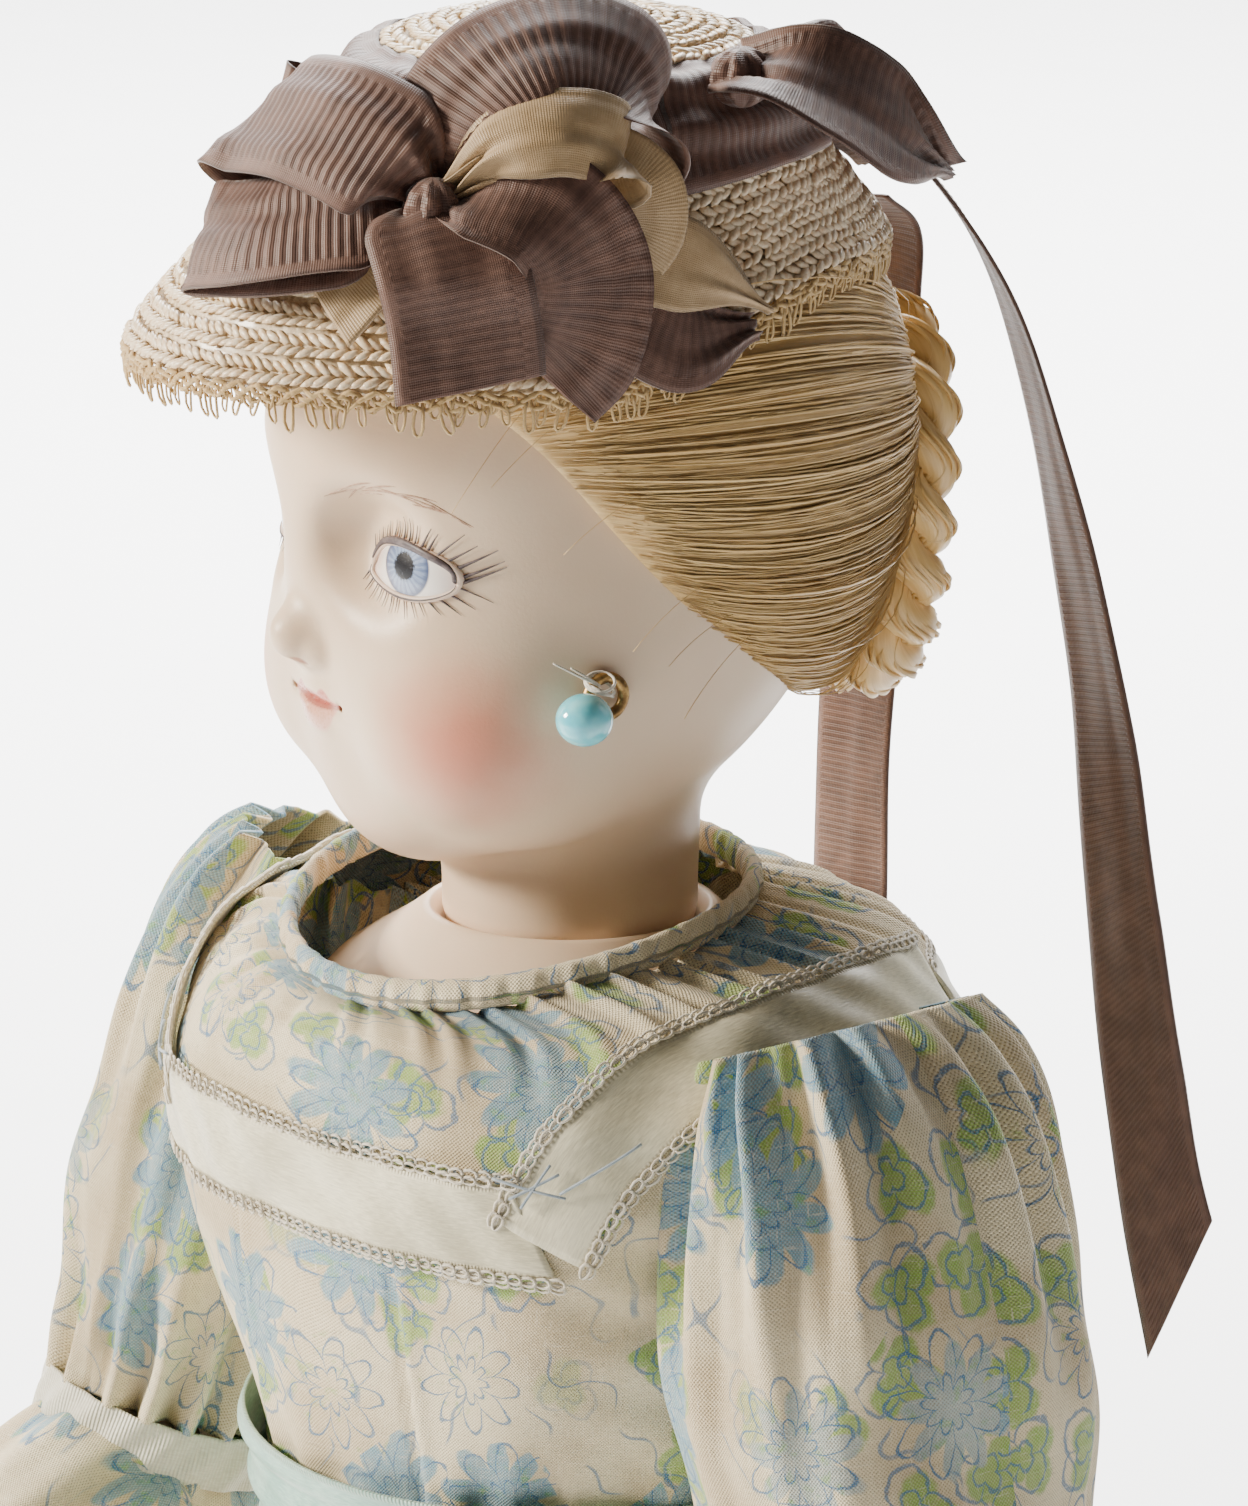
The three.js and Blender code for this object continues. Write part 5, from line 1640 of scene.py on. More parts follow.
        self.build_knot("front_knot", (26.2, -27.6, 82.9), (3.1, 3.0, 3.4), brown)
        self.tie([Ribbon("back_bow_leaf", ((22.0, 8.0, 93.2), (28.6, 11.0, 94.4), (31.6, 17.0, 91.6),
                                           (31.2, 24.0, 86.6), (27.6, 30.0, 82.2)),
                         ((-0.5, 0.74, 0.46), (-0.5, 0.74, 0.46), (-0.51, 0.73, 0.45), (-0.6, 0.6, 0.5),
                          (-0.63, 0.5, 0.55)), gather=(0.55, 0.12), reach=0.4, cup=1.2, seed=33, width=14),
                  Ribbon("back_bow_loop", ((20.5, 9.0, 92.6), (19.0, 13.0, 96.4), (15.0, 18.0, 96.0),
                                           (13.0, 22.0, 91.6), (16.0, 19.0, 89.6), (20.0, 12.0, 91.2)),
                         ((0.8, 0.5, 0.2), (0.75, 0.5, 0.3), (0.7, 0.5, 0.4), (0.7, 0.5, 0.4),
                          (0.7, 0.5, 0.4), (0.8, 0.5, 0.2)), gather=(0.4, 0.4), reach=0.3, cup=0.6, seed=36,
                         width=12), Ribbon("back_bow_under", ((21.0, 9.0, 92.0), (18.0, 20.0, 89.6),
                (13.0, 28.0, 84.6), (8.0, 33.0, 80.0)), ((0.5, 0.3, 0.8), (0.7, 0.3, 0.6), (0.8, 0.4, 0.4),
                (0.9, 0.4, 0.2)), gather=(0.5, 0.5), reach=0.4, seed=39, width=12)], brown, "brown_ribbon",
                 "back_bow", "hung", 0.0145)
        self.build_knot("back_knot", (23.4, 8.6, 93.4), (2.8, 3.2, 3.2), brown)

    def build_knot(self, name: str, centre: Sequence[float], radii: Sequence[float],
                   material: Material) -> None:
        """Pull one knot tight: a plump wrap with lengthwise creases."""
        up = np.linspace(0.03, math.pi - 0.03, 26)[:, None]
        round_ = even_angles(48)[None]
        crease = 1 + 0.10 * np.sin(round_ * 7 + np.sin(up * 4)) + 0.05 * np.sin(round_ * 15)
        ball = np.stack(np.broadcast_arrays(np.sin(up) * np.cos(round_) * crease,
                                            np.sin(up) * np.sin(round_) * crease, np.cos(up)), -1)
        mesh = Mesh()
        uv = np.stack(np.broadcast_arrays(round_ * 2.4, up * 3), -1)
        mesh.grid(in_head(ball * np.asarray(radii) + np.asarray(centre)), uv, across=True)
        mesh.cap(0, 48, True)
        mesh.cap(25 * 48, 48, False)
        mesh.finish(name, material, "head", "brown_ribbon")

    @staticmethod
    def tie(runs: Sequence[Ribbon], material: Material, slot: str, node: str, held: str,
            width: float) -> None:
        """Make one piece of several runs of ribbon.

        Args:
            runs: the runs.
            material: their finish.
            slot: the slot's name, passed on to dress.
            node: the CAD node that they stand for.
            held: not used.
            width: not used.
        """
        mesh = Mesh()
        for run in runs:
            run.add_to(mesh)
        piece = mesh.finish(f"{node}_ribbon", material, "head", slot, [node])

    def build_streamers(self, brown: Material) -> None:
        """Hang the two streamers from the back of the hat."""
        self.tie([Ribbon("long", ((6.0, 32.5, 85), (8.4, 37.6, 80), (10.4, 44.0, 71), (12.4, 48.4, 60),
                                  (15, 52, 43), (19, 55, 21), (22, 57, -6), (25, 60, -33), (28, 63, -53)),
                         ((0.9, -0.35, 0.1), (0.9, -0.35, 0.1), (0.9, -0.40, 0.1), (0.95, -0.2, 0.0),
                          (0.95, 0.2, 0.0), (0.85, 0.5, 0), (0.8, 0.6, 0), (0.75, 0.65, 0), (0.7, 0.7, 0)),
                         width=10.4, gather=(0.5, 1.0), reach=0.06, slant=-15, wrinkle=0.25, seed=42,
                         pitch=0.8, ribs=0.035, selvage=0.9, step=0.2, columns=13)], brown, "brown_ribbon",
                 "long_streamer", "hung", 0.0104)
        self.tie([Ribbon("short", ((-6.5, 37.5, 74), (-8, 42, 70), (-10, 43.4, 62), (-12, 44, 49),
                                   (-13, 42.6, 23), (-13, 41.5, 3), (-13, 41.5, -21), (-13, 42.5, -46)),
                         ((0.9, 0.4, 0),), width=10.4, wrinkle=0.3, seed=45, pitch=0.8, ribs=0.035,
                         selvage=0.9, step=0.2, columns=13)], brown, "brown_ribbon", "back_streamer",
                 "hung", 0.0104)

    def build(self) -> None:
        """Build and dress the hat."""
        self.build_straw()
        self.build_edging()
        bow = RibbonFinish("brown_grosgrain", (0.075, 0.034, 0.024), (0.19, 0.098, 0.070)).material()
        streamer = RibbonFinish("streamer_grosgrain", (0.080, 0.035, 0.024), (0.18, 0.090, 0.063), 10.4,
                                0.8, 0.9).material()
        tan = RibbonFinish("tan_satin", (0.36, 0.235, 0.115), (0.58, 0.41, 0.235), 9.0, 0.0, 0.5,
                           0.36).material()
        self.build_band(bow)
        self.build_bows(bow, tan)
        self.build_streamers(streamer)


# ---- the hair ----

@dataclass
class Hair:
    """The swept-back wig and its plaited coil, in the head's own frame."""

    centre: tuple[float, float, float] = (0, 1.8, 52.0)
    radii: tuple[float, float, float] = (32.6, 35.6, 36.0)
    hairline: tuple = ((13.0, -30.0, 68.0), (19.5, -24.5, 64.5), (23.6, -19.1, 60.1), (27.2, -14.1, 54.9),
                       (29.8, -6.1, 45.1), (29.6, 0.9, 37.9), (27.1, 7.4, 32.4), (21.5, 13.5, 28.5),
                       (12.0, 19.0, 25.5), (0, 21.5, 24.5))
    coil: tuple[float, float, float] = (0, 36.0, 42.0)
    strands: int = 1500

    def unit_place(self, points: Array) -> Array:
        """Read points as directions from the wig's middle."""
        return unit((np.asarray(points, float) - np.asarray(self.centre)) / np.asarray(self.radii))

    def sweep(self, share: Array, t: Array, sign: float) -> Array:
        """Follow hairs from the hairline back under the coil.

        Args:
            share: places along the hairline from the brow to the nape.
            t: places along each hair.
            sign: which side of the head.

        Returns:
            Rows for each share, columns for each t.
        """
        line = path_through(self.hairline, 200)
        root = np.column_stack([np.interp(share, np.linspace(0, 1, 200), line[:, k]) for k in range(3)])
        angle = np.interp(share, [0, 0.45, 1], [1.9, 0.35, -1.35])
        end = np.column_stack([10.5 * np.cos(angle) + 1.0, np.full(len(share), 33.5),
                               42 + 15 * np.sin(angle)])
        a, b = self.unit_place(root), self.unit_place(end)
        between = np.arccos(np.clip((a * b).sum(-1), -1, 1))[:, None, None]
        s = t[None, :, None]
        way = (np.sin((1 - s) * between) * a[:, None] + np.sin(s * between) * b[:, None]) / np.sin(between)
        puff = (1 + 0.035 * np.sin(np.clip(t, 0, 1) * math.pi)[None, :, None]
                - 0.02 * (1 - smooth(0, 0.1, t))[None, :, None])
        sag = np.sin(t * math.pi)[None, :] * -2.0 * np.sin(np.clip(share, 0, 1) * math.pi)[:, None]
        place = np.asarray(self.centre) + way * puff * np.asarray(self.radii)
        place[..., 2] += sag
        place[..., 0] *= sign
        return place

    def build_ground(self, material: Material) -> None:
        """Build the closed cap that the strands lie on."""
        mesh = Mesh()
        share = np.linspace(0, 1, 90)
        t = np.linspace(0, 1, 60)
        for sign in (1.0, -1.0):
            face = self.sweep(share, t, sign)
            clump = (np.sin(share * 70 + np.sin(share * 23) * 2)[:, None] * 0.28 + np.sin(share * 160)[:,
                    None] * 0.12)
            normal = unit((face - np.asarray(self.centre)) / np.asarray(self.radii) ** 2)
            face = face + normal * (clump * np.sin(t * math.pi)[None] ** 0.5)[..., None]
            uv = np.stack(np.broadcast_arrays(share[:, None] * 90, t[None] * 50), -1)
            add_sheet(mesh, in_head(face), uv, 2.0, turn_head(normal))
        mesh.finish("wig_ground", material, "head", "mohair", ["wig"])

    def build_strands(self, material: Material) -> None:
        """Lay fine locks over the cap, with a few fly-away hairs."""
        draw = np.random.default_rng(77)
        for side in Side:
            mesh = Mesh()
            share = np.clip(draw.uniform(0.0, 1.0, self.strands // 2), 0.002, 0.998)
            t = np.linspace(0, 1, 12)
            for k, base in enumerate(share):
                stretch = draw.uniform(0.0, 0.10), draw.uniform(0.9, 1.0)
                run = stretch[0] + (stretch[1] - stretch[0]) * t
                path = self.sweep(np.array([base]), run, 1.0)[0]
                normal = unit((path - np.asarray(self.centre)) / np.asarray(self.radii) ** 2)
                drift = np.cross(normal, unit(np.gradient(path, axis=0)))
                off = (draw.normal(0, 0.5) * np.sin(t * math.pi) + 0.25 * np.sin(t * draw.uniform(2, 7)
                        + draw.uniform(0, 6)))
                lift = 0.2 + abs(draw.normal(0, 0.3)) * np.sin(t * math.pi)
                if k % 40 == 0:
                    lift = lift + draw.uniform(1.0, 3.2) * np.sin(t * math.pi) * draw.uniform(0.4, 1.0)
                path = path + drift * off[:, None] + normal * lift[:, None]
                path[:, 0] *= side.value
                width = draw.uniform(0.07, 0.26) * (0.35 + 0.65 * np.sin(t * math.pi) ** 0.5)
                add_tube(mesh, in_head(path), width, 3, 0.6, turn_head(normal * [side.value, 1, 1]))
                mesh.uvs[-3][..., 0] += k * 1.7
            wisps = ((0.20, 2.0), (0.16, 3.5), (0.31, 2.0), (0.44, 2.5), (0.5, 2.0), (0.55, 3.0))
            for base, droop in wisps:
                path = self.sweep(np.array([base]), np.linspace(0, 0.12, 9), 1.0)[0]
                tail = np.linspace(0, 1, 9)[::-1, None]
                path = path + tail**1.5 * np.array([0.6, -droop, -droop * 3.2]) + np.array([0.5, 0, 0])
                path[:, 0] *= side.value
                add_tube(mesh, in_head(path), 0.045, 3)
            mesh.finish(f"{side.word}_swept_locks", material, "head", "mohair")

    def build_coil(self, material: Material) -> None:
        """Plait three locks round the coil, each of them made of finer locks."""
        count = 420
        angle = even_angles(count)
        rise = 16 * np.sin(angle)
        middle = np.column_stack([12.5 * np.cos(angle), 36.6 + 0.1 * rise - 2.5 * np.cos(angle) ** 2,
                                  self.coil[2] + rise])
        loop = np.vstack([middle[-1:], middle, middle[:1]])
        along = unit(np.gradient(loop, axis=0)[1:-1])
        out = unit(np.cross(along, np.array([0, 1.0, 0])))
        back = np.cross(out, along)
        back = back * np.sign(back[:, 1:2])
        mesh = Mesh()
        for lock in range(3):
            phase = angle * 6 + lock * 2 * math.pi / 3
            path = middle + out * (3.6 * np.sin(phase))[:, None] + back * (2.0 * np.sin(2 * phase))[:, None]
            add_tube(mesh, in_head(path), 2.75, 10, 0.85, turn_head(back), closed=True)
            draw = np.random.default_rng(90 + lock)
            for k in range(13):
                turn = k / 13 * 2 * math.pi + draw.normal(0, 0.1)
                r = 2.72 + draw.uniform(0.0, 0.25)
                fine = (path + out * (r * np.cos(turn))[..., None] + back * (r * 0.86 * np.sin(turn))[...,
                        None])
                before = len(mesh.uvs)
                add_tube(mesh, in_head(fine), draw.uniform(0.3, 0.55), 4, 0.6, turn_head(back), closed=True)
                mesh.uvs[before][..., 0] += k * 2.1
        mesh.finish("plaited_coil", material, "head", "mohair", ["braided_chignon"])

    def build(self) -> None:
        """Build and dress the hair."""
        material = HairFinish().material()
        self.build_ground(material)
        self.build_strands(material)
        self.build_coil(material)


# ---- the earrings and the pate ----

@dataclass
class Earrings:
    """Brass rings through the lobes, each with a glass bead tied on with thread."""

    hole: tuple[float, float, float] = (28.0, -10.0, 33.0)
    out: float = 1.6
    ring_radius: float = 2.05

    def build(self) -> None:
        """Build and dress both earrings."""
        brass = Metal("aged_brass", (0.50, 0.33, 0.13), (0.20, 0.12, 0.05)).material()
        glass = Glass().material()
        thread = ThreadFinish("tie_thread", (0.80, 0.76, 0.68), (0.6, 0.55, 0.46)).material()
        for side in Side:
            x, y, z = self.hole
            x_out = x + self.out
            body = f"{side.word}_earring"
            t = even_angles(40)
            mesh = Mesh()
            hoop = np.column_stack([np.full(40, x_out), y + self.ring_radius * np.sin(t),
                                    z - self.ring_radius * (1 - np.cos(t))])
            post = np.column_stack([np.linspace(x - 4.5, x_out, 8), np.full(8, y), np.full(8, z)])
            mirror = np.array([side.value, 1, 1])
            add_tube(mesh, in_head(hoop * mirror), 0.62, 12, closed=True, up=np.array([1.0, 0, 0]))
            add_tube(mesh, in_head(post * mirror), 0.5, 10)
            mesh.finish(f"{side.word}_ear_ring", brass, body, "brass", [f"{side.word}_earring_hook"])
            bead = Mesh()
            up = np.linspace(0.04, math.pi - 0.04, 30)[:, None]
            go = even_angles(48)[None]
            ball = np.stack(np.broadcast_arrays(np.sin(up) * np.cos(go), np.sin(up) * np.sin(go),
                    np.cos(up)), -1)
            centre = np.array([x_out + 3.0, y - 3.9, z - 3.4])
            bead.grid(in_head((ball * np.array([3.0, 3.0, 2.75]) + centre) * mirror), across=True)
            bead.cap(0, 48, True)
            bead.cap(29 * 48, 48, False)
            bead.finish(f"{side.word}_glass_bead", glass, body, "turquoise_glass",
                        [f"{side.word}_earring_bead"])
            tie = Mesh()
            for k in range(3):
                turn = even_angles(24)
                wrap = np.column_stack([x_out + 1.1 + 1.5 * np.sin(turn),
                                        y - 1.2 - 1.3 * np.cos(turn) * (1 + 0.1 * k), z - 1.0 + 0.45 * k
                                        + 0.7 * np.cos(turn + k)])
                add_tube(tie, in_head(wrap * mirror), 0.17, 5, closed=True)
            for end in ((-2.4, -3.2, 2.2), (-1.0, -5.2, 2.9)):
                curve = path_through([(x_out + 1.4, y - 1.4, z - 0.4), (x_out + 1.6, y - 1.4 + end[1] * 0.5,
                        z + end[2] * 0.35), (x_out + 1.2, y - 1.4 + end[1], z - 0.4 + end[2])], 12)
                add_tube(tie, in_head(curve * mirror), np.linspace(0.17, 0.1, 12), 5)
            tie.finish(f"{side.word}_tie", thread, body, "thread", [f"{side.word}_earring_thread"])


@dataclass(frozen=True)
class Metal:
    """Turned or drawn metal with a worn, slightly uneven surface."""

    name: str
    base: Colour
    dark: Colour
    rough: float = 0.3

    def material(self) -> Material:
        """Make the metal's material."""
        g = Graph(self.name, Metallic=1.0)
        wear = g.noise(g.place(), 0.9, 4.0, 0.6)
        return g.finish(g.mix(wear.rise(0.35, 0.65), self.dark, self.base), self.rough + 0.25 * wear, wear,
                        0.02)


@dataclass(frozen=True)
class Glass:
    """Opaque pale turquoise glass with a faint swirl."""

    name: str = "turquoise_glass"

    def material(self) -> Material:
        """Make the bead's material."""
        g = Graph(self.name, Coat_Weight=0.8, Coat_Roughness=0.05, Subsurface_Weight=0.15,
                  Subsurface_Scale=0.001)
        swirl = g.noise(g.place(), 0.35, 3.0)
        return g.finish(g.mix(swirl.rise(0.3, 0.7), (0.10, 0.56, 0.70), (0.26, 0.74, 0.82)),
                        0.12 + 0.08 * swirl)


# ---- the dress ----

@dataclass(frozen=True)
class PrintedCotton:
    """Ecru lawn in a loose plain weave, its printed colours a little off their outlines."""

    name: str = "floral_lawn"
    ground: Colour = (0.60, 0.48, 0.29)
    pale: Colour = (0.80, 0.70, 0.47)
    blue: Colour = (0.008, 0.14, 0.32)
    wash: Colour = (0.015, 0.27, 0.46)
    green: Colour = (0.19, 0.42, 0.03)
    thread: float = 0.44
    motif: float = 19.0

    def flowers(self, g: Graph, place: Socket, size: float, petals: float, reach: float) -> tuple[Socket,
            Socket, Socket]:
        """Draw one scatter of flowers.

        Args:
            g: the material's graph.
            place: flat cloth places.
            size: spacing of the flowers in millimetres.
            petals: how many petals each has.
            reach: radius of a flower in millimetres.

        Returns:
            The outline, the fill and a number that differs from flower to flower.
        """
        settings = {"voronoi_dimensions": "2D", "feature": "F1"}
        inputs = {"Vector": place, "Scale": 1 / size, "Randomness": 0.75}
        cell = g.node("ShaderNodeTexVoronoi", settings, inputs, "Position")
        tint = g.node("ShaderNodeSeparateColor",
                      inputs={0: g.node("ShaderNodeTexVoronoi", settings, inputs, "Color")})
        x, y, _ = g.parts(g.node("ShaderNodeVectorMath", {"operation": "SUBTRACT"}, {0: place, 1: cell}))
        wobble = g.noise(place, 0.55, 2.0)
        far = (x * x + y * y) ** 0.5 + (wobble - 0.5) * 1.6
        angle = g.node("ShaderNodeMath", {"operation": "ARCTAN2"}, {0: y, 1: x}) + tint * 6.0
        lobe = abs((angle * (petals / 2)).wave())
        edge = (0.52 + 0.48 * lobe) * reach * (0.75 + tint * 0.45)
        outline = abs(far - edge).rise(0.34, 0.14)
        inner = abs(far - edge * 0.42).rise(0.28, 0.10)
        vein = (1 - lobe).rise(0.86, 0.97) * (far - edge * 0.4).rise(0.0, 0.3) * (edge - far).rise(0.0, 0.3)
        fill = (edge * 0.96 - far).rise(-0.4, 0.5)
        return outline.most(inner).most(vein * 0.8), fill, tint

    def material(self) -> Material:
        """Make the printed cotton."""
        g = Graph(self.name, Sheen_Weight=0.25, Sheen_Roughness=0.5, Specular_IOR_Level=0.25)
        place = g.cloth()
        shift = g.moved(place, (1.3, -0.9, 0.0))
        offset = g.moved(place, (141.0, 77.0, 0.0))
        offset_shift = g.moved(place, (142.2, 76.3, 0.0))
        big, _, kind = self.flowers(g, place, self.motif, 9.0, 7.8)
        _, big_fill, _ = self.flowers(g, shift, self.motif, 9.0, 7.8)
        leaf, _, leaf_kind = self.flowers(g, offset, self.motif * 0.60, 3.0, 4.4)
        _, leaf_fill, _ = self.flowers(g, offset_shift, self.motif * 0.60, 3.0, 4.4)
        cloud = g.noise(place, 0.06, 3.0)
        colour = g.mix(cloud.rise(0.35, 0.65), self.ground, self.pale)
        patch = g.noise(place, 0.5, 3.0, 0.6)
        is_leaf = leaf_kind.rise(0.30, 0.34) * (1 - big_fill * kind.rise(0.2, 0.24))
        colour = g.mix(leaf_fill * is_leaf * (0.45 + patch * 0.6), colour, self.green)
        colour = g.mix(leaf * is_leaf * 0.75, colour, self.blue)
        has = kind.rise(0.20, 0.24)
        colour = g.mix(big_fill * has * kind.rise(0.45, 0.6) * (0.42 + patch * 0.6), colour, self.wash)
        colour = g.mix(big_fill * has * kind.rise(0.85, 0.8) * patch.rise(0.52, 0.72) * 0.6, colour,
                       self.green)
        colour = g.mix(big * has * (0.6 + patch * 0.5), colour, self.blue)
        vine = g.noise(place, 0.085, 1.0)
        stem = abs(vine - 0.52).rise(0.010, 0.004) * g.noise(place, 0.12, 1.0).rise(0.45, 0.55)
        colour = g.mix(stem * 0.7, colour, self.blue)
        u, v, _ = g.parts(place)
        slub = g.noise(g.vector(u * 0.4, v * 6.0), 1.0, 2.0)
        weft = (u * (2 * math.pi / self.thread) + slub * 1.5).wave()
        warp = (v * (2 * math.pi / self.thread) + slub * 1.5).wave()
        weave = weft * warp * 0.5 + 0.5
        thick = g.noise(g.vector(u * 0.35, v * 3.4), 1.0, 3.0,
                        0.7).most(g.noise(g.vector(u * 3.4, v * 0.35), 1.0, 3.0, 0.7))
        colour = g.mix(thick.rise(0.56, 0.72) * 0.5, colour, (0.88, 0.80, 0.64))
        colour = g.mix(thick.rise(0.50, 0.40) * 0.4, colour, (0.27, 0.21, 0.13))
        # Painted shade between the threads and painted highlight on their crossings: the weave's dips are
        # darkened and its crests lightened, in step with the bump.
        colour = g.mix(weave.rise(0.36, 0.0) * 0.85, colour, (0.26, 0.20, 0.13))
        colour = g.mix(weave.rise(0.6, 1.0) * 0.30, colour, (0.86, 0.80, 0.68))
        return g.finish(colour, 0.78 + 0.1 * slub, weave + thick * 1.2, 0.09)


@dataclass(frozen=True)
class Satin:
    """Silk satin: smooth floats along its length, a corded edge and soft pulled threads, with painted sheen
    and painted shade in streaks along the floats.
    """

    name: str
    base: Colour
    shade: Colour
    width: float = 10.0
    gloss: float = 0.36

    def material(self) -> Material:
        """Make the satin."""
        g = Graph(self.name, Sheen_Weight=0.5, Sheen_Roughness=0.35, Specular_IOR_Level=0.55)
        u, v, _ = g.parts(g.cloth())
        floats = g.noise(g.vector(u * 5.0, v * 0.7), 1.0, 3.0, 0.6)
        cloud = g.noise(g.place(), 0.1, 2.0)
        edge = u.least(self.width - u)
        cord = (v * (2 * math.pi / 0.45)).wave() * edge.rise(0.9, 0.5)
        # Painted sheen and painted shade: the colour runs between the base and the darker shade in streaks
        # along the floats and in soft clouds.
        share = (floats * 0.6 + cloud * 0.5).rise(0.35, 0.75)
        colour = g.mix(share, self.shade, self.base)
        colour = g.mix(edge.rise(0.9, 0.7) * 0.3 * (cord * 0.5 + 0.5), colour, (0.45, 0.38, 0.28))
        return g.finish(colour, self.gloss + 0.15 * floats, floats * 0.7 + cord * 0.8, 0.05)


@dataclass(frozen=True)
class PlainCloth:
    """Undyed plain cloth on Object coordinates, for the body and the under-layers."""

    name: str
    base: Colour
    shade: Colour
    thread: float = 0.5

    def material(self) -> Material:
        """Make the cloth."""
        g = Graph(self.name, Sheen_Weight=0.3, Specular_IOR_Level=0.2)
        place = g.place()
        x, y, z = g.parts(place)
        weave = (((x + y) * (2 * math.pi / self.thread)).wave() * (z * (2 * math.pi / self.thread)).wave()
                 * 0.5 + 0.5)
        cloud = g.noise(place, 0.07, 3.0)
        colour = g.mix((cloud * 0.7 + weave * 0.3).rise(0.3, 0.7), self.shade, self.base)
        return g.finish(colour, 0.86 + 0.08 * weave, weave, 0.06)


def limb_surface(stations: Sequence[tuple], rows: int, columns: int) -> tuple[Array, Array]:
    """Sweep a round limb through stations.

    Args:
        stations: rows of x, y, z, half-width, half-depth.
        rows: how many rows.
        columns: how many columns.

    Returns:
        The surface and its outward directions.
    """
    fine = path_through(stations, rows)
    centre, wide, deep = fine[:, :3], np.maximum(fine[:, 3:4], 0.05), np.maximum(fine[:, 4:5], 0.05)
    along = unit(np.gradient(centre, axis=0))
    side = unit(np.array([1.0, 0, 0]) - along * along[:, :1])
    front = np.cross(along, side)
    angle = even_angles(columns)
    out = (side[:, None] * (np.cos(angle)[None, :, None] * wide[:, None])
           + front[:, None] * (np.sin(angle)[None, :, None] * deep[:, None]))
    return centre[:, None] + out, unit(out)


@dataclass
class Lofted:
    """A wall through level sections: height, half-width, half-depth, middle, front dip, squareness."""

    sections: tuple

    def at(self, heights: Array) -> Array:
        """Read smooth sections at heights."""
        fine = path_through(self.sections, 400)
        order = np.argsort(fine[:, 0])
        return np.column_stack([np.interp(heights, fine[order, 0], fine[order, k]) for k in range(6)])

    def surface(self, heights: Array, angles: Array, out: float = 0.0) -> Array:
        """Place points at heights and angles from the doll's left round the back.

        Args:
            heights: one for each row.
            angles: one for each column.
            out: distance outside the wall.

        Returns:
            Rows x columns x 3 in the doll's frame.
        """
        z, a, b, y, dip, square = self.at(heights).T[:, :, None]
        c, s = np.cos(angles)[None], np.sin(angles)[None]
        power = 2 / square
        wide = np.sign(c) * np.abs(c) ** power
        deep = np.sign(s) * np.abs(s) ** power
        front = (1 - s) / 2
        return np.stack(np.broadcast_arrays((a + out) * wide, y + (b + out) * deep, z - dip * front**2), -1)

    def girth(self, height: float) -> float:
        """Measure round the wall at one height, mm."""
        ring = self.surface(np.array([height]), np.linspace(0, 2 * math.pi, 200))[0]
        return length_of(ring)

    def wall(self, heights: Array, count: int) -> tuple[Array, Array, Array, Array]:
        """Sample the wall for a garment.

        Args:
            heights: one for each row.
            count: how many columns.

        Returns:
            Points, outward normals, flat places and angles.
        """
        angles = even_angles(count)
        face = self.surface(heights, angles)
        normal = surface_normals(face, around=True)
        if (normal[..., :2] * face[..., :2]).sum() < 0:
            normal = -normal
        rows = np.r_[0, np.cumsum(np.linalg.norm(np.diff(face, axis=0), axis=-1).mean(axis=1))]
        girth = self.girth(float(np.mean(heights)))
        uv = np.stack(np.broadcast_arrays(angles[None] / (2 * math.pi) * girth, rows[:, None]), -1)
        return face, normal, uv, angles


@dataclass
class Stitching:
    """Rows of raised chain stitches along a line on the cloth."""

    pitch: float = 1.5
    wire: float = 0.17

    def lay(self, name: str, lines: Sequence[tuple[Array, Array]], material: Material,
            wide: float = 0.8) -> Piece:
        """Work chain stitches along lines.

        Args:
            name: the piece's name.
            lines: pairs of points and outward directions.
            material: the thread.
            wide: width of one link.

        Returns:
            The finished stitches.
        """
        t = even_angles(9)
        link = np.column_stack([np.cos(t) * self.pitch * 0.62,
                                np.sin(t) * wide * 0.5 * (1 + 0.3 * np.cos(t)), 0.12 * np.cos(t)])
        unit_mesh = Mesh()
        add_tube(unit_mesh, link, self.wire, 4, closed=True)
        places, outs, ways = [], [], []
        for line, out in lines:
            count = max(int(length_of(line) / self.pitch), 3)
            p = path_through(line, count)
            pick = np.linspace(0, len(line) - 1, count)
            n = np.column_stack([np.interp(pick, np.arange(len(line)), out[:, k]) for k in range(3)])
            places.append(p + n * 0.12)
            outs.append(unit(n))
            ways.append(unit(np.gradient(p, axis=0)))
        return Scatter(name, 7, 0.85, 1.1).make(unit_mesh, np.vstack(places), np.vstack(outs),
                np.vstack(ways), material)


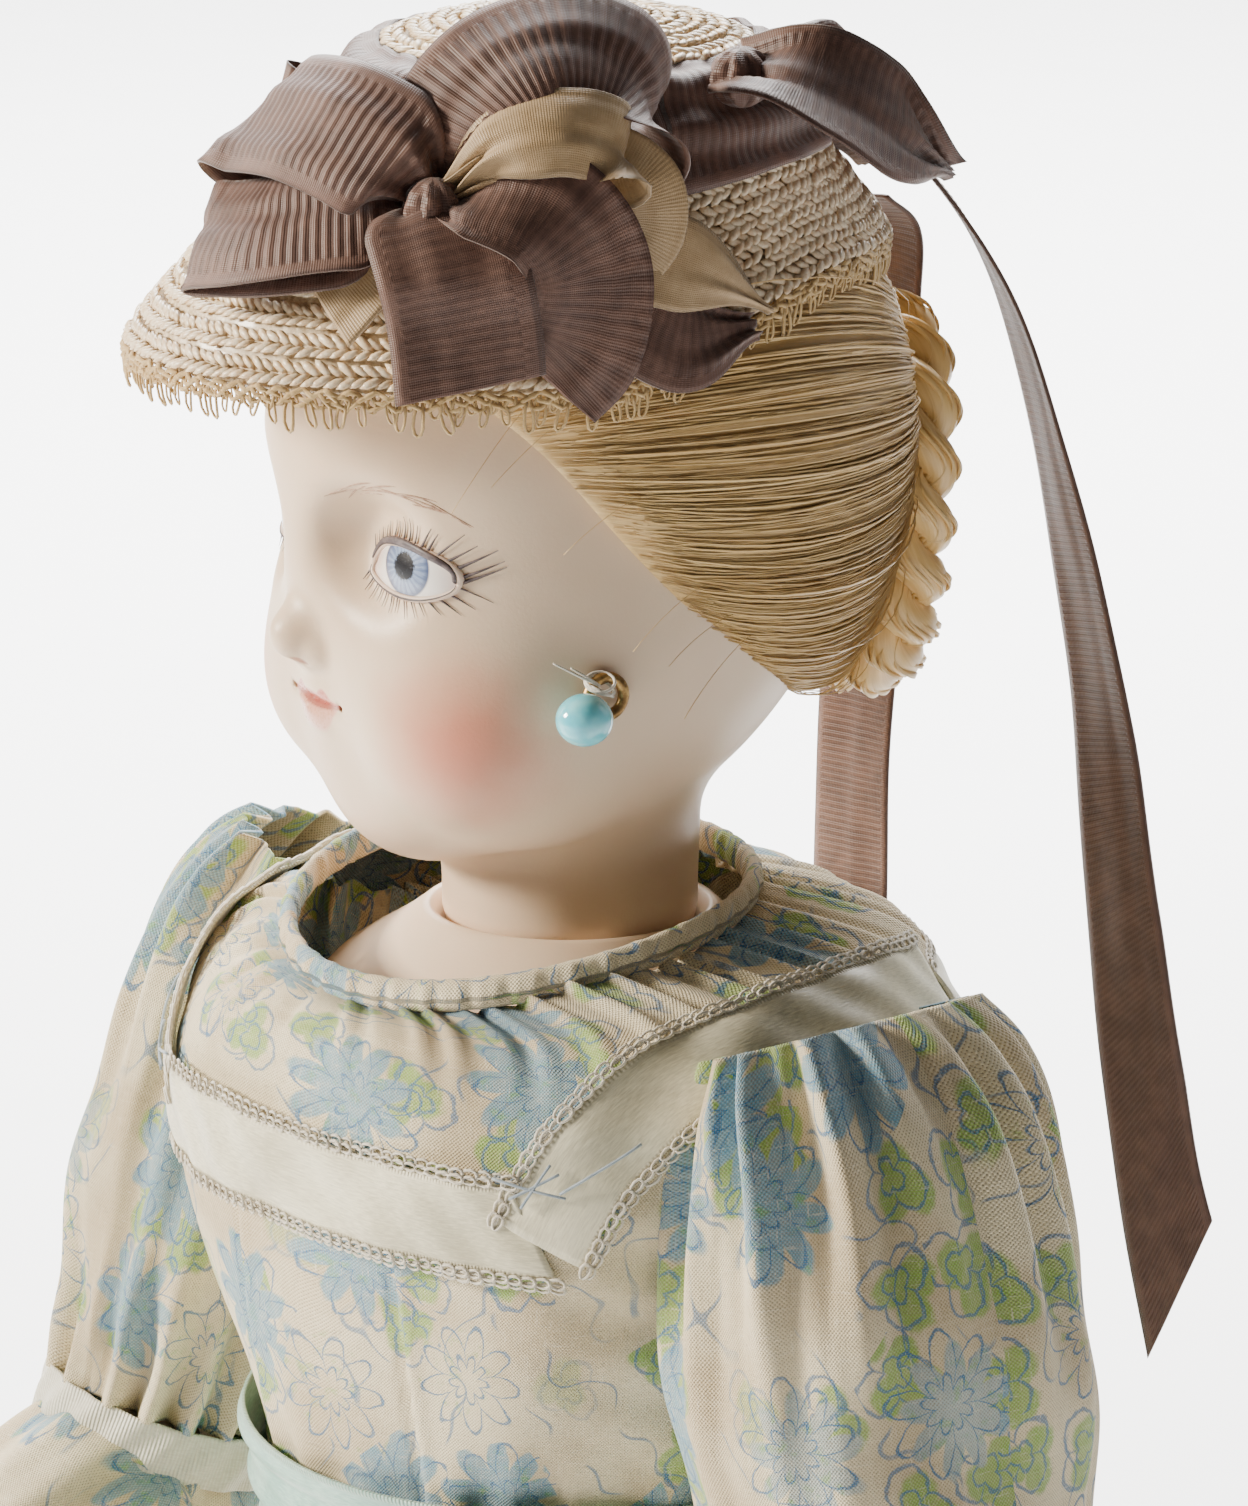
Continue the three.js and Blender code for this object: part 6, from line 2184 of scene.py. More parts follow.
@dataclass
class Dress:
    """The print dress: gathered bodice, ribbon trims, sash and bow, long skirt over a petticoat."""

    bodice: Lofted = field(default_factory=lambda: Lofted(((243.5, 34, 31.5, 0, 0, 2),
            (256, 36, 33.5, 0, 0, 2), (274, 40, 36, 0, 0, 2.4), (290, 44, 37.5, 0, 0, 2.5),
            (300, 45, 36.5, 0, 0.5, 2.4), (307, 43.5, 34.5, 0, 2, 2.2), (312.5, 38.5, 32.5, 0, 4.5, 2),
            (317.5, 26.5, 24.5, -7, 8, 2))))
    skirt: Lofted = field(default_factory=lambda: Lofted(((0, 92, 92, 0, 0, 2), (45, 86, 86.5, 1, 0, 2),
            (110, 70, 73, 4, 0, 2), (170, 52, 57, 5, 0, 2), (203, 43, 48, 4, 0, 2),
            (226, 37.5, 39.5, 1.5, 0, 2), (237, 34.5, 33.5, 0, 0, 2), (243, 32, 29.8, 0, 0, 2))))
    sash: Lofted = field(default_factory=lambda: Lofted(((242.6, 35.6, 33.2, 0, 0, 2),
            (250, 36.9, 34.6, 0, 0, 2), (257.6, 38.4, 35.8, 0, 0, 2))))
    cloth: float = 0.45

    def bodice_point(self, height: float, degrees: float) -> tuple[Array, Array]:
        """Find a place on the bodice and its outward direction, in degrees from the front."""
        angle = math.radians(degrees - 90)
        around = np.array([angle - 0.02, angle, angle + 0.02])
        face = self.bodice.surface(np.array([height - 0.4, height, height + 0.4]), around)
        out = unit(np.cross(face[1, 2] - face[1, 0], face[2, 1] - face[0, 1]))
        return face[1, 1], out

    def build_bodice(self, cotton: Material) -> None:
        """Build the bodice with its neck gathers, bust darts and soft wrinkles."""
        heights = np.linspace(243.8, 317.4, 120)
        face, normal, uv, angles = self.bodice.wall(heights, 300)
        z = heights[:, None]
        neck = smooth(302, 317, z)
        lie = (0.55 * neck * np.sin(angles * 44 + 1.6 * np.sin(angles * 5))
               + 0.3 * neck * np.sin(angles * 71 + 1))
        lie = lie + 0.45 * np.sin(angles * 5 + z / 9) + 0.35 * np.sin(angles * 9 - z / 12 + 1)
        lie = lie + 0.55 * smooth(268, 250, z) * np.sin(angles * 26 + np.sin(angles * 7))
        front = face[..., 1] < 0
        for across in (-12.0, 12.0):
            away = face[..., 0] - across - (z - 243) * 0.04 * math.copysign(1, across)
            groove = np.exp(-(away / 0.55) ** 2) * -0.8 + np.exp(-((away - 1.2) / 1.0) ** 2) * 0.45
            lie = lie + np.where(front, groove * smooth(289, 280, z), 0)
        seam = np.exp(-((heights - 308.5) / 0.5) ** 2)[:, None] * -0.35
        lie = lie + np.where(front, seam, 0)
        pull = np.sin((face[..., 0] * np.sign(face[..., 0]) * 0.55 + z * 0.62))
        lie = lie + 0.35 * pull * smooth(26, 38, np.abs(face[..., 0])) * smooth(306, 290, z)
        face = face + normal * lie[..., None]
        mesh = Mesh()
        add_hoop(mesh, face, uv, self.cloth)
        piece = mesh.finish("gathered_bodice", cotton, "torso", "printed_cotton", ["bodice"])
        self.build_neck_edge(cotton)

    def build_neck_edge(self, cotton: Material) -> None:
        """Roll the neck's edge over into a narrow gathered band."""
        angles = even_angles(420)
        base = self.bodice.surface(np.array([316.6, 317.5]), angles)
        line = base[1]
        flare = unit(line - base[1].mean(axis=0))
        turn = even_angles(20)
        gather = 1 + 0.16 * np.sin(angles * 44 + 1.6 * np.sin(angles * 5)) + 0.08 * np.sin(angles * 83)
        out = (0.95 * np.cos(turn))[:, None] * gather[None] - 0.2
        rise = (1.75 * np.sin(turn))[:, None] * (0.9 + 0.1 * gather[None]) + 1.2
        face = line[None] + flare[None] * out[..., None]
        face[..., 2] += rise
        uv = np.stack(np.broadcast_arrays(angles[None] * 27, turn[:, None] * 1.6 + 60), -1)
        mesh = Mesh()
        mesh.grid(face, uv, across=True, along=True)
        piece = mesh.finish("rolled_neck_edge", cotton, "torso", "printed_cotton", ["neckline_band"])

    def trim_run(self, name: str, stations: Sequence[tuple[float, float]], material: Material,
                 thread: Material, node: str, end_fold: bool = False) -> None:
        """Lay one length of satin ribbon on the bodice, couched along both edges.

        Args:
            name: the piece's name.
            stations: heights and degrees from the front.
            material: the satin.
            thread: the couching thread.
            node: the CAD node that it stands for.
            end_fold: whether its far end is mitred down.
        """
        fine = path_through([(z, d) for z, d in stations], 90)
        pairs = [self.bodice_point(z, d) for z, d in fine]
        centre = np.array([p for p, _ in pairs])
        out = np.array([n for _, n in pairs])
        along = unit(np.gradient(centre, axis=0))
        across = unit(np.cross(along, out))
        v = np.linspace(-1, 1, 21)
        half = 4.9
        share = np.linspace(0, 1, 90)[:, None]
        lie = 1.15 + 0.22 * np.sin(share * 19 + v * 2) + 0.15 * np.sin(share * 43 - v * 3) - 0.35 * v**4
        shift = 2.5 * v[None] * smooth(0.93, 1.0, share) if end_fold else 0 * v[None] * share
        face = centre[:, None] + across[:, None] * (v[None, :, None] * half) + out[:, None] * lie[..., None]
        face = face + along[:, None] * shift[..., None]
        run = np.linspace(0, length_of(centre), 90)
        uv = np.stack(np.broadcast_arrays((v[None] + 1) * half, run[:, None]), -1)
        mesh = Mesh()
        add_sheet(mesh, face, uv, 0.4, np.broadcast_to(out[:, None], face.shape))
        piece = mesh.finish(name, material, "torso", "ivory_satin", [node])
        edges = [(face[:, k] + out * 0.12 + across * s, out) for k, s in ((0, -0.3), (20, 0.3))]
        edges += [(face[:, k] - across * s * 0.9 - out * 0.1, out) for k, s in ((0, 1.0), (20, -1.0))]
        stitches = Stitching().lay(f"{name}_couching", edges, thread, 0.95)
        dress(stitches, thread, "torso", "ivory_satin")

    def build_trims(self) -> None:
        """Lay the ribbon round the square yoke and work the corner stitches."""
        ivory = Satin("ivory_satin", (0.80, 0.75, 0.55), (0.48, 0.44, 0.30)).material()
        cream = ThreadFinish("couching_thread", (0.78, 0.73, 0.62), (0.52, 0.46, 0.36)).material()
        self.trim_run("front_yoke_ribbon", [(290.8, d) for d in (-42, -21, 0, 21, 40)], ivory, cream,
                      "front_ribbon_trim", True)
        for side in Side:
            s = side.value
            stations = [(z, s * d) for z, d in ((289.5, 41.5), (295, 45), (300.5, 50), (307, 61), (310, 80),
                    (310.5, 102), (308.5, 126))]
            self.trim_run(f"{side.word}_yoke_ribbon", stations, ivory, cream, f"{side.word}_ribbon_trim")
        self.trim_run("back_yoke_ribbon", [(305, d) for d in (130, 155, 180, 205, 230)], ivory, cream,
                      "back_ribbon_trim")
        grey = ThreadFinish("corner_thread", (0.36, 0.42, 0.47), (0.2, 0.25, 0.3)).material()
        mesh = Mesh()
        for side in Side:
            for a, b in (((296.5, 33), (295.2, 45)), ((298.5, 42), (293.8, 38)),
                         ((294.6, 36), (297.6, 43.5)), ((295.6, 44), (301, 56))):
                pairs = [self.bodice_point(a[0] + (b[0] - a[0]) * t,
                                           side.value * (a[1] + (b[1] - a[1]) * t)) for t in np.linspace(0,
                        1, 12)]
                path = np.array([p + n * (1.9 + 0.25 * math.sin(3.14 * t)) for (p, n),
                                 t in zip(pairs, np.linspace(0, 1, 12))])
                add_tube(mesh, path, 0.17, 5)
        mesh.finish("corner_stitches", grey, "torso", "ivory_satin")

    def build_buttons(self) -> None:
        """Turn the three pearl buttons down the back, with rims, wells and sewing holes."""
        pearl = Pearl().material()
        for k, height in enumerate((292, 279, 266)):
            spot, _ = self.bodice_point(height, 180)
            mesh = Mesh()
            profile = [(0.02, 1.15), (0.9, 1.15), (1.2, 1.35), (1.6, 1.5), (1.9, 1.25), (1.95, 0.8),
                       (1.6, 0.4), (0.02, 0.4)]
            r = np.array([p[0] for p in profile])[:, None]
            h = np.array([p[1] for p in profile])[:, None]
            turn = even_angles(40)[None]
            dimple = np.where(r == 0.9, 0.12 * (np.cos(turn * 4) - 1), 0)
            ring = np.stack(np.broadcast_arrays(4 + r * np.cos(turn), spot[1] + 0.5 + h + dimple,
                    height + r * np.sin(turn)), -1)
            mesh.grid(ring, across=True)
            mesh.cap(0, 40, True)
            mesh.cap(7 * 40, 40, False)
            mesh.finish(f"back_pearl_{k + 1}", pearl, "torso", "pearl", [f"back_button_{k + 1}"])

    def build_sash(self) -> None:
        """Wrap the aqua silk sash, and tie its bow and tails at the back."""
        aqua = Satin("aqua_silk", (0.46, 0.68, 0.58), (0.22, 0.42, 0.36), 14.0, 0.3).material()
        heights = np.linspace(242.9, 257.4, 40)
        face, normal, _, angles = self.sash.wall(heights, 300)
        t = np.linspace(0, 1, 40)[:, None]
        fold = 0.4 * np.sin(t * 15 + 1.3 * np.sin(angles * 2)) + 0.2 * np.sin(t * 31 + angles * 3)
        slope = 0.9 * np.sin(angles + 0.6)
        face = face + normal * (fold * 0.9)[..., None]
        face[..., 2] += slope
        uv = np.stack(np.broadcast_arrays(t * 14, angles[None] * 35), -1)
        mesh = Mesh()
        add_hoop(mesh, face, uv, 0.4)
        piece = mesh.finish("silk_sash", aqua, "torso", "aqua_satin", ["waist_sash"])
        loops = Mesh()
        for side in Side:
            s = side.value
            run = Ribbon("bow", ((0, 40, 249), (8 * s, 43, 253), (18 * s, 44, 257), (27 * s, 42.5, 258),
                                 (29 * s, 41, 255), (20 * s, 40.6, 252), (9 * s, 40.4, 249.5),
                                 (0, 40, 248)), ((0.0, 0.2, 1),), width=14, gather=(0.35, 0.35), reach=0.25,
                         ribs=0, cup=0.8, on_head=False, seed=50 + s, step=0.6)
            run.add_to(loops)
        piece = loops.finish("sash_bow_loops", aqua, "torso", "aqua_satin", ["sash_bow"])
        for side in Side:
            s = side.value
            tail = Mesh()
            run = Ribbon("tail", ((1.5 * s, 43, 248), (6 * s, 46.5, 242), (9 * s, 56, 224),
                                  (12 * s, 68, 190), (14 * s, 80, 154)), ((1, 0.1 * s, 0),), width=12,
                         gather=(0.45, 1.0), reach=0.2, ribs=0, on_head=False, seed=60 + s, step=0.6,
                         slant=6 * s)
            run.add_to(tail)
            piece = tail.finish(f"{side.word}_sash_end", aqua, "torso", "aqua_satin",
                                [f"{side.word}_sash_tail"])

    def build_skirt(self, cotton: Material) -> None:
        """Gather the long skirt into the waist and hang it in deep soft folds to a turned hem."""
        rng = np.random.default_rng(200)
        heights = np.linspace(0.6, 242.6, 150)
        face, normal, uv, angles = self.skirt.wall(heights, 300)
        z = heights[:, None]
        low = smooth(215, 10, z)
        lie = np.zeros_like(face[..., 0])
        for count, size in ((13, 3.0), (19, 1.8), (7, 1.6)):
            phase = rng.uniform(0, 6.28)
            lie = (lie + size * np.sin(angles * count + phase + 0.5 * np.sin(z / 60 + count)) * (0.2
                    + 0.8 * low))
        lie = lie - 3.2 * low
        lie = lie + 0.7 * smooth(200, 238, z) * np.sin(angles * 52 + np.sin(angles * 9)) - 0.3
        hem = np.exp(-((heights - 14) / 0.5) ** 2)[:, None] * -0.5
        face = face + normal * (lie + hem)[..., None]
        face[..., 2] = np.maximum(face[..., 2], 0.4)
        mesh = Mesh()
        uv = uv * np.array([1.25, 1.0])
        add_hoop(mesh, face, uv, self.cloth)
        piece = mesh.finish("gathered_skirt", cotton, "torso", "printed_cotton", ["skirt"])
        white = PlainCloth("petticoat_cambric", (0.80, 0.77, 0.70), (0.62, 0.59, 0.52)).material()
        heights = np.linspace(7.0, 224.0, 90)
        face, normal, uv, angles = self.skirt.wall(heights, 220)
        z = heights[:, None]
        lie = -8.5 * smooth(226, 190, z) - 1.6 + 1.3 * np.sin(angles * 17 + 1) * smooth(215, 20, z)
        tuck = sum(np.exp(-((heights - h) / 0.9) ** 2) for h in (22, 27, 32))[:, None]
        face = face + normal * (lie + tuck * 0.7)[..., None]
        mesh = Mesh()
        add_hoop(mesh, face, uv, 0.5)
        piece = mesh.finish("full_petticoat", white, "torso", "white_cotton", ["petticoat"])

    def build(self) -> None:
        """Build and dress everything on the torso."""
        cotton = PrintedCotton().material()
        self.build_bodice(cotton)
        self.build_trims()
        self.build_buttons()
        self.build_sash()
        self.build_skirt(cotton)
        for side in Side:
            Sleeve(side).build(cotton)


@dataclass
class Sleeve:
    """One two-part sleeve: a gathered puff from the armhole to the ribbon, and a loose lower sleeve."""

    side: Side
    shoulder: tuple[float, float, float] = (48, 0, 298)
    folds: int = 15

    @property
    def swing(self) -> float:
        """Give how far the arm hangs forward, in radians."""
        return math.radians(-16) if self.side is Side.RIGHT else 0.0

    @property
    def full(self) -> float:
        """Give the puff's fullness."""
        return 0.8 if self.side is Side.RIGHT else 1.0

    def placed(self, points: Array) -> Array:
        """Swing and mirror points that are modelled for a hanging left arm."""
        p = np.asarray(points, float) - np.asarray(self.shoulder, float)
        c, s = math.cos(self.swing), math.sin(self.swing)
        out = (np.stack([p[..., 0], c * p[..., 1] - s * p[..., 2], s * p[..., 1] + c * p[..., 2]], -1)
               + np.asarray(self.shoulder, float))
        out[..., 0] *= self.side.value
        return out

    def tube(self, stations: Sequence[tuple], rows: int, columns: int, girth: float) -> tuple[Array, Array,
            Array, Array]:
        """Sample a wall along stations of place, half-width and half-depth.

        Args:
            stations: rows of x, y, z, half-width, half-depth.
            rows: how many rows.
            columns: how many columns.
            girth: the cloth's flat width round the sleeve, mm.

        Returns:
            Points, outward directions, flat places and shares along.
        """
        face, out = limb_surface(stations, rows, columns)
        centre = path_through(stations, rows)[:, :3]
        angle = even_angles(columns)
        run = np.r_[0, np.cumsum(np.linalg.norm(np.diff(centre, axis=0), axis=1))]
        uv = np.stack(np.broadcast_arrays(angle[None] / (2 * math.pi) * girth, run[:, None] + 7.0), -1)
        return face, out, uv, np.linspace(0, 1, rows)

    def build_puff(self, cotton: Material) -> None:
        """Build the puff with pleats at the sleeve head and at the ribbon."""
        f = self.full
        stations = [(44.5, 0, 309.6, 9, 17 * f), (46.6, 0, 304, 13.4, 20 * f), (48.5, 0, 296, 17, 21.8 * f),
                    (50.5, 0, 281, 20 * f, 23.6 * f), (53, 0.5, 263, 20.2 * f, 22.6 * f),
                    (55, 1, 250, 18.2 * f, 18.6 * f), (56, 1, 243.2, 13.4, 13.8)]
        face, out, uv, share = self.tube(stations, 130, 260, 150)
        angle = even_angles(260)[None]
        t = share[:, None]
        rng = np.random.default_rng(300 + self.side.value)
        head = smooth(0.62, 0.02, t)
        cuff = smooth(0.66, 0.98, t)
        warp = 0.5 * np.sin(angle * 2 + 1) + 0.35 * np.sin(t * 5 + angle)
        ridge = np.sin(angle * self.folds + warp * 2.2 + rng.uniform(0, 6))
        ridge = np.sign(ridge) * np.abs(ridge) ** 0.75
        second = np.sin(angle * (self.folds + 6) - warp * 1.5 + rng.uniform(0, 6))
        broad = np.sin(angle * 5 + t * 3.0 + rng.uniform(0, 6))
        lie = ridge * (0.25 + 1.55 * head**0.8 * (1 - 0.45 * smooth(0.1, 0, t)) + 1.1 * cuff)
        lie = lie + second * (0.15 + 0.6 * head + 0.55 * cuff) + broad * 0.8 * np.sin(t * math.pi)
        lie = lie + 0.6 * np.sin(t * 17 + angle * 3) * smooth(0.3, 0.6, t) * smooth(1.0, 0.8, t) - 0.6
        face = face + out * lie[..., None]
        inward = smooth(0.10, 0.0, share)[:, None]
        face[..., 2] += 0.5 * inward
        mesh = Mesh()
        placed = self.placed(face)
        add_hoop(mesh, placed, uv, 0.45)
        piece = mesh.finish(f"{self.side.word}_puffed_sleeve", cotton, f"{self.side.word}_arm",
                            "printed_cotton", [f"{self.side.word}_sleeve_puff"])

    def build_ribbon(self) -> None:
        """Tie the ribbon that gathers the puff."""
        ivory = Satin(f"{self.side.word}_sleeve_satin", (0.80, 0.78, 0.66), (0.60, 0.58, 0.46),
                      6.0).material()
        stations = [(56.0, 1, 243.6, 14.3, 14.3), (56.5, 1, 240.5, 14.5, 14.5),
                    (57.0, 1, 237.2, 14.3, 14.3)]
        face, out, uv, share = self.tube(stations, 18, 150, 90)
        angle = even_angles(150)[None]
        face = face + out * (0.22 * np.sin(angle * 17 + share[:, None] * 5))[..., None]
        mesh = Mesh()
        add_hoop(mesh, self.placed(face), uv[..., ::-1], 0.4)
        mesh.finish(f"{self.side.word}_sleeve_tie", ivory, f"{self.side.word}_arm", "ivory_satin",
                    [f"{self.side.word}_sleeve_ribbon"])

    def build_lower(self, cotton: Material) -> None:
        """Hang the loose lower sleeve over the forearm."""
        stations = [(56.8, 1.2, 241.6, 12.4, 12.4), (57, 1.4, 238.4, 12.9, 12.9),
                    (57, 0.8, 234.6, 13.9, 14.4), (57, -1.8, 230.4, 14.4, 14.6),
                    (56.1, -9.2, 226.4, 13.8, 13.8), (55.4, -17.7, 218.4, 12.8, 12.8),
                    (54.5, -27.9, 208.8, 12.9, 12.9)]
        face, out, uv, share = self.tube(stations, 60, 200, 110)
        angle = even_angles(200)[None]
        t = share[:, None]
        lie = (0.5 * smooth(0.4, 0, t) * np.sin(angle * 16) + 0.7 * t * np.sin(angle * 7 + 1)
               + 0.35 * np.sin(angle * 11 + t * 6))
        face = face + out * (lie - 0.3)[..., None]
        mesh = Mesh()
        add_hoop(mesh, self.placed(face), uv, 0.45)
        piece = mesh.finish(f"{self.side.word}_sleeve_flounce", cotton, f"{self.side.word}_forearm",
                            "printed_cotton", [f"{self.side.word}_lower_sleeve"])

    def build(self, cotton: Material) -> None:
        """Build and dress the whole sleeve."""
        self.build_puff(cotton)
        self.build_ribbon()
        self.build_lower(cotton)


@dataclass(frozen=True)
class Pearl:
    """Shell button with a faint nacreous cloud."""

    name: str = "shell_pearl"

    def material(self) -> Material:
        """Make the shell."""
        g = Graph(self.name, Coat_Weight=0.5, Coat_Roughness=0.1)
        cloud = g.noise(g.place(), 0.5, 3.0)
        return g.finish(g.mix(cloud.rise(0.35, 0.65), (0.70, 0.66, 0.62), (0.86, 0.80, 0.78)),
                        0.2 + 0.1 * cloud)


# ---- the body under the dress ----

def limb_piece(name: str, stations: Sequence[tuple], rows: int = 60, columns: int = 48, rough: float = 0.0,
               place: Callable[[Array], Array] | None = None) -> Piece:
    """Make a closed limb.

    Args:
        name: the piece's name.
        stations: rows of x, y, z, half-width, half-depth.
        rows: how many rows.
        columns: how many columns.
        rough: height of the stuffed cloth's dimples, mm.
        place: moves the finished points.

    Returns:
        The new object.
    """
    face, out = limb_surface(stations, rows, columns)
    if rough:
        t = np.linspace(0, 1, rows)[:, None]
        angle = even_angles(columns)
        lumps = np.sin(angle * 3 + t * 21) * np.sin(t * 33 + angle * 2) + 0.5 * np.sin(angle * 7 - t * 40)
        seam = (-1.2 * np.exp(-((angle - math.pi / 2) / 0.05) ** 2)
                - 1.2 * np.exp(-((angle - 3 * math.pi / 2) / 0.05) ** 2))
        face = face + out * ((lumps * 0.4 + seam) * rough)[..., None]
    mesh = Mesh()
    mesh.grid(place(face) if place else face, across=True)
    mesh.cap(0, columns, True)
    mesh.cap((rows - 1) * columns, columns, False)
    piece = mesh.build(name)
    mend_normals(piece)
    return piece


@dataclass
class Blob:
    """A smooth solid blended from round-ended rods and ellipsoids, meshed on an even grid."""

    rods: tuple  # start, end, start radius, end radius, blend
    lumps: tuple = ()  # centre, radii, blend

    def distance(self, p: Array) -> Array:
        """Measure how far points are outside the solid."""
        found = np.full(p.shape[:-1], 1e3)
        for a, b, ra, rb, width in self.rods:
            a, b = np.asarray(a, float), np.asarray(b, float)
            t = np.clip(((p - a) @ (b - a)) / ((b - a) @ (b - a)), 0, 1)
            d = np.linalg.norm(p - a - t[..., None] * (b - a), axis=-1) - (ra + (rb - ra) * t)
            found = HeadForm._join(found, d, width)
        for centre, radii, width in self.lumps:
            found = HeadForm._join(found, HeadForm._lump(p, centre, radii), width)
        return found

    def mesh(self, low: Sequence[float], high: Sequence[float], cell: float) -> tuple[Array, Array]:
        """Mesh the solid and settle its points on its surface.

        Args:
            low: lowest corner of the grid.
            high: highest corner.
            cell: the grid's spacing.

        Returns:
            Points and quads.
        """
        points, quads = cells_of(self.distance, np.asarray(low, float), np.asarray(high, float), cell)
        for _ in range(3):
            step = 0.05
            slope = unit(np.stack([self.distance(points + np.eye(3)[k] * step)
                                   - self.distance(points - np.eye(3)[k] * step) for k in range(3)], -1))
            points = points - slope * (self.distance(points) * 0.9)[:, None]
        return points, quads

    def build(self, name: str, low: Sequence[float], high: Sequence[float], cell: float,
              place: Callable[[Array], Array] | None = None) -> Piece:
        """Make the object."""
        points, quads = self.mesh(low, high, cell)
        mesh = Mesh()
        mesh.add_quads(place(points) if place else points, quads)
        piece = mesh.build(name)
        mend_normals(piece)
        return piece


@dataclass(frozen=True)
class Leather:
    """Thin boot leather with pores, creases and worn edges."""

    name: str
    base: Colour
    worn: Colour

    def material(self) -> Material:
        """Make the leather."""
        g = Graph(self.name, Coat_Weight=0.15, Coat_Roughness=0.35)
        place = g.place()
        cells = g.node("ShaderNodeTexVoronoi", {"feature": "DISTANCE_TO_EDGE"},
                       {"Vector": place, "Scale": 1.5})
        cloud = g.noise(place, 0.12, 4.0)
        colour = g.mix(cloud.rise(0.4, 0.7), self.base, self.worn)
        return g.finish(colour, 0.42 + 0.2 * cloud, cells.rise(0.0, 0.12) + cloud, 0.06)


@dataclass(frozen=True)
class Cork:
    """Cut cork with darker pits."""

    name: str = "cut_cork"

    def material(self) -> Material:
        """Make the cork."""
        g = Graph(self.name)
        place = g.place()
        grain = g.noise(place, 0.5, 4.0, 0.7)
        pits = g.noise(place, 1.4, 2.0)
        colour = g.mix(grain.rise(0.3, 0.7), (0.42, 0.26, 0.13), (0.60, 0.41, 0.23))
        colour = g.mix(pits.rise(0.68, 0.74), colour, (0.12, 0.06, 0.03))
        return g.finish(colour, 0.9, grain - pits.rise(0.68, 0.74), 0.2)


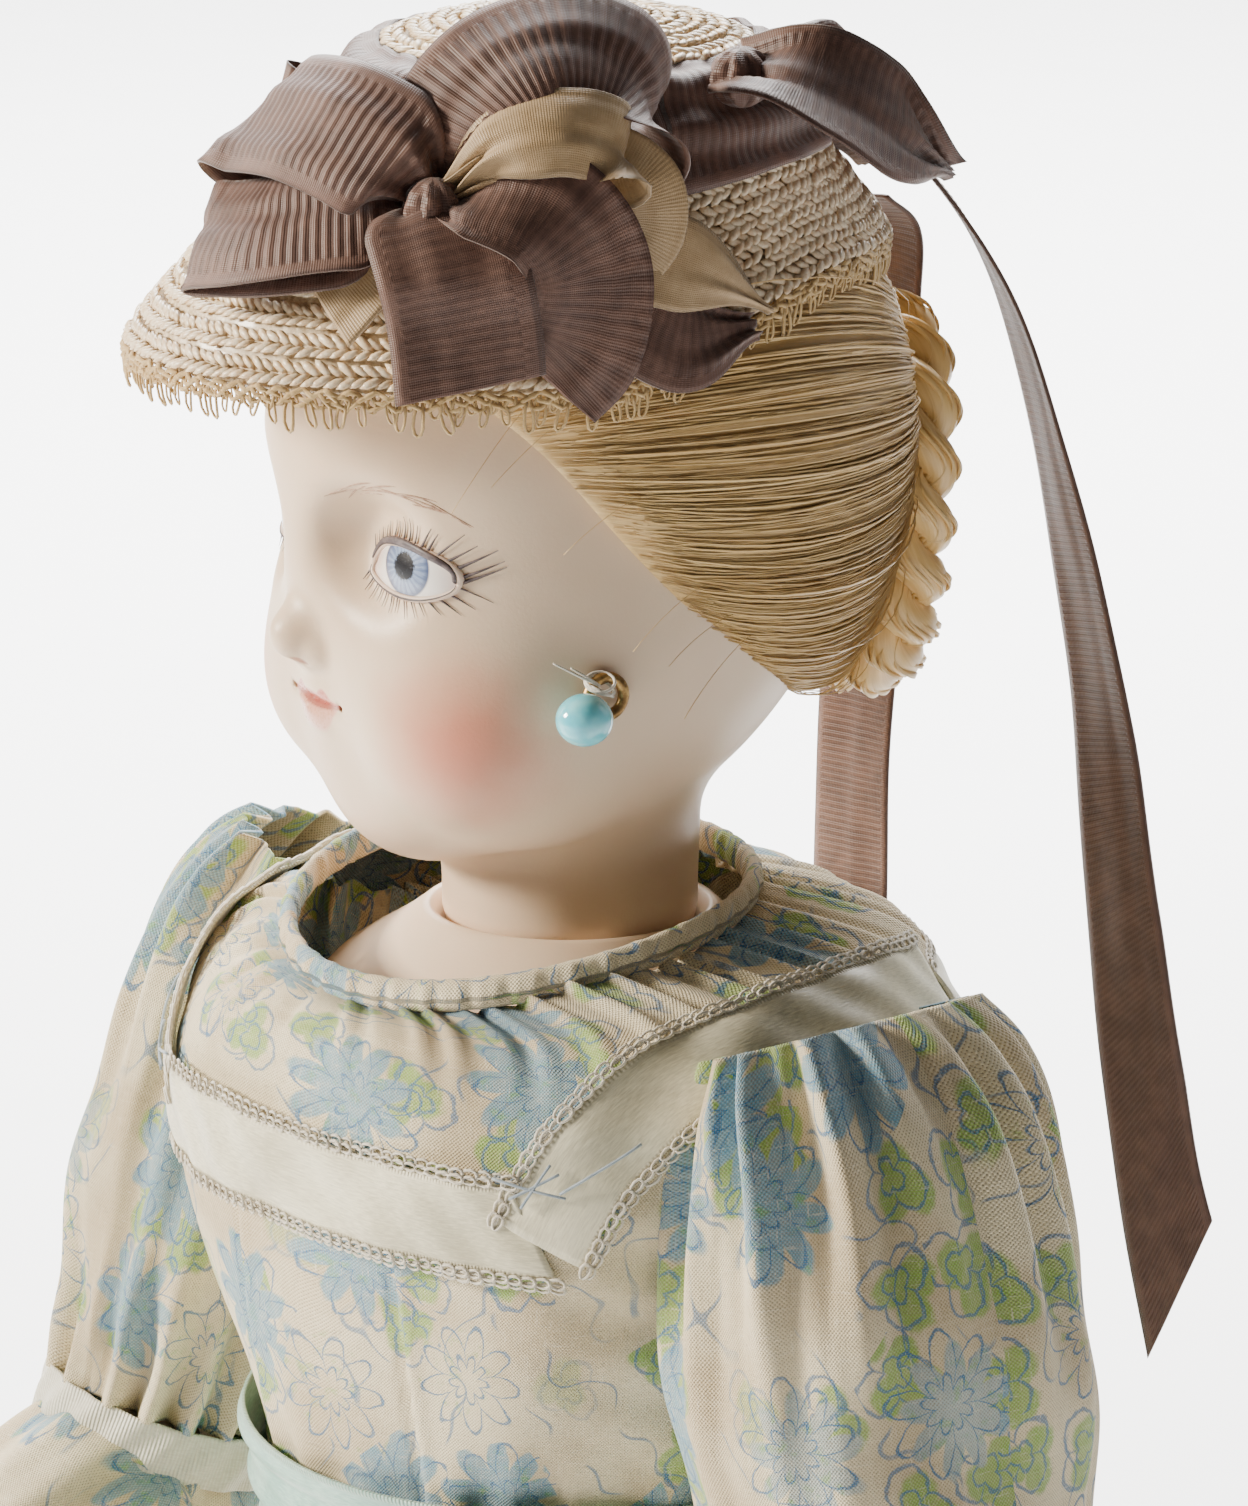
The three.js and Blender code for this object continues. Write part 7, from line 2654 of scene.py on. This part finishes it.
@dataclass
class Body:
    """The stuffed cloth body on its bisque shoulder plate, with its arms, legs, boots and neck fitting."""

    plate: Lofted = field(default_factory=lambda: Lofted(((281, 31, 24, 0, 0, 2), (286, 33, 25, 0, 0, 2),
            (291, 34, 25.5, 0, 0, 2), (296, 34.2, 25.7, 0, 0, 2), (300, 33.5, 25.5, 0, 0, 2),
            (303.4, 31.4, 24.8, 0, 0, 2), (306, 28.5, 23.5, 0, 0, 2), (308.3, 25.0, 21.8, 0, 0, 2),
            (310, 22, 20, 0, 0, 2), (311.6, 19.3, 18.3, 0, 0, 2), (312.9, 17.4, 17, 0, 0, 2),
            (313.8, 16.2, 16.1, 0, 0, 2))))

    def build_plate(self, bisque: Material) -> None:
        """Cast the shoulder plate with its rounded rim and the cup under it."""
        angles = even_angles(128)
        outside = self.plate.surface(np.linspace(281, 313.8, 60), angles)
        rings = [outside]

        def circle(radius: float, height: float) -> Array:
            """Make one level circle."""
            return np.stack([radius * np.cos(angles), radius * np.sin(angles), np.full(128, height)],
                            -1)[None]

        rings += [circle(15.6, 314.1), circle(15.1, 314.0), circle(14.75, 313.4)]
        rings += [circle(14.7 * math.cos(a), 317 + 14.7 * math.sin(a))
                  for a in np.radians(np.linspace(-16, -74, 14))]
        rings += [circle(3.5, 302.7), circle(3.5, 299.8), circle(8, 300.3), circle(12.5, 302.4),
                  circle(15.6, 305.2)]
        inside = self.plate.surface(np.linspace(303, 281.2, 24), angles, -2.6)
        inside[..., 2] -= 1.2 * smooth(290, 296, inside[..., 2])
        rings.append(inside)
        mesh = Mesh()
        mesh.grid(np.concatenate(rings), across=True, along=True)
        mesh.finish("bisque_shoulder_plate", bisque, "torso", "bisque", ["shoulder_plate"])

    def build_torso(self, muslin: Material) -> None:
        """Stuff the cloth torso."""
        stations = [(0, 1, 199.2, 26, 5), (0, 1, 201, 28.5, 11), (0, 1, 205, 30.2, 18.5),
                    (0, 1, 214, 31.4, 23.8), (0, 0.4, 232, 27.6, 22.6), (0, 0, 250, 24, 20),
                    (0, 0, 275, 26.8, 20.8), (0, 0, 288, 28.6, 20.2), (0, 0, 294, 27, 18),
                    (0, 0, 294.8, 20, 12)]
        piece = limb_piece("stuffed_muslin_torso", stations, 110, 96, 0.5)
        dress(piece, muslin, "torso", "muslin", ["stuffed_torso"])

    def build_arm(self, side: Side, muslin: Material, bisque: Material) -> None:
        """Make one arm: a stuffed upper arm and a bisque forearm with a modelled hand."""
        sleeve = Sleeve(side)
        upper = [(47.7, 0, 302.8, 2, 2), (48, 0, 301.6, 4.2, 4.2), (48.3, 0, 297, 6.4, 6.4),
                 (49.8, 0.2, 285.6, 7.5, 7.5), (51.6, 0.4, 273.2, 7.5, 7.5), (54, 0.7, 256, 7.0, 7.0),
                 (55.2, 0.8, 248.4, 6.7, 6.7), (55.7, 0.85, 245.4, 4, 4)]
        piece = limb_piece(f"{side.word}_stuffed_arm", upper, 60, 40, 0.35, sleeve.placed)
        dress(piece, muslin, f"{side.word}_arm", "muslin", [f"{side.word}_upper_arm"])
        elbow, wrist, tips = np.array([57.0, 1, 236]), np.array([54.0, -33, 204]), np.array([52.0, -50,
                185])
        way, down = unit(wrist - elbow), unit(tips - wrist)
        flat = unit(np.cross(down, np.array([1.0, 0, 0])))
        palm = wrist + down * 8.5
        rods = [(elbow, elbow + way * 15, 6.2, 6.4, 0.5), (elbow + way * 15, wrist - way * 6, 6.4, 4.2, 3),
                (wrist - way * 6, wrist + down * 2, 4.1, 3.4, 3)]
        knuckle = wrist + down * 12.5
        for k, (spread, reach) in enumerate(((-3.9, 9.6), (-1.35, 11.4), (1.3, 11.0), (3.8, 8.8))):
            root = knuckle + flat * spread
            middle = root + down * reach * 0.5 + flat * spread * 0.05 + np.array([-0.5, 0, 0])
            end = root + down * reach + flat * spread * 0.04 + np.array([-1.6 - 0.2 * k, 0, 0])
            rods += [(root, middle, 1.45, 1.3, 1.0), (middle, end, 1.3, 0.95, 0.4)]
        thumb = palm + flat * -4.4
        rods += [(wrist + down * 3 + flat * -2, thumb + np.array([-1.6, 0, 0]), 2.3, 1.75, 2.2),
                 (thumb + np.array([-1.6, 0, 0]), thumb + down * 6.0 + flat * -1.2 + np.array([-2.4, 0, 0]),
                  1.6, 1.1, 0.8)]
        blob = Blob(tuple(rods), ((palm, (3.3, 6.0, 6.4), 2.0),))
        piece = blob.build(f"{side.word}_bisque_forearm", (40, -60, 176), (68, 12, 246), 0.9, sleeve.placed)
        dress(piece, bisque, f"{side.word}_forearm", "bisque", [f"{side.word}_forearm"])

    def build_leg(self, side: Side, muslin: Material, bisque: Material, boot: Material, sole: Material,
                  brass: Material) -> None:
        """Make one leg: a stuffed thigh, a bisque shin, and a buttoned boot on its heeled sole."""
        x = 16.0 * side.value
        thigh = [(x, 1, 198.4, 8.6, 1.0), (x, 1, 195.6, 10, 4), (x, 1, 192, 10.6, 6.4),
                 (x, 1, 184.8, 11.5, 10.5), (x, 1, 164, 12.4, 12.4), (x, 1, 129.6, 10.6, 10.6),
                 (x, 1, 110, 9.4, 9.4), (x, 1, 108.6, 6, 6)]
        piece = limb_piece(f"{side.word}_stuffed_thigh", thigh, 80, 48, 0.4)
        body = f"{side.word}_leg"
        dress(piece, muslin, body, "muslin", [f"{side.word}_thigh"])
        shin = [(x, 0.8, 107.6, 3.5, 3.5), (x, 0.9, 105.6, 6.2, 6.2), (x, 1, 100, 8.3, 8.3),
                (x, 1.6, 76.6, 8.9, 9.0), (x, 2.4, 45.4, 6.4, 6.4), (x, 3, 22, 5.2, 5.2),
                (x, 3.2, 14.6, 4.9, 4.9)]
        dress(limb_piece(f"{side.word}_bisque_shin", shin, 80, 48), bisque, body, "bisque",
              [f"{side.word}_shin"])
        rods = (((x, 2.6, 51), (x, 2.8, 38), 8.1, 7.4, 0.5), ((x, 2.8, 38), (x, 3, 20), 7.3, 6.8, 2),
                ((x, 2.6, 20), (x, 2.4, 12), 6.9, 7.4, 2))
        lumps = (((x, -7.5, 8.8), (7.9, 19.5, 5.6), 3.0), ((x, -2, 13), (6.6, 11, 6.5), 3.0))
        shell = Blob(rods, lumps)
        points, quads = shell.mesh((x - 12, -32, 0), (x + 12, 16, 62), 0.9)
        points[:, 2] = np.clip(points[:, 2], 4.1, 52.0)
        crease = (0.35 * np.exp(-((points[:, 1] + 9) / 3) ** 2) * np.sin(points[:, 1] * 2.2) * smooth(9, 13,
                points[:, 2]))
        points[:, 2] += crease
        mesh = Mesh()
        mesh.add_quads(points, quads)
        mesh.finish(f"{side.word}_leather_boot", boot, body, "boot_leather", [f"{side.word}_boot"])
        level = even_angles(80)
        outline = np.stack([x + 8.2 * np.cos(level) * (1 - 0.12 * np.sin(level)),
                            -8 + 20.2 * np.sin(level)], -1)
        rings = [np.column_stack([outline, np.full(80, h)]) for h in (1.9, 2.3, 3.3, 3.7)]
        under = np.stack([np.clip(outline[:, 0], x - 5, x + 5), np.clip(outline[:, 1], -24, -8)], -1)
        base = Mesh()
        base.grid(np.stack(rings), across=True)
        base.cap(0, 80, True)
        base.cap(240, 80, False)
        base.finish(f"{side.word}_leather_sole", sole, body, "sole_leather")
        tread = Mesh()
        tread.grid(np.stack([np.column_stack([under, np.full(80, h)]) for h in (0.0, 2.0)]), across=True)
        tread.cap(0, 80, True)
        tread.cap(80, 80, False)
        heel = np.stack([x + 5.2 * np.cos(level), np.minimum(7.5 + 4.4 * np.sin(level), 11.3)], -1)
        tread.grid(np.stack([np.column_stack([heel, np.full(80, h)]) for h in (0.0, 0.6, 2.0)]),
                   across=True)
        tread.cap(162, 80, True)
        tread.cap(322, 80, False)
        tread.finish(f"{side.word}_tread_and_heel", sole, body, "sole_leather", [f"{side.word}_boot_sole"])
        heights = np.linspace(14, 48, 6)
        places = np.column_stack([np.full(6, x + 7.3 * side.value), np.full(6, 1.0), heights])
        buttons = Scatter(f"{side.word}_boot_buttons", 9, 0.95, 1.05).make(grain_shape(2.2, 2.2, 1.6, 12,
                7), places, np.array([side.value, 0.0, 0.0]), np.array([0, 0, 1.0]), brass)
        dress(buttons, brass, body, "brass")

    def build_fitting(self) -> None:
        """Finish the neck's rod, washer, spring and wing nut, the pate and the pins."""
        steel = Metal("bright_steel", (0.55, 0.55, 0.56), (0.30, 0.30, 0.31)).material()
        brass = Metal("fitting_brass", (0.55, 0.40, 0.18), (0.30, 0.20, 0.09)).material()
        spring = Mesh()
        t = np.linspace(0, 3 * 2 * math.pi, 120)
        coil = np.column_stack([2.9 * np.cos(t), 2.9 * np.sin(t), np.linspace(289.2, 298.4, 120)])
        add_tube(spring, coil, 0.42, 8)
        spring.finish("coil_spring", steel, "neck_fitting", "steel", ["neck_spring"])
        for node, material in (("neck_rod", steel), ("left_shoulder_pin", steel),
                               ("right_shoulder_pin", steel), ("neck_dome_washer", brass),
                               ("wing_nut", brass), ("cork_pate", Cork().material())):
            bpy.data.objects[node].data.materials.clear()
            bpy.data.objects[node].data.materials.append(material)

    def build(self) -> None:
        """Build and dress the whole body."""
        muslin = PlainCloth("body_muslin", (0.66, 0.59, 0.46), (0.50, 0.43, 0.32)).material()
        bisque = Bisque("limb_bisque").material()
        boot = Leather("boot_leather", (0.10, 0.045, 0.025), (0.22, 0.11, 0.06)).material()
        sole = Leather("sole_leather", (0.30, 0.17, 0.09), (0.42, 0.27, 0.15)).material()
        brass = Metal("button_brass", (0.5, 0.36, 0.16), (0.25, 0.17, 0.08)).material()
        self.build_plate(bisque)
        self.build_torso(muslin)
        for side in Side:
            self.build_arm(side, muslin, bisque)
            self.build_leg(side, muslin, bisque, boot, sole, brass)
        self.build_fitting()




def main() -> None:
    """Build every sub-assembly in order."""
    logging.basicConfig(level=logging.INFO, format="%(message)s")
    Studio().build()
    Head().build()
    Hair().build()
    Hat().build()
    Earrings().build()
    Dress().build()
    Body().build()


if __name__ == "__main__":
    main()
